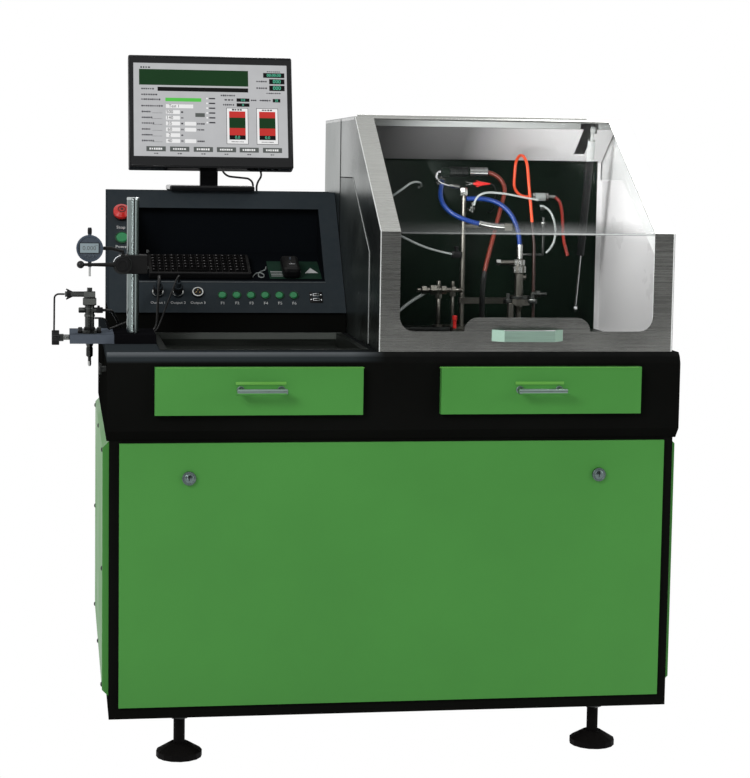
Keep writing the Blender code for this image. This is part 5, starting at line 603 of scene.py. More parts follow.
def smooth_route(points, spacing):
    """Points at an even spacing along a smooth curve through the given ones."""
    knots = [Vector(point) for point in points]
    knots = [2 * knots[0] - knots[1], *knots, 2 * knots[-1] - knots[-2]]
    route = [knots[1]]
    for i in range(1, len(knots) - 2):
        before, start, end, after = knots[i - 1:i + 3]
        count = max(1, round((end - start).length / spacing))
        for step in range(1, count + 1):
            t = step / count
            route.append(0.5 * (2 * start + (end - before) * t
                                + (2 * before - 5 * start + 4 * end - after) * t ** 2
                                + (3 * start - before - 3 * end + after) * t ** 3))
    return route


def round_curve(name, route, radius, roundness=CORD_ROUNDNESS):
    """A round cord or bar along a route."""
    curve = bpy.data.curves.new(name, "CURVE")
    curve.dimensions = "3D"
    curve.bevel_depth = radius
    curve.bevel_resolution = roundness
    curve.use_fill_caps = True
    spline = curve.splines.new("POLY")
    spline.points.add(len(route) - 1)
    for point, place in zip(spline.points, route):
        point.co = (*place, 1)
    piece = bpy.data.objects.new(name, curve)
    bpy.context.scene.collection.objects.link(piece)
    return piece


for node, (look, slot, stiffness, lay, diameter, length, points) in CORDS.items():
    route = smooth_route([at(*(TENTH * c for c in point)) for point in points], CORD_STEP)
    cord = round_curve(node + "_cord", route, diameter / 2)
    cord.data.materials.append(look)
    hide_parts(node)
    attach(cord, "bench")
    print(node, "is", length, "m long")

# %% [markdown]
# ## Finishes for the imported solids
# Every solid that stays in view gets its finish here. The chamber's walls are one folded shell,
# dark behind and pale at the side and above, so its finish changes with the place on the shell.

# %% Masks on a solid
FAR = 9.0


def inside(look, **limits):
    """One where each named coordinate is between its limits, in the maker's sizes, else nought."""
    tree = look.node_tree
    parts = object_parts(tree)
    mask = 1.0
    for axis, (low, high) in limits.items():
        shift = CABINET_ORIGIN["XYZ".index(axis)]
        mask = product(tree, mask, calc(tree, "GREATER_THAN", parts[axis], low + shift),
                       calc(tree, "LESS_THAN", parts[axis], high + shift))
    return mask


def ramp(look, axis, limits, low, high):
    """From low to high as one coordinate goes from its first limit to its second."""
    start, end = (limit + CABINET_ORIGIN["XYZ".index(axis)] for limit in limits)
    return mapped(look.node_tree, object_parts(look.node_tree)[axis], low, high, start, end)


def grey_of(look, shade):
    return add(look.node_tree, "CombineXYZ", {0: shade, 1: shade, 2: shade}).outputs[0]


print("masks ready")

# %% Chamber shell and hood
SIDE_STEEL = (0.136, 0.155, 0.147, 1)
CHAMBER_SIDE_X, CHAMBER_RIGHT_X, CEILING_Z = -0.04, 0.572, 1.255
CEILING_FADE_X, WALL_FADE_Z = (0.235, 0.475), (1.075, 1.125)
HOOD_SIDE_X, FOLD_X, FOLD_BACK_Y = -0.0415, (-0.0416, -0.0396), 0.388
INNER_SHEET_X = (0.5826, 0.5852)
ROOF_SHEET_Z, ROOF_FRONT_Y = (1.34, 1.3456), 0.3905


def chamber_finish():
    """Steel outside at the left, dark green behind, and pale at the right and above, with painted light
    making the ceiling lighter towards the right and the right wall lighter towards the top.
    """
    look = coated("chamber walls", (0.0026, 0.0078, 0.0042), 0.34, 0.06, 0.25, 0.03)
    # Painted light: the ceiling lightens towards the right, and the right wall towards the top
    ceiling = grey_of(look, ramp(look, "X", CEILING_FADE_X, 0.15, 0.95))
    repaint(look, inside(look, Z=(CEILING_Z, FAR)), ceiling)
    wall = grey_of(look, ramp(look, "Z", WALL_FADE_Z, 0.6, 0.96))
    repaint(look, inside(look, X=(CHAMBER_RIGHT_X, FAR)), wall)
    repaint(look, inside(look, X=(-FAR, CHAMBER_SIDE_X)), SIDE_STEEL, 1.0)
    return look


def finish_hood(look):
    """A darker side, a painted highlight along its fold, and painted light in pale grey inside at the right
    and above.
    """
    repaint(look, inside(look, X=(-FAR, HOOD_SIDE_X)), SIDE_STEEL)
    # Painted highlight along the fold, and painted light on the inner sheet and on the roof
    repaint(look, inside(look, X=FOLD_X, Y=(-FAR, FOLD_BACK_Y)), (0.8, 0.82, 0.8, 1), 0.0)
    repaint(look, inside(look, X=INNER_SHEET_X), (0.93, 0.95, 0.94, 1), 0.0)
    repaint(look, inside(look, Y=(ROOF_FRONT_Y, FAR), Z=ROOF_SHEET_Z), (0.8, 0.82, 0.81, 1), 0.0)


finish_hood(HOOD_STEEL)
print("places repainted on", HOOD_STEEL.name)

# %% Desk, tray and hose sleeve
# Where the desk's painted highlight fades out, going right
HIGHLIGHT_FADE_X = (-0.1, -0.03)
DESK_TOP_Z, DESK_EDGE_Z, DESK_FRONT_Y = (0.833, 0.839), (0.844, 0.851), 0.018
TRAY_BACK_Y, TRAY_RIM_Z, TRAY_FADE_X = 0.43, 0.842, (-0.43, -0.38)
SLEEVE_TOP_Z = 1.113


def desk_finish():
    """The desk is black, with a painted highlight on its top and a brighter painted highlight along the upper
    edge of its front, both fading out towards the right.
    """
    look = coated("desk powder coat", (0.0058, 0.006, 0.0055), 0.6, 0.0, 0.15, 0.03)
    tree = look.node_tree
    left = ramp(look, "X", HIGHLIGHT_FADE_X, 1.0, 0.03)
    repaint(look, product(tree, ramp(look, "Z", DESK_TOP_Z, 0.0, 1.0), left), (0.028, 0.034, 0.038, 1))
    edge = product(tree, ramp(look, "Z", DESK_EDGE_Z, 0.0, 1.0), left, inside(look, Y=(-FAR, DESK_FRONT_Y)))
    repaint(look, edge, (0.115, 0.126, 0.134, 1))
    return look


def finish_tray(look):
    """A painted highlight where the rim at the back of the tray catches the light."""
    back = inside(look, Y=(TRAY_BACK_Y, FAR), Z=(TRAY_RIM_Z, FAR))
    glint = product(look.node_tree, back, ramp(look, "X", TRAY_FADE_X, 0.4, 1.0))
    repaint(look, glint, (0.095, 0.105, 0.095, 1), 0.0)


finish_tray(TRAY_STEEL)
repaint(ORANGE_HOSE, inside(ORANGE_HOSE, Z=(-FAR, SLEEVE_TOP_Z)), (0.03, 0.012, 0.009, 1))
print("places repainted on", TRAY_STEEL.name, "and", ORANGE_HOSE.name)

# %% Console shell
RECESS_X, RECESS_BACK_Y, RECESS_TOP_Z = (-0.5205, -0.0855), 0.72, 1.14
FACE_SKIN = 0.0025
SLOPE = math.radians(51.5)
SLOPE_FOOT = (0.46, 0.9003)


def console_finish():
    """Grey outside, with painted shade: near black wherever the recess goes in behind the sloping face."""
    look = coated("console shell", (0.033, 0.042, 0.049), 0.48, 0.0, 0.08, 0.06, 1200.0, bump=0.5)
    tree = look.node_tree
    parts = object_parts(tree)
    foot = at(0, *SLOPE_FOOT)
    back = product(tree, calc(tree, "SUBTRACT", parts["Y"], foot.y), math.sin(SLOPE))
    raised = product(tree, calc(tree, "SUBTRACT", parts["Z"], foot.z), math.cos(SLOPE))
    behind = calc(tree, "GREATER_THAN", calc(tree, "SUBTRACT", back, raised), FACE_SKIN)
    recess = inside(look, X=RECESS_X, Y=(-FAR, RECESS_BACK_Y), Z=(-FAR, RECESS_TOP_Z))
    # Painted shade inside the recess
    repaint(look, product(tree, behind, recess), (0.0052, 0.0064, 0.008, 1))
    return look


print("the recess reaches back to", round(at(0, RECESS_BACK_Y, 0).y, 3))

# %% Jig plate, post and gas strut
PLATE_TOP_Z, BLACK_FROM_X = 0.874, -0.58
STRUT_PALE_FROM_Z = 1.254


def jig_finish():
    """The post is ground and bright, the plate is blue grey, and its inner half is painted black."""
    look = brushed("jig steel", (0.19, 0.225, 0.22), 0.19, (500.0, 500.0, 9.0), 0.05, bump=0.0)
    look.node_tree.nodes["Principled BSDF"].inputs["Specular IOR Level"].default_value = 0.0
    repaint(look, inside(look, Z=(-FAR, PLATE_TOP_Z)), (0.1, 0.118, 0.145, 1), 0.0)
    repaint(look, inside(look, X=(BLACK_FROM_X, FAR), Z=(-FAR, PLATE_TOP_Z)), (0.006, 0.006, 0.007, 1))
    return look


def strut_finish():
    """The cylinder is black, and pale above a set height."""
    look = coated("strut cylinder", (0.01, 0.011, 0.011), 0.35, 0.2, 0.05, 0.02)
    repaint(look, inside(look, Z=(STRUT_PALE_FROM_Z, FAR)), (0.62, 0.64, 0.63, 1))
    return look


print("jig and strut finishes ready")

# %% Give each solid its finish
FINISHES = {
    DARK_PAINT: ["base_frame", "back_panel", "console_plinth"],
    desk_finish(): ["worktop"],
    GREEN_PAINT: ["side_panel_left", "side_panel_right", "front_panel", "drawer_left", "drawer_right"],
    console_finish(): ["console_housing"],
    BLACK_PAINT: ["post_clamp", "clamp_lever"],
    JIG_STEEL: ["bench_injector"],
    DARK_STEEL: ["drive_motor", "jig_clamp_screw", "side_knob"],
    BLACK_PLASTIC: ["keyboard", "mouse"],
    GLOSS_BLACK: ["monitor_housing", "monitor_stand"],
    GREY_PLASTIC: ["dial_indicator"],
    RUBBER: ["foot_front_left", "foot_front_right", "foot_rear_left", "foot_rear_right"],
    RED_PLASTIC: ["estop_button"],
    GREEN_PLASTIC: ["power_button", *(f"function_button_{i}" for i in range(1, 7))],
    SCREEN_GREY: ["monitor_screen"],
    CLEAR_PANE: ["door_window"],
    HOOD_STEEL: ["hood_door", "hood_rear_housing"],
    TRAY_STEEL: ["drip_tray"],
    jig_finish(): ["jig_plate"],
    FITTING_STEEL: ["drive_coupling", "indicator_spindle", "high_pressure_pump"],
    DULL_STEEL: ["test_injector", "injector_stand"],
    strut_finish(): ["strut_cylinder"],
    CHROME: ["strut_rod"],
    LOCK_STEEL: ["panel_lock_left", "panel_lock_right"],
    HANDLE_ALLOY: ["door_handle"],
    TANK_PLASTIC: ["fuel_tank"],
    chamber_finish(): ["chamber_walls"],
}
for look, names in FINISHES.items():
    for name in names:
        solid = nodes[name]
        solid.data.materials.clear()
        solid.data.materials.append(look)
finished = {name for names in FINISHES.values() for name in names}
print("left without a finish:", sorted(set(nodes) - finished - set(CORDS)))

# %% [markdown]
# ## How the modelled pieces are made
# A detail starts as a cube, a disc or a word. A cube gets its edges bevelled. A disc is drawn
# out ring by ring, each ring extruded and resized, as a lathe hand would follow a drawing. The
# parts of one piece are joined, smoothed where they are round, given a finish, and told which
# body of the bench they ride on.

# %% Modelling helpers
SMOOTH = math.radians(35)
WIRE_STEP = 0.003


def edit_all():
    bpy.ops.object.mode_set(mode="EDIT")
    bpy.ops.mesh.select_all(action="SELECT")


def set_in_place(piece, spot, turn=(0, 0, 0)):
    """Turn and move a part that was made about the origin, and keep that as its shape."""
    deselect()
    piece.select_set(True)
    bpy.context.view_layer.objects.active = piece
    piece.rotation_euler = turn
    piece.location = spot
    bpy.ops.object.transform_apply(location=True, rotation=True, scale=True)
    return piece


def block(size, spot, turn=(0, 0, 0), bevel=0.0008, segments=2):
    """A box with softened edges."""
    deselect()
    bpy.ops.mesh.primitive_cube_add(size=1)
    piece = bpy.context.object
    piece.scale = size
    bpy.ops.object.transform_apply(location=False, rotation=False, scale=True)
    if bevel:
        edit_all()
        bpy.ops.mesh.bevel(offset=bevel, segments=segments, affect="EDGES")
    return set_in_place(piece, spot, turn)


def turned(rings, spot, turn=(0, 0, 0), sides=32):
    """A turned part: a disc drawn out along its axis, ring by ring, as radius and height."""
    deselect()
    radius, height = rings[0]
    bpy.ops.mesh.primitive_circle_add(vertices=sides, radius=radius, fill_type="NGON")
    piece = bpy.context.object
    piece.location.z = height
    bpy.ops.object.transform_apply(location=True)
    edit_all()
    for (old, low), (new, high) in zip(rings, rings[1:]):
        bpy.ops.mesh.extrude_region_move(TRANSFORM_OT_translate={"value": (0, 0, high - low)})
        if new != old:
            bpy.ops.transform.resize(value=(new / old, new / old, 1), center_override=(0, 0, high))
    bpy.ops.mesh.select_all(action="SELECT")
    bpy.ops.mesh.normals_make_consistent(inside=False)
    return set_in_place(piece, spot, turn)


def wire(points, radius, roundness=3):
    """A round bar or pipe along a smooth curve through the points, as a mesh."""
    deselect()
    piece = round_curve("wire", smooth_route(points, WIRE_STEP), radius, roundness)
    piece.select_set(True)
    bpy.context.view_layer.objects.active = piece
    bpy.ops.object.convert(target="MESH")
    edit_all()
    bpy.ops.mesh.remove_doubles(threshold=0.00001)
    bpy.ops.mesh.normals_make_consistent(inside=False)
    deselect()
    return piece


def words(text, height, spot, turn, depth=0.0003):
    """Raised printing, centred on its spot."""
    deselect()
    bpy.ops.object.text_add()
    piece = bpy.context.object
    piece.data.body = text
    piece.data.size = height
    piece.data.align_x = "CENTER"
    piece.data.align_y = "CENTER"
    piece.data.extrude = depth / 2
    piece.data.resolution_u = 3
    bpy.ops.object.convert(target="MESH")
    edit_all()
    bpy.ops.mesh.remove_doubles(threshold=0.000001)
    return set_in_place(piece, spot, turn)


def dress(name, parts, look, body="bench", angle=SMOOTH):
    """Join the parts to one piece, smooth it, and give it its finish and body."""
    deselect()
    for part in parts:
        part.select_set(True)
    piece = parts[0]
    bpy.context.view_layer.objects.active = piece
    if len(parts) > 1:
        bpy.ops.object.join()
    piece.data.materials.clear()
    piece.data.materials.append(look)
    if angle:
        bpy.ops.object.shade_smooth_by_angle(angle=angle)
    piece.name = name
    piece.data.name = name
    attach(piece, body)
    return piece


print("helpers ready")

# %% [markdown]
# ## The monitor
# The monitor leans back, so everything on it is placed along its own face: so far right, so far
# up, and so far out. Its picture is built like signage, in thin slabs of lit colour: a ground,
# a dark banner, rows of fields, and two gauges that go from red through green to red.

# %% Screen picture
MONITOR_CENTRE = (-0.337, 0.736, 1.3563)
MONITOR_TILT = math.radians(15)
SCREEN_SIZE = (0.367, 0.229)
SCREEN_LOW, SCREEN_FACE = -0.111, 0.0165
MONITOR_TURN = (math.radians(90) - MONITOR_TILT, 0, 0)
LAYER = 0.00025
SMALL_PRINT = 0.012


def on_monitor(right, up, out):
    x, y, z = MONITOR_CENTRE
    return at(x + right, y + up * math.sin(MONITOR_TILT) - out * math.cos(MONITOR_TILT),
              z + up * math.cos(MONITOR_TILT) + out * math.sin(MONITOR_TILT))


def on_screen(across, down, layer=1):
    """A spot of the screen, in shares of its width from the left and of its height from the top."""
    return on_monitor((across - 0.5) * SCREEN_SIZE[0], SCREEN_LOW + (1 - down) * SCREEN_SIZE[1],
                      SCREEN_FACE + layer * LAYER)


def slab(left, right, top, bottom, layer=1):
    size = ((right - left) * SCREEN_SIZE[0], (bottom - top) * SCREEN_SIZE[1], LAYER)
    return block(size, on_screen((left + right) / 2, (top + bottom) / 2, layer), MONITOR_TURN,
                 bevel=LAYER / 5, segments=1)


def row_of_marks(left, right, down, count, layer=1, height=0.018):
    """A line of small upright bars that reads as a line of small print."""
    step = (right - left) / count
    marks = []
    for i in range(count):
        wide = step * chance.uniform(0.55, 0.85)
        tall = height * chance.uniform(0.7, 1.0)
        marks.append(slab(left + i * step, left + i * step + wide, down - tall / 2, down + tall / 2, layer))
    return marks


def screen_words(text, height, across, down, layer=2.2):
    return words(text, height, on_screen(across, down, layer), MONITOR_TURN)


chance = random.Random(8)
FIELD_ROWS = [0.525, 0.587, 0.648, 0.712, 0.773, 0.835]
VALUES = ["500", "140", "35", "60", "2", "40"]
TWO_FIELD_ROWS = (2, 3, 5)
GAUGES = [0.612, 0.808]
BUTTONS = [0.08, 0.232, 0.385, 0.535, 0.683, 0.835]
BLACK_FIELDS = [(0.155, 0.745, 0.256, 0.3), (0.845, 0.985, 0.084, 0.136), (0.884, 0.985, 0.15, 0.205),
                (0.884, 0.985, 0.22, 0.278), (0.668, 0.752, 0.365, 0.402), (0.668, 0.752, 0.418, 0.455),
                (0.905, 0.955, 0.365, 0.402)]
# Each line of print: its left and right end, its height on the screen, and how many marks
PRINT = [(0.045, 0.11, 0.046, 4), (0.05, 0.135, 0.278, 6), (0.05, 0.155, 0.34, 7), (0.05, 0.175, 0.392, 9),
         (0.05, 0.19, 0.462, 10), (0.565, 0.662, 0.337, 7), (0.59, 0.655, 0.384, 3), (0.58, 0.655, 0.437, 6),
         (0.762, 0.8, 0.384, 3), (0.82, 0.895, 0.384, 5), (0.87, 0.96, 0.07, 7, 1, SMALL_PRINT),
         (0.8, 0.872, 0.178, 5), (0.8, 0.872, 0.25, 5), (0.865, 0.96, 0.305, 7, 1, SMALL_PRINT)]
FIGURES = [("00:00:00", 0.01, 0.915, 0.11), ("000", 0.013, 0.934, 0.178), ("000", 0.013, 0.934, 0.249),
           ("0.0", 0.008, 0.71, 0.384), ("0", 0.008, 0.71, 0.437), ("25", 0.008, 0.93, 0.384)]

banner = [slab(0.036, 0.746, 0.066, 0.236)]
lime = [slab(0.205, 0.438, 0.372, 0.41)]
black = [slab(*edges) for edges in BLACK_FIELDS]
white = [slab(0.208, 0.385, 0.442, 0.482)]
ink = [mark for line in PRINT for mark in row_of_marks(*line)]
grey, lit_marks, red, green, dark, figures = [], [], [], [], [], []
for row, down in enumerate(FIELD_ROWS):
    white.append(slab(0.208, 0.298, down - 0.02, down + 0.02))
    ink += row_of_marks(0.052, 0.11 + 0.012 * (row % 3), down, 5 + row % 3)
    ink += row_of_marks(0.12, 0.185, down + 0.012, 14, height=0.004)
    ink += row_of_marks(0.306, 0.322, down, 1 + row % 2)
    if row in TWO_FIELD_ROWS:
        white.append(slab(0.33, 0.402, down - 0.02, down + 0.02))
        ink += row_of_marks(0.41, 0.46, down, 4)
    top = 0.366 + row * 0.052
    ink.append(slab(0.488, 0.528, top, top + 0.014))
    white.append(slab(0.47, 0.48, top - 0.001, top + 0.015))
grey.append(slab(0.398, 0.46, 0.532, 0.574))
for left in GAUGES:
    ink.append(slab(left - 0.012, left + 0.13, 0.47, 0.86))
    white.append(slab(left - 0.009, left + 0.127, 0.475, 0.855, 2))
for left in BUTTONS:
    grey.append(slab(left, left + 0.125, 0.895, 0.948))
    lit_marks += row_of_marks(left + 0.02, left + 0.105, 0.921, 6, 2, height=0.022)
    ink += row_of_marks(left + 0.05, left + 0.078, 0.97, 2, height=SMALL_PRINT)
for left in GAUGES:
    sides = (left + 0.006, left + 0.112)
    ink += row_of_marks(left + 0.025, left + 0.095, 0.49, 4, 3)
    red += [slab(*sides, 0.507, 0.575, 3), slab(*sides, 0.687, 0.765, 3)]
    green.append(slab(*sides, 0.575, 0.687, 3))
    dark.append(slab(*sides, 0.765, 0.812, 3))
    figures.append(screen_words("0.0", 0.01, left + 0.059, 0.788, 4.2))
    ink += row_of_marks(left + 0.02, left + 0.1, 0.835, 9, 3, height=0.01)
figures += [screen_words(*figure) for figure in FIGURES]
ink += [screen_words(value, 0.011, 0.232, down) for value, down in zip(VALUES, FIELD_ROWS)]
ink.append(screen_words("Test 1", 0.01, 0.262, 0.462))
SCREEN_PIECES = {
    "screen_banner": (banner, SCREEN_DARK_GREEN),
    "screen_lime": (lime, SCREEN_GREEN),
    "screen_black": (black + dark, SCREEN_BLACK),
    "screen_white": (white, SCREEN_WHITE),
    "screen_ink": (ink, SCREEN_INK),
    "screen_grey_buttons": (grey, SCREEN_SHADE),
    "screen_button_print": (lit_marks, SCREEN_WHITE),
    "screen_red": (red, SCREEN_RED),
    "screen_green": (green, SCREEN_DARK_GREEN),
    "screen_figures": (figures, SCREEN_MINT),
}
for name, (parts, look) in SCREEN_PIECES.items():
    dress(name, parts, look, "display", None)
print(len(ink), "marks of small print on the screen")

# %% Monitor case
BEZEL_OUT = 0.018
CASE_HALF_WIDTH, CASE_HALF_HEIGHT = 0.192, 0.1335
lip = [block((0.385, 0.0035, 0.002), on_monitor(0, side * CASE_HALF_HEIGHT, BEZEL_OUT), MONITOR_TURN)
       for side in (1, -1)]
lip += [block((0.0035, 0.27, 0.002), on_monitor(side * CASE_HALF_WIDTH, 0, BEZEL_OUT), MONITOR_TURN)
        for side in (-1, 1)]
dress("monitor_lip", lip, GLOSS_BLACK, "display")
keys = [block((0.01, 0.0028, 0.005), on_monitor(0.09 + i * 0.016, -0.1385, 0.008), MONITOR_TURN)
        for i in range(5)]
dress("monitor_keys", keys, KEY_PLASTIC, "display")
vents = [block((0.13, 0.0022, 0.0012), on_monitor(0, 0.045 + i * 0.007, -0.0563), MONITOR_TURN, 0.0003)
         for i in range(7)]
dress("monitor_vents", vents, BLACK_PLASTIC, "display")
foot_rim = block((0.198, 0.166, 0.003), at(-0.337, 0.743, 1.1765), bevel=0.0014, segments=3)
dress("stand_rim", [foot_rim], CHROME)
print("monitor dressed")

# %% [markdown]
# ## The console
# The console's face leans back by about fifty degrees, so its buttons and sockets are set out by
# how far along the face they sit. Each button stands in a dark skirt that is partly painted shadow
# round its foot, each socket has a bright rim, and the print under them is a raised film of ink.

# %% Rings and the console's face
FACE_TURN = (SLOPE, 0, 0)


def on_face(x, along, lift=0.0):
    foot_y, foot_z = SLOPE_FOOT
    return at(x, foot_y + along * math.cos(SLOPE) - lift * math.sin(SLOPE),
              foot_z + along * math.sin(SLOPE) + lift * math.cos(SLOPE))


def tube_rings(inner, outer, low, high, soft=0.25):
    """The rings of a short tube with softened edges, for turned."""
    edge = min(outer - inner, high - low) * soft
    return [(inner, low), (outer - edge, low), (outer, low + edge), (outer, high - edge),
            (outer - edge, high), (inner + edge, high), (inner, high - edge), (inner, low + edge / 2)]


def open_turned(rings, spot, turn=(0, 0, 0), sides=36):
    """A turned ring: both discs are taken away, and the two open loops are bridged."""
    piece = turned(rings, (0, 0, 0), sides=sides)
    bpy.ops.object.mode_set(mode="EDIT")
    bpy.ops.mesh.select_mode(type="FACE")
    bpy.ops.mesh.select_all(action="DESELECT")
    bpy.ops.mesh.select_face_by_sides(number=4, type="GREATER")
    bpy.ops.mesh.delete(type="ONLY_FACE")
    bpy.ops.mesh.select_mode(type="EDGE")
    bpy.ops.mesh.select_non_manifold()
    bpy.ops.mesh.bridge_edge_loops()
    bpy.ops.mesh.select_all(action="SELECT")
    bpy.ops.mesh.normals_make_consistent(inside=False)
    return set_in_place(piece, spot, turn)


def ring(spot, inner, outer, low, high, turn=(0, 0, 0), sides=36):
    """A short tube, placed by its inner and outer radius and by its two ends on its own axis."""
    return open_turned(tube_rings(inner, outer, low, high), spot, turn, sides)


def circle_of(count, start=0.0):
    """Angles at even steps round a circle."""
    return [start + 2 * math.pi * i / count for i in range(count)]


# %% Buttons, sockets and print
SOCKET_X = [-0.473, -0.4275, -0.382]
BUTTON_X = [-0.3258 + i * 0.0329 for i in range(6)]
SOCKET_ALONG, SOCKET_TOP, PIN_CIRCLE = 0.053, 0.006, 0.005
USB_X, USB_ROWS = -0.11, (0.049, 0.036)
INK = 0.0002

# The dark skirts round the buttons are partly painted shadow at their foot
skirts = [ring(on_face(x, 0.048), 0.0092, 0.0112, 0.0, 0.003, FACE_TURN) for x in BUTTON_X]
skirts.append(ring(on_face(-0.551, 0.208), 0.0141, 0.0168, 0.0, 0.0034, FACE_TURN))
dress("button_skirts", skirts, BUTTON_SKIRT)
rims = [ring(on_face(x, SOCKET_ALONG), 0.0098, 0.0128, SOCKET_TOP, SOCKET_TOP + 0.0018, FACE_TURN)
        for x in SOCKET_X]
dress("socket_rims", rims, FITTING_STEEL)
grips = [ring(on_face(x, SOCKET_ALONG), 0.0097, 0.0112, low, low + 0.0026, FACE_TURN, 24)
         for x in SOCKET_X[:2] for low in (0.014, 0.019, 0.024)]
dress("plug_grips", grips, BLACK_PLASTIC)
throat = turned([(0.0096, SOCKET_TOP), (0.0096, SOCKET_TOP + 0.0004)], on_face(SOCKET_X[2], SOCKET_ALONG),
                FACE_TURN)
dress("open_socket", [throat], BLACK_PLASTIC)
pins = [turned([(0.0012, SOCKET_TOP), (0.0012, SOCKET_TOP + 0.003), (0.0007, SOCKET_TOP + 0.0034)],
               on_face(SOCKET_X[2] + PIN_CIRCLE * math.cos(a), SOCKET_ALONG + PIN_CIRCLE * math.sin(a)),
               FACE_TURN, 10) for a in circle_of(3, math.radians(90))]
dress("socket_pins", pins, BRASS)

labels = [(f"F{i + 1}", 0.0105, x, 0.0262) for i, x in enumerate(BUTTON_X)]
labels += [(f"Output {i + 1}", 0.0092, x, 0.027) for i, x in enumerate(SOCKET_X)]
labels += [("Stop", 0.0115, -0.5531, 0.2385), ("Power", 0.0115, -0.5517, 0.183)]
print_marks = [words(text, height, on_face(x, along, INK), FACE_TURN) for text, height, x, along in labels]
dress("console_print", print_marks, LABEL_INK, angle=None)

usb_plate = block((0.03, 0.03, 0.0012), on_face(USB_X, 0.0425, 0.0006), FACE_TURN, 0.0005)
usb_shells = [block((0.015, 0.0066, 0.0026), on_face(USB_X, along, 0.0013), FACE_TURN, 0.0006)
              for along in USB_ROWS]
usb_screws = [turned([(0.0019, 0.0), (0.0019, 0.002), (0.0012, 0.0026)],
                     on_face(USB_X + side * 0.0118, along), FACE_TURN, 14)
              for side in (-1, 1) for along in USB_ROWS]
usb_throats = [block((0.0126, 0.0046, 0.003), on_face(USB_X, along - 0.0002, 0.0014), FACE_TURN, 0.0004)
               for along in USB_ROWS]
dress("usb_plate", [usb_plate], BLACK_PLASTIC)
dress("usb_shells", usb_shells + usb_screws, CHROME)
dress("usb_throats", usb_throats, BLACK_PLASTIC)
# A painted highlight along the lower lip of the recess
lip = block((0.436, 0.0018, 0.0012), on_face(-0.303, 0.0846, 0.0005), FACE_TURN, 0.0004)
dress("recess_lip_highlight", [lip], LIP_HIGHLIGHT_GREY)
print(len(BUTTON_X), "button skirts and", len(SOCKET_X), "sockets")

# %% Stop button's collar and mark
STOP_SPOT = on_face(-0.551, 0.273)
MARK_LIFT = 0.0261
dress("stop_collar", [ring(STOP_SPOT, 0.0117, 0.017, 0.0, 0.0048, FACE_TURN)], BLACK_PLASTIC)
mark = [ring(STOP_SPOT, 0.0072, 0.0094, MARK_LIFT, MARK_LIFT + 0.0005, FACE_TURN),
        turned([(0.0036, MARK_LIFT), (0.0036, MARK_LIFT + 0.0005)], STOP_SPOT, FACE_TURN, 20)]
dress("stop_mark", mark, DARK_MARK, "estop")
print("stop button dressed")

# %% [markdown]
# ## Keyboard, mouse and pad
# The keyboard lies in the console's recess on its own slope. Its caps are the detail that tells
# it is a keyboard at all: rows of small bevelled blocks, with a long bar in the last row.

# %% Keyboard caps
FLOOR_SLOPE = math.radians(22)
FLOOR_TURN = (FLOOR_SLOPE, 0, 0)
KEYBOARD_CORNER = (-0.489, 0.5213, 0.9884)
KEY_COLUMNS, KEY_ROWS, KEY_PITCH, ROW_PITCH = 15, 6, 0.0148, 0.0152
KEY_SIZE, FIRST_KEY = (0.0128, 0.013, 0.0022), (0.0115, 0.011)
SPACE_COLUMNS = range(4, 9)


def on_slope(start, right, along, lift):
    """A spot on a surface that rises at the recess floor's angle from its near left corner."""
    x, y, z = start
    return at(x + right, y + along * math.cos(FLOOR_SLOPE) - lift * math.sin(FLOOR_SLOPE),
              z + along * math.sin(FLOOR_SLOPE) + lift * math.cos(FLOOR_SLOPE))


def key_cap(right, along, extra=0.0):
    width, depth, height = KEY_SIZE
    spot = on_slope(KEYBOARD_CORNER, right, along, 0.001)
    return block((width + extra, depth, height), spot, FLOOR_TURN, 0.0006, 1)


caps, legends = [], []
for row in range(KEY_ROWS):
    for column in range(KEY_COLUMNS):
        if row == 0 and column in SPACE_COLUMNS:
            continue
        right, along = FIRST_KEY[0] + column * KEY_PITCH, FIRST_KEY[1] + row * ROW_PITCH
        caps.append(key_cap(right, along))
        legends.append(block((chance.uniform(0.0018, 0.0042), 0.0026, 0.0003),
                             on_slope(KEYBOARD_CORNER, right - 0.003, along + 0.0025, 0.0022), FLOOR_TURN, 0))
caps.append(key_cap(FIRST_KEY[0] + 6 * KEY_PITCH, FIRST_KEY[1], 4 * KEY_PITCH))
dress("keyboard_caps", caps, KEY_PLASTIC)
dress("keyboard_legends", legends, KEY_PRINT, angle=None)
print(len(caps), "key caps")

# %% Mouse, pad and an offcut of tube
MOUSE_CORNER = (-0.162, 0.5224, 1.0017)
wheel = turned([(0.004, -0.002), (0.005, -0.0014), (0.005, 0.0014), (0.004, 0.002)],
               on_slope(MOUSE_CORNER, 0, 0.047, -0.0016), (0, math.radians(90), 0), 24)
dress("mouse_wheel", [wheel], GREY_PLASTIC)
# Both chrome strips are painted highlights: one across the mouse, and one along the split between its buttons
mouse_glints = [block((0.016, 0.0014, 0.0008), on_slope(MOUSE_CORNER, 0.002, 0.017, 0.0002), FLOOR_TURN, 0.0003),
        block((0.0006, 0.022, 0.0008), on_slope(MOUSE_CORNER, 0, 0.029, 0.0001), FLOOR_TURN, 0.0002)]
dress("mouse_highlights", mouse_glints, CHROME)
FLOOR_CORNER = (0, 0.5135, 0.9676)
pad = block((0.1216, 0.0951, 0.0008), on_slope(FLOOR_CORNER, -0.1517, 0.064, 0.0004), FLOOR_TURN, 0.0003)
dress("mouse_pad", [pad], PAD_GREEN)
pad_print = [turned([(0.018, 0.0), (0.018, 0.0004)], on_slope(FLOOR_CORNER, -0.112, 0.056, 0.0008),
                    FLOOR_TURN, 3)]
pad_print += [block((0.03, 0.0016, 0.0004), on_slope(FLOOR_CORNER, -0.193, along, 0.001), FLOOR_TURN,
                    0.0001, 1) for along in (0.03, 0.038, 0.046, 0.054)]
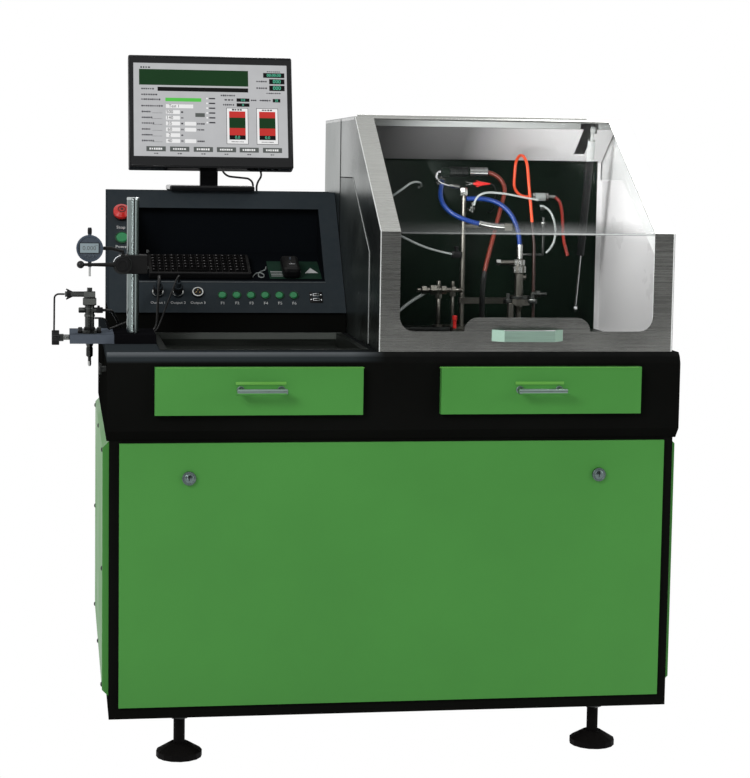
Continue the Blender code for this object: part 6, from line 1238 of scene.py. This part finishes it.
dress("mouse_pad_print", pad_print, LABEL_INK, angle=None)
offcut = wire([on_slope(FLOOR_CORNER, x, along, 0.0018) for x, along in
               [(-0.252, 0.022), (-0.244, 0.04), (-0.233, 0.046), (-0.225, 0.034), (-0.229, 0.02),
                (-0.238, 0.026), (-0.234, 0.048), (-0.22, 0.062), (-0.216, 0.078)]], 0.0013)
dress("tube_offcut", [offcut], CLEAR_TUBE)
print("mouse, pad and tube placed")

# %% [markdown]
# ## The cabinet's fittings
# The drawer pulls are chromed bars that stand off the front on two short posts, the locks are
# chromed heads with a key slot, and every foot has a lock nut against the frame. Parts that
# turn or slide with a drawer or a lock ride on it.

# %% Drawer pulls
ALONG_X = (0, math.radians(90), 0)
ALONG_Y = (math.radians(-90), 0, 0)
DRAWERS = {"left_drawer": (-0.2888, 0.7796), "right_drawer": (0.29265, 0.7785)}
PULL_HALF, PULL_Y, POST_INSET = 0.0507, -0.0463, 0.009
DRAWER_FACE_Y, DRAWER_TOP_Z, DRAWER_HALF = -0.0163, 0.826, 0.213
for body, (x, z) in DRAWERS.items():
    bar = turned([(0.0044, -PULL_HALF - 0.001), (0.0056, -PULL_HALF), (0.0056, PULL_HALF),
                  (0.0044, PULL_HALF + 0.001)], at(x, PULL_Y, z), ALONG_X)
    post_x = [x + side * (PULL_HALF - POST_INSET) for side in (-1, 1)]
    posts = [ring(at(px, PULL_Y, z), 0.0041, 0.005, 0.0, DRAWER_FACE_Y - PULL_Y, ALONG_Y, 24)
             for px in post_x]
    roses = [ring(at(px, DRAWER_FACE_Y - 0.0022, z), 0.0052, 0.0082, 0.0, 0.0022, ALONG_Y, 28)
             for px in post_x]
    dress(body + "_pull", [bar, *posts, *roses], PULL_STEEL, body)
    # The lime strip above each pull and the one along the drawer's top edge are painted highlights
    glint = block((2 * PULL_HALF + 0.002, 0.0016, 0.0062), at(x, DRAWER_FACE_Y - 0.0006, z + 0.014),
                  bevel=0.0005)
    edge = block((2 * DRAWER_HALF - 0.001, 0.001, 0.0014),
                 at(x, DRAWER_FACE_Y - 0.0004, DRAWER_TOP_Z - 0.0009), bevel=0.0003)
    dress(body + "_edge", [glint, edge], LIME_HIGHLIGHT, body)
print("pulls on", list(DRAWERS))

# %% Locks, lock nuts and the stop knob
FACING = (math.radians(90), 0, 0)
LOCK_X, LOCK_FACE_Y, LOCK_Z = 0.432, 0.0074, 0.595
for side, name in ((-1, "cover_lock_left"), (1, "cover_lock_right")):
    spot = at(side * LOCK_X, LOCK_FACE_Y, LOCK_Z)
    rim = ring(spot, 0.0112, 0.0142, -0.0012, 0.0008, FACING, 40)
    plug = turned([(0.0092, -0.0006), (0.0092, 0.0007), (0.0084, 0.0012)], spot, FACING, 36)
    dress(name + "_face", [rim, plug], LOCK_STEEL, name)
    slit = block((0.0016, 0.0008, 0.0085), at(side * LOCK_X, LOCK_FACE_Y - 0.0013, LOCK_Z), bevel=0.0003)
    dress(name + "_slit", [slit], BLACK_PLASTIC, name)
FEET = [(side * 0.446, y) for side in (-1, 1) for y in (0.06, 0.78)]
nuts = [ring(at(x, y, 0), 0.0124, 0.02, 0.0815, 0.0915, sides=6) for x, y in FEET]
dress("foot_lock_nuts", nuts, DARK_STEEL)


def ribs_round(centre, radius, size, count, bevel=0.0005):
    """Ribs in a circle round a knob whose axis lies along X."""
    x, y, z = centre
    return [block(size, at(x, y + radius * math.cos(a), z + radius * math.sin(a)), (a, 0, 0), bevel)
            for a in circle_of(count)]


knob_ribs = ribs_round((-0.6123, 0.05, 0.817), 0.0109, (0.0052, 0.0012, 0.0024), 18, 0.0004)
dress("side_knob_ribs", knob_ribs, DARK_STEEL, "tray_knob")
print(len(nuts), "foot nuts")

# %% [markdown]
# ## Panel screws and louvres
# Sheet panels on a bench are screwed on from outside, so each fixed panel gets a row of button
# heads with a hexagon socket along its edge. The front cover has none, because its locks hold it.
# The back panel's vents get a slanted blade over each slot, so that drips run off outside.

# %% Panel screws
SCREW_HEAD = [(0.0052, 0.0), (0.005, 0.0012), (0.0036, 0.0024), (0.0024, 0.0028)]
SCREW_SOCKET = [(0.0016, 0.0026), (0.0016, 0.003)]
OUT_LEFT, OUT_RIGHT, OUT_BACK = (0, math.radians(-90), 0), ALONG_X, ALONG_Y
SIDE_PANEL_X, BACK_PANEL_Y = 0.6073, 0.8463
VENT_X, VENT_Z, VENT_PITCH = 0.28, 0.392, 0.024


def screws(name, spots, turn):
    """Button heads at the given spots, each with a dark hexagon socket."""
    dress(name, [turned(SCREW_HEAD, at(*spot), turn, 20) for spot in spots], DARK_STEEL)
    holes = [turned(SCREW_SOCKET, at(*spot), turn, 6) for spot in spots]
    dress(name + "_sockets", holes, BLACK_PLASTIC)


def all_but_middle(columns, rows):
    """The spots of a three by three grid, without the one in its middle."""
    return [(a, b) for a in columns for b in rows if (a, b) != (columns[1], rows[1])]


side_spots = all_but_middle((0.065, 0.43, 0.795), (0.155, 0.4, 0.648))
screws("left_panel_screws", [(-SIDE_PANEL_X, y, z) for y, z in side_spots], OUT_LEFT)
screws("right_panel_screws", [(SIDE_PANEL_X, y, z) for y, z in side_spots], OUT_RIGHT)
back_spots = all_but_middle((-0.555, 0, 0.555), (0.137, 0.392, 0.647))
screws("back_panel_screws", [(x, BACK_PANEL_Y, z) for x, z in back_spots], OUT_BACK)
slot_tops = [VENT_Z + (row - 3.5) * VENT_PITCH + 0.008 for row in range(7)]
louvres = [block((0.226, 0.008, 0.0014), at(x, 0.8493, z - 0.0008), (math.radians(-35), 0, 0), 0.0004)
           for x in (-VENT_X, VENT_X) for z in slot_tops]
dress("back_louvres", louvres, BLACK_PAINT)
print("panel screws and", len(louvres), "louvres")

# %% [markdown]
# ## The hood
# The hood is the piece that takes the most skill. Its pane was bent hot, its steel frame has a
# raised bow for the handle, and its edges catch the light in thin lines. Those lines are painted
# highlights, modelled as slim strips that follow the sheet.

# %% Hood edges, handle and seals
HOOD_MIDDLE_X, HANDLE_Z = 0.272, 0.889
WALL_EDGE = [(0.1514, 0.86), (0.1514, 1.0545), (0.3956, 1.2098)]
WALL_TOP = [(0.3966, 1.2098), (0.588, 1.2098)]
REAR_SEAM = [(0.5912, 0.9), (0.5912, 1.344)]
ROOF_SEAL_Y, ROOF_SEAL_Z = 0.458, 1.3362


def edge_strips(points, x):
    """Slim strips from point to point up a side: pale painted highlights along an edge, and rubber seals."""
    strips = []
    for (y0, z0), (y1, z1) in zip(points, points[1:]):
        length, slant = math.hypot(y1 - y0, z1 - z0), math.atan2(z1 - z0, y1 - y0)
        middle = at(x, (y0 + y1) / 2, (z0 + z1) / 2)
        strips.append(block((0.0012, length + 0.0016, 0.002), middle, (slant, 0, 0), 0.0004))
    return strips


# A painted highlight along the pane's top edge
pane_edge = block((0.56, 0.004, 0.002), at(HOOD_MIDDLE_X, 0.3872, 1.3412), (math.radians(35), 0, 0), 0.0006)
dress("pane_top_highlight", [pane_edge], PALE_HIGHLIGHT_PAINT, "hood")
# A chrome strip along the top of the handle as its painted highlight
grip_edge = block((0.108, 0.0014, 0.0016), at(HOOD_MIDDLE_X, -0.006, HANDLE_Z + 0.0118), bevel=0.0005)
dress("hood_handle_highlight", [grip_edge], CHROME, "hood")
# The pale strips up each side are painted highlights on the chamber's front edges
for side, x in (("left", -0.0424), ("right", 0.5864)):
    dress("chamber_edge_highlight_" + side, edge_strips(WALL_EDGE, x), PALE_HIGHLIGHT_PAINT)
    dress("hood_seal_" + side, edge_strips(WALL_TOP, x) + edge_strips(REAR_SEAM, x), RUBBER)
# The roof's seal leaves room for the gas strut. Its pale colour is partly painted light on the roof's front
# edge.
seals = [block((width, 0.005, 0.016), at(x, ROOF_SEAL_Y, ROOF_SEAL_Z), bevel=0.0012)
         for width, x in ((0.534, 0.231), (0.038, 0.56))]
dress("hood_roof_seal", seals, PALE_HIGHLIGHT_PAINT)
print("hood edges dressed")

# %% [markdown]
# ## Inside the chamber
# Every hose that holds pressure ends in a swaged ferrule, so each visible end gets a bright
# sleeve over the rubber. Clear return tubes bend loosely between them. They carry almost no
# pressure, so they are thin and go where they like.

# %% Ferrules, nuts and the rail's sleeves
RAIL_Y, RAIL_Z = 0.505, 1.226
SEAT_X, CHAMBER_Y = 0.353, 0.43
BROWN_X, BROWN_Y = 0.262, 0.405


def pipe(points, radius, roundness=3):
    """A wire through points that are given in the maker's sizes."""
    return wire([at(*point) for point in points], radius, roundness)


def groove_rings(radius, low, high, grooves, depth=0.001):
    """The rings of a sleeve with grooves cut round it."""
    rings = [(radius * 0.85, low), (radius, low + 0.001)]
    step = (high - low) / (grooves + 1)
    for k in range(1, grooves + 1):
        middle = low + k * step
        rings += [(radius, middle - 0.0012), (radius - depth, middle - 0.0008),
                  (radius - depth, middle + 0.0008), (radius, middle + 0.0012)]
    return [*rings, (radius, high - 0.001), (radius * 0.85, high)]


dark_sleeve = turned(groove_rings(0.0118, 0.0, 0.044, 2), at(0.2, RAIL_Y, RAIL_Z), ALONG_X, 28)
dress("rail_sleeve_dark", [dark_sleeve], DARK_STEEL)
bright_sleeve = turned(groove_rings(0.0112, 0.0, 0.044, 3), at(0.247, RAIL_Y, RAIL_Z), ALONG_X, 28)
dress("rail_sleeve_bright", [bright_sleeve], FITTING_STEEL)
rail_pipe = pipe([(0.185, 0.505, 1.2262), (0.176, 0.504, 1.2255), (0.17, 0.503, 1.22),
                  (0.17, 0.501, 1.211), (0.177, 0.499, 1.202), (0.19, 0.496, 1.196),
                  (0.205, 0.492, 1.192)], 0.0034)
dress("rail_pipe", [rail_pipe], CHROME)
link = pipe([(0.202, 0.4925, 1.1935), (0.212, 0.485, 1.1915), (0.222, 0.477, 1.1895)], 0.0064)
post_head = turned([(0.006, 1.17), (0.0092, 1.172), (0.0092, 1.188), (0.007, 1.191)], at(0.228, 0.47, 0),
                   sides=6)
dress("rail_connector", [link, post_head], BRIGHT_STEEL)

front_ferrule = pipe([(0.256, 0.431, 1.109), (0.2749, 0.4304, 1.1053), (0.2891, 0.4301, 1.1032),
                      (0.302, 0.43, 1.102), (0.3148, 0.43, 1.1015)], 0.0079, 5)
dress("blue_front_ferrule", [front_ferrule], BRIGHT_STEEL)
injector_top = open_turned(tube_rings(0.006, 0.0082, 1.029, 1.062, 0.15), at(SEAT_X, CHAMBER_Y, 0), sides=28)
coil_sleeve = ring(at(SEAT_X, CHAMBER_Y, 0), 0.0122, 0.0136, 1.0135, 1.0262, sides=6)
coil_nut = ring(at(SEAT_X, CHAMBER_Y, 0), 0.0147, 0.0162, 0.9975, 1.0118, sides=6)
inlet_cap = turned([(0.006, -0.001), (0.008, 0.0), (0.008, 0.01), (0.0066, 0.011)],
                   at(0.2985, CHAMBER_Y, 1.0199), ALONG_X, 6)
port_nut = ring(at(0.188, 0.5355, 1.203), 0.006, 0.0125, 0.0, 0.009, ALONG_Y, 6)
nuts = [injector_top, coil_sleeve, coil_nut, inlet_cap, port_nut]
dress("test_injector_nuts", nuts, BRIGHT_STEEL)
brown_sleeve = pipe([(0.2681, 0.4122, 1.0), (0.2647, 0.4081, 0.984), (BROWN_X, BROWN_Y, 0.9488),
                     (BROWN_X, BROWN_Y, 0.9229), (BROWN_X, BROWN_Y, 0.8969), (BROWN_X, BROWN_Y, 0.88)],
                    0.0064)
brown_nut = ring(at(BROWN_X, BROWN_Y, 0), 0.0055, 0.0118, 0.8709, 0.881, sides=6)
dress("brown_hose_sleeve", [brown_sleeve, brown_nut], DARK_STEEL)
orange_nut = ring(at(0.3841, 0.431, 0), 0.004, 0.009, 0.8709, 0.88, sides=6)
dress("orange_hose_nut", [orange_nut], BRASS)
print("ferrules and nuts made")

# %% Clip, fitting and clear tubes
CLIP_Z, RETURN_Y, RETURN_Z = 1.1995, 0.52, 1.17
clip_body = turned([(0.0022, 0.0), (0.0044, 0.007), (0.0048, 0.02), (0.0028, 0.034), (0.0018, 0.04)],
                   at(0.248, 0.462, CLIP_Z), ALONG_X, 20)
clip_wings = [block((0.018, 0.006, 0.0016), at(0.264, 0.462, CLIP_Z + side * 0.0044),
                    (0, side * 0.3, 0), 0.0006) for side in (-1, 1)]
dress("test_clip", [clip_body, *clip_wings], RED_PLASTIC)
jaws = [block((0.018, 0.005, 0.0014), at(0.24, 0.464, CLIP_Z + side * 0.002), (0, side * 0.16, 0), 0.0004)
        for side in (-1, 1)]
dress("test_clip_jaws", jaws, BRIGHT_STEEL)
clip_lead = pipe([(0.2855, 0.462, 1.1995), (0.295, 0.462, 1.1975), (0.301, 0.466, 1.188),
                  (0.304, 0.474, 1.174), (0.306, 0.49, 1.156), (0.308, 0.515, 1.14),
                  (0.309, 0.545, 1.133), (0.309, 0.5645, 1.132)], 0.0014)
dress("test_clip_lead", [clip_lead], CABLE_SHEATH)

collars = [ring(at(0, RETURN_Y, RETURN_Z), 0.0081, 0.0105, low, low + 0.006, ALONG_X, 28)
           for low in (0.402, 0.434)]
barb = turned(groove_rings(0.0052, 0.0, 0.016, 3), at(0.4415, RETURN_Y, RETURN_Z), ALONG_X, 20)
dress("return_collars", [*collars, barb], BRIGHT_STEEL)
glass = ring(at(0, RETURN_Y, RETURN_Z), 0.0084, 0.0098, 0.4082, 0.4338, ALONG_X, 28)
dress("return_sight_glass", [glass], CLEAR_TUBE)
red_tube = pipe([(0.448, 0.52, 1.17), (0.458, 0.519, 1.169), (0.466, 0.516, 1.162),
                 (0.47, 0.51, 1.15), (0.471, 0.5, 1.13), (0.469, 0.485, 1.1),
                 (0.468, 0.47, 1.07), (0.471, 0.46, 1.05), (0.474, 0.455, 1.035)], 0.0038)
dress("red_return_tube", [red_tube], RED_TUBE)

THIN_TUBE, DRAIN_TUBE = 0.0026, 0.0036
TUBES = {
    "clear_tube_left_low": (THIN_TUBE, [
        (-0.038, 0.45, 1.118), (-0.01, 0.448, 1.115), (0.03, 0.44, 1.098), (0.0757, 0.43, 1.0789),
        (0.1201, 0.43, 1.0584), (0.16, 0.435, 1.046), (0.198, 0.45, 1.038)]),
    "clear_tube_left_high": (THIN_TUBE, [
        (-0.038, 0.45, 1.135), (0.0, 0.446, 1.142), (0.04, 0.436, 1.16), (0.0739, 0.43, 1.1834),
        (0.1, 0.44, 1.2), (0.124, 0.47, 1.201), (0.138, 0.52, 1.193), (0.14, 0.564, 1.188)]),
    "clear_tube_middle": (THIN_TUBE, [
        (0.244, 0.43, 1.15), (0.248, 0.43, 1.164), (0.259, 0.43, 1.175), (0.28, 0.43, 1.18),
        (0.32, 0.432, 1.177), (0.36, 0.434, 1.17), (0.396, 0.436, 1.164)]),
    "clear_tube_right": (THIN_TUBE, [
        (0.404, 0.45, 1.15), (0.412, 0.446, 1.149), (0.424, 0.44, 1.14), (0.433, 0.434, 1.12),
        (0.437, 0.43, 1.095), (0.434, 0.43, 1.07), (0.426, 0.43, 1.054), (0.4158, 0.43, 1.0425)]),
    "clear_tube_drain": (DRAIN_TUBE, [
        (0.03, 0.4, 0.87), (0.05, 0.41, 0.89), (0.0808, 0.425, 0.9144), (0.107, 0.43, 0.933),
        (0.1337, 0.43, 0.949)]),
}
for name, (radius, points) in TUBES.items():
    dress(name, [pipe(points, radius, 4)], CLEAR_TUBE)
print(len(TUBES), "clear tubes")

# %% Valves and fittings on the chamber floor
UPRIGHT = (0, 0, 0)
BOLT_CIRCLE, BOLT_ANGLES = 0.033, (math.radians(-150), math.radians(-30))


def nut_stack(spot, turn, sizes):
    """Hexagon nuts and washers in a row along one axis, each by radius, length and sides."""
    stack, low = [], 0.0
    for radius, length, sides in sizes:
        stack.append(turned([(radius * 0.9, low), (radius, low + 0.0008), (radius, low + length - 0.0008),
                             (radius * 0.9, low + length)], at(*spot), turn, sides))
        low += length
    return stack


manifold = nut_stack((0.115, CHAMBER_Y, 0.956), ALONG_X,
                     [(0.005, 0.01, 20), (0.01, 0.012, 6), (0.0065, 0.008, 20), (0.0125, 0.016, 6),
                      (0.007, 0.01, 20), (0.0105, 0.012, 6), (0.006, 0.012, 20), (0.009, 0.01, 6),
                      (0.0045, 0.016, 20)])
manifold += nut_stack((0.165, CHAMBER_Y, 0.872), UPRIGHT, [(0.014, 0.005, 28), (0.0055, 0.06, 20),
                                                            (0.0085, 0.01, 6), (0.005, 0.03, 20)])
manifold += nut_stack((0.198, CHAMBER_Y, 0.872), UPRIGHT, [(0.011, 0.004, 28), (0.0042, 0.066, 20),
                                                            (0.0075, 0.018, 6), (0.004, 0.016, 20)])
dress("drain_manifold", manifold, DULL_STEEL)
manifold_foot = block((0.12, 0.06, 0.016), at(0.128, CHAMBER_Y, 0.8645), bevel=0.0015)
dress("manifold_foot", [manifold_foot], DARK_STEEL)
seat_ring = ring(at(SEAT_X, CHAMBER_Y, 0), 0.0215, 0.0268, 0.9368, 0.944, sides=40)
seat_bolts, seat_lugs = [], []
for a in BOLT_ANGLES:
    x, y = SEAT_X + BOLT_CIRCLE * math.cos(a), CHAMBER_Y + BOLT_CIRCLE * math.sin(a)
    seat_bolts.append(turned([(0.0046, 0.937), (0.0046, 0.949), (0.0036, 0.95)], at(x, y, 0), sides=6))
    seat_lugs.append(block((0.02, 0.013, 0.01), at(x, y, 0.932), (0, 0, a), 0.001))
spout = nut_stack((0.38, 0.418, 0.948), ALONG_X, [(0.006, 0.01, 20), (0.009, 0.01, 6), (0.0045, 0.016, 20)])
dress("test_seat_fittings", [seat_ring, *seat_bolts, *seat_lugs, *spout], NUT_STEEL)
drop_pipe = turned([(0.0075, 0.875), (0.0075, 0.926), (0.006, 0.928)], at(0.33, 0.412, 0), sides=24)
dress("drop_pipe", [drop_pipe], DULL_STEEL)
port_valve = [block((0.023, 0.017, 0.015), at(0.212, 0.462, 1.036), bevel=0.0012),
              turned([(0.004, 0.0), (0.004, 0.008), (0.006, 0.009), (0.006, 0.012)],
                     at(0.212, 0.462, 1.043), sides=20)]
dress("tube_valve", port_valve, BLACK_PLASTIC)
red_cap = turned([(0.0042, 0.8705), (0.0042, 0.888), (0.0056, 0.889), (0.0056, 0.898), (0.0044, 0.8995)],
                 at(0.199, 0.405, 0), sides=24)
dress("red_bleed_cap", [red_cap], RED_PLASTIC)
FITTINGS_Y = 0.446
upper = []
for x, z in ((0.244, 1.133), (0.412, 1.1)):
    upper += nut_stack((x, FITTINGS_Y, z), UPRIGHT,
                       [(0.0036, 0.006, 16), (0.0062, 0.008, 6), (0.003, 0.01, 16)])
upper += nut_stack((0.405, FITTINGS_Y, 1.144), ALONG_X, [(0.0045, 0.006, 16), (0.003, 0.004, 16)])
tie = block((0.006, 0.026, 0.006), at(0.239, 0.458, 1.139), bevel=0.001)
stem = block((0.005, 0.005, 0.072), at(0.412, FITTINGS_Y, 1.072), bevel=0.001)
arm = block((0.056, 0.005, 0.005), at(0.386, FITTINGS_Y, 1.038), bevel=0.001)
dress("tube_fittings", [*upper, tie, stem, arm], NUT_STEEL)
print("chamber fittings made")

# %% [markdown]
# ## The clamping jig
# The jig holds one injector upright and measures its needle lift. A post carries a block that
# slides, a lever locks the block, and a dial gauge hangs from it. The dial is digital: a pale
# display with figures, three buttons, and a stem above and below.

# %% Dial gauge
DIAL = (-0.631, 0.226, 1.0543)
DISPLAY_X = -0.001


def on_dial(right, up, out):
    x, y, z = DIAL
    return at(x + right, y - out, z + up)


bezel = ring(on_dial(0, 0, 0), 0.0245, 0.0284, -0.0004, 0.0018, FACING, 56)
dress("dial_bezel", [bezel], DIAL_BLUE, "post_slider")
# The display and its figures glow as painted light
window = block((0.039, 0.0014, 0.02), on_dial(DISPLAY_X, 0.001, 0.0002), bevel=0.0005)
dress("dial_window", [window], LCD_PAINTED_GLOW, "post_slider")
frame_bars = [block((0.042, 0.0018, 0.0014), on_dial(DISPLAY_X, 0.001 + side * 0.0107, 0.0002), bevel=0.0004)
              for side in (-1, 1)]
frame_bars += [block((0.0014, 0.0018, 0.0226), on_dial(DISPLAY_X + side * 0.0203, 0.001, 0.0002),
                     bevel=0.0004) for side in (-1, 1)]
dress("dial_frame", frame_bars, BLACK_PLASTIC, "post_slider")
figures = [words("0.000", 0.013, on_dial(DISPLAY_X, 0.0005, 0.0011), FACING),
           words("mm", 0.0045, on_dial(0.0135, 0.007, 0.0011), FACING)]
dress("dial_figures", figures, SCREEN_SHADE, "post_slider", None)
presses = [turned([(0.0022, 0.0), (0.0022, 0.0012), (0.0016, 0.0016)], on_dial(right, -0.0162, -0.0002),
                  FACING, 20) for right in (-0.0085, 0.0, 0.0085)]
dress("dial_presses", presses, GREY_PLASTIC, "post_slider")
stem_cap = turned([(0.004, 1.0852), (0.0046, 1.086), (0.0046, 1.095), (0.0034, 1.0985)], at(-0.631, 0.237, 0),
                  sides=24)
dress("dial_stem_cap", [stem_cap], BLACK_PLASTIC, "post_slider")
print("dial dressed")

# %% Post clamp and lever
HUB_X, HUB_Y, HUB_Z = -0.5626, 0.1965, 1.0213
POST_X, POST_Y = -0.539, 0.243
WASHER_Y, GLINT_RADIUS = 0.2148, 0.0192
BALL_RADIUS, LEVER_REACH = 0.0082, 0.088
hub_ribs = [block((0.0022, 0.015, 0.002),
                  at(HUB_X + 0.0158 * math.cos(a), HUB_Y + 0.0092, HUB_Z + 0.0158 * math.sin(a)),
                  (0, -a, 0), 0.0005) for a in circle_of(28)]
hub_face = ring(at(HUB_X, HUB_Y, HUB_Z), 0.0085, 0.0125, 0.0, 0.0016, FACING, 40)
dress("lever_hub_ribs", [*hub_ribs, hub_face], BLACK_PLASTIC, "slider_lever")
# The washer is dark steel, darkened partly as painted shade, and the bright arc on its upper left is a
# painted highlight
washer = ring(at(HUB_X, WASHER_Y, HUB_Z), 0.0168, 0.0206, 0.0, 0.0012, FACING, 48)
dress("lever_washer", [washer], DARK_STEEL, "post_slider")
arc = [math.radians(t) for t in range(100, 172, 8)]
glint = pipe([(HUB_X + GLINT_RADIUS * math.cos(a), WASHER_Y - 0.0006, HUB_Z + GLINT_RADIUS * math.sin(a))
              for a in arc], 0.0013)
dress("lever_washer_highlight", [glint], SATIN_STEEL, "post_slider")
ball_angles = [math.radians(t) for t in range(10, 171, 16)]
grip_ball = turned([(BALL_RADIUS * math.sin(a), -BALL_RADIUS * math.cos(a)) for a in ball_angles],
                   at(HUB_X - LEVER_REACH, 0.2041, HUB_Z), ALONG_X, 28)
dress("lever_ball", [grip_ball], GLOSS_BLACK, "slider_lever")
side_bolts = [turned([(0.0046, 0.0), (0.0046, 0.003), (0.0034, 0.004)], at(-0.5092, y, z), ALONG_X, 6)
              for y in (0.229, 0.257) for z in (1.012, 1.0476)]
dress("clamp_bolts", side_bolts, DARK_STEEL, "post_slider")
post_cap = turned([(0.012, 1.157), (0.0136, 1.158), (0.0136, 1.162), (0.012, 1.1635)], at(POST_X, POST_Y, 0),
                  sides=40)
post_foot = ring(at(POST_X, POST_Y, 0), 0.0132, 0.02, 0.8645, 0.8725, sides=44)
dress("post_collars", [post_cap, post_foot], POST_STEEL)
print("clamp dressed")

# %% The injector on the jig
INJECTOR_X, INJECTOR_Y, SEAT_Z = -0.631, 0.237, 0.8736
TERMINAL_Z, INLET_Z = 0.9226, 0.9566


def round_injector(inner, outer, low, high, sides=6):
    return ring(at(INJECTOR_X, INJECTOR_Y, 0), inner, outer, SEAT_Z + low, SEAT_Z + high, sides=sides)


def on_injector(rings, x=INJECTOR_X, sides=6):
    return turned([(r, z + SEAT_Z) for r, z in rings], at(x, INJECTOR_Y, 0), sides=sides)


nuts = [round_injector(0.0121, 0.014, 0.0775, 0.0885), round_injector(0.0146, 0.0166, 0.0615, 0.0745),
        round_injector(0.0101, 0.0114, 0.035, 0.04, 28), round_injector(0.0101, 0.0112, 0.052, 0.055, 28)]
dress("injector_nuts", nuts, NUT_STEEL)
boss = turned([(0.005, 0.0), (0.0065, 0.001), (0.0065, 0.012), (0.005, 0.016)],
              at(-0.6545, INJECTOR_Y, TERMINAL_Z), ALONG_X, 6)
dress("injector_boss", [boss], NUT_STEEL)
tip = on_injector([(0.0038, -0.06), (0.0038, -0.067), (0.0022, -0.071)], sides=24)
dress("injector_tip", [tip], FITTING_STEEL)
plug = [block((0.015, 0.014, 0.012), at(-0.61, INJECTOR_Y, TERMINAL_Z), bevel=0.002),
        block((0.005, 0.017, 0.004), at(-0.612, INJECTOR_Y, 0.93), bevel=0.0008)]
dress("injector_plug", plug, BLACK_PLASTIC)
flange = [block((0.05, 0.02, 0.0078), at(INJECTOR_X, INJECTOR_Y, SEAT_Z + 0.0036), bevel=0.002),
          round_injector(0.0096, 0.0118, 0.0075, 0.013, 28)]
dress("injector_flange", flange, BLACK_PAINT)
flange_bolts = [on_injector([(0.005, 0.0074), (0.005, 0.0116), (0.004, 0.0126)], INJECTOR_X + side * 0.02)
                for side in (-1, 1)]
dress("injector_flange_bolts", flange_bolts, DARK_STEEL)
sleeve = round_injector(0.0061, 0.0072, -0.049, -0.031, 28)
dress("injector_nozzle_sleeve", [sleeve], DARK_STEEL)
wings = [block((0.015, 0.004, 0.003), at(-0.674, INJECTOR_Y, INLET_Z + side * 0.0075),
               (0, side * 0.45, 0), 0.0008) for side in (-1, 1)]
collar = ring(at(0, INJECTOR_Y, INLET_Z), 0.0061, 0.0082, -0.679, -0.671, ALONG_X, 24)
dress("injector_inlet_clip", [*wings, collar], BLACK_PLASTIC)
print("injector dressed")

# %% Clamp screw
SCREW_Y, SCREW_Z, KNOB_X = 0.237, 0.8638, -0.703
ribs = ribs_round((KNOB_X, SCREW_Y, SCREW_Z), 0.0149, (0.015, 0.0018, 0.0018), 24)
dress("clamp_screw_ribs", ribs, BLACK_PLASTIC, "plate_screw")
threads = [ring(at(-0.686 + i * 0.0019, SCREW_Y, SCREW_Z), 0.0049, 0.0056, 0.0, 0.0009, ALONG_X, 24)
           for i in range(6)]
dress("clamp_screw_threads", threads, FITTING_STEEL, "plate_screw")
print("jig dressed")
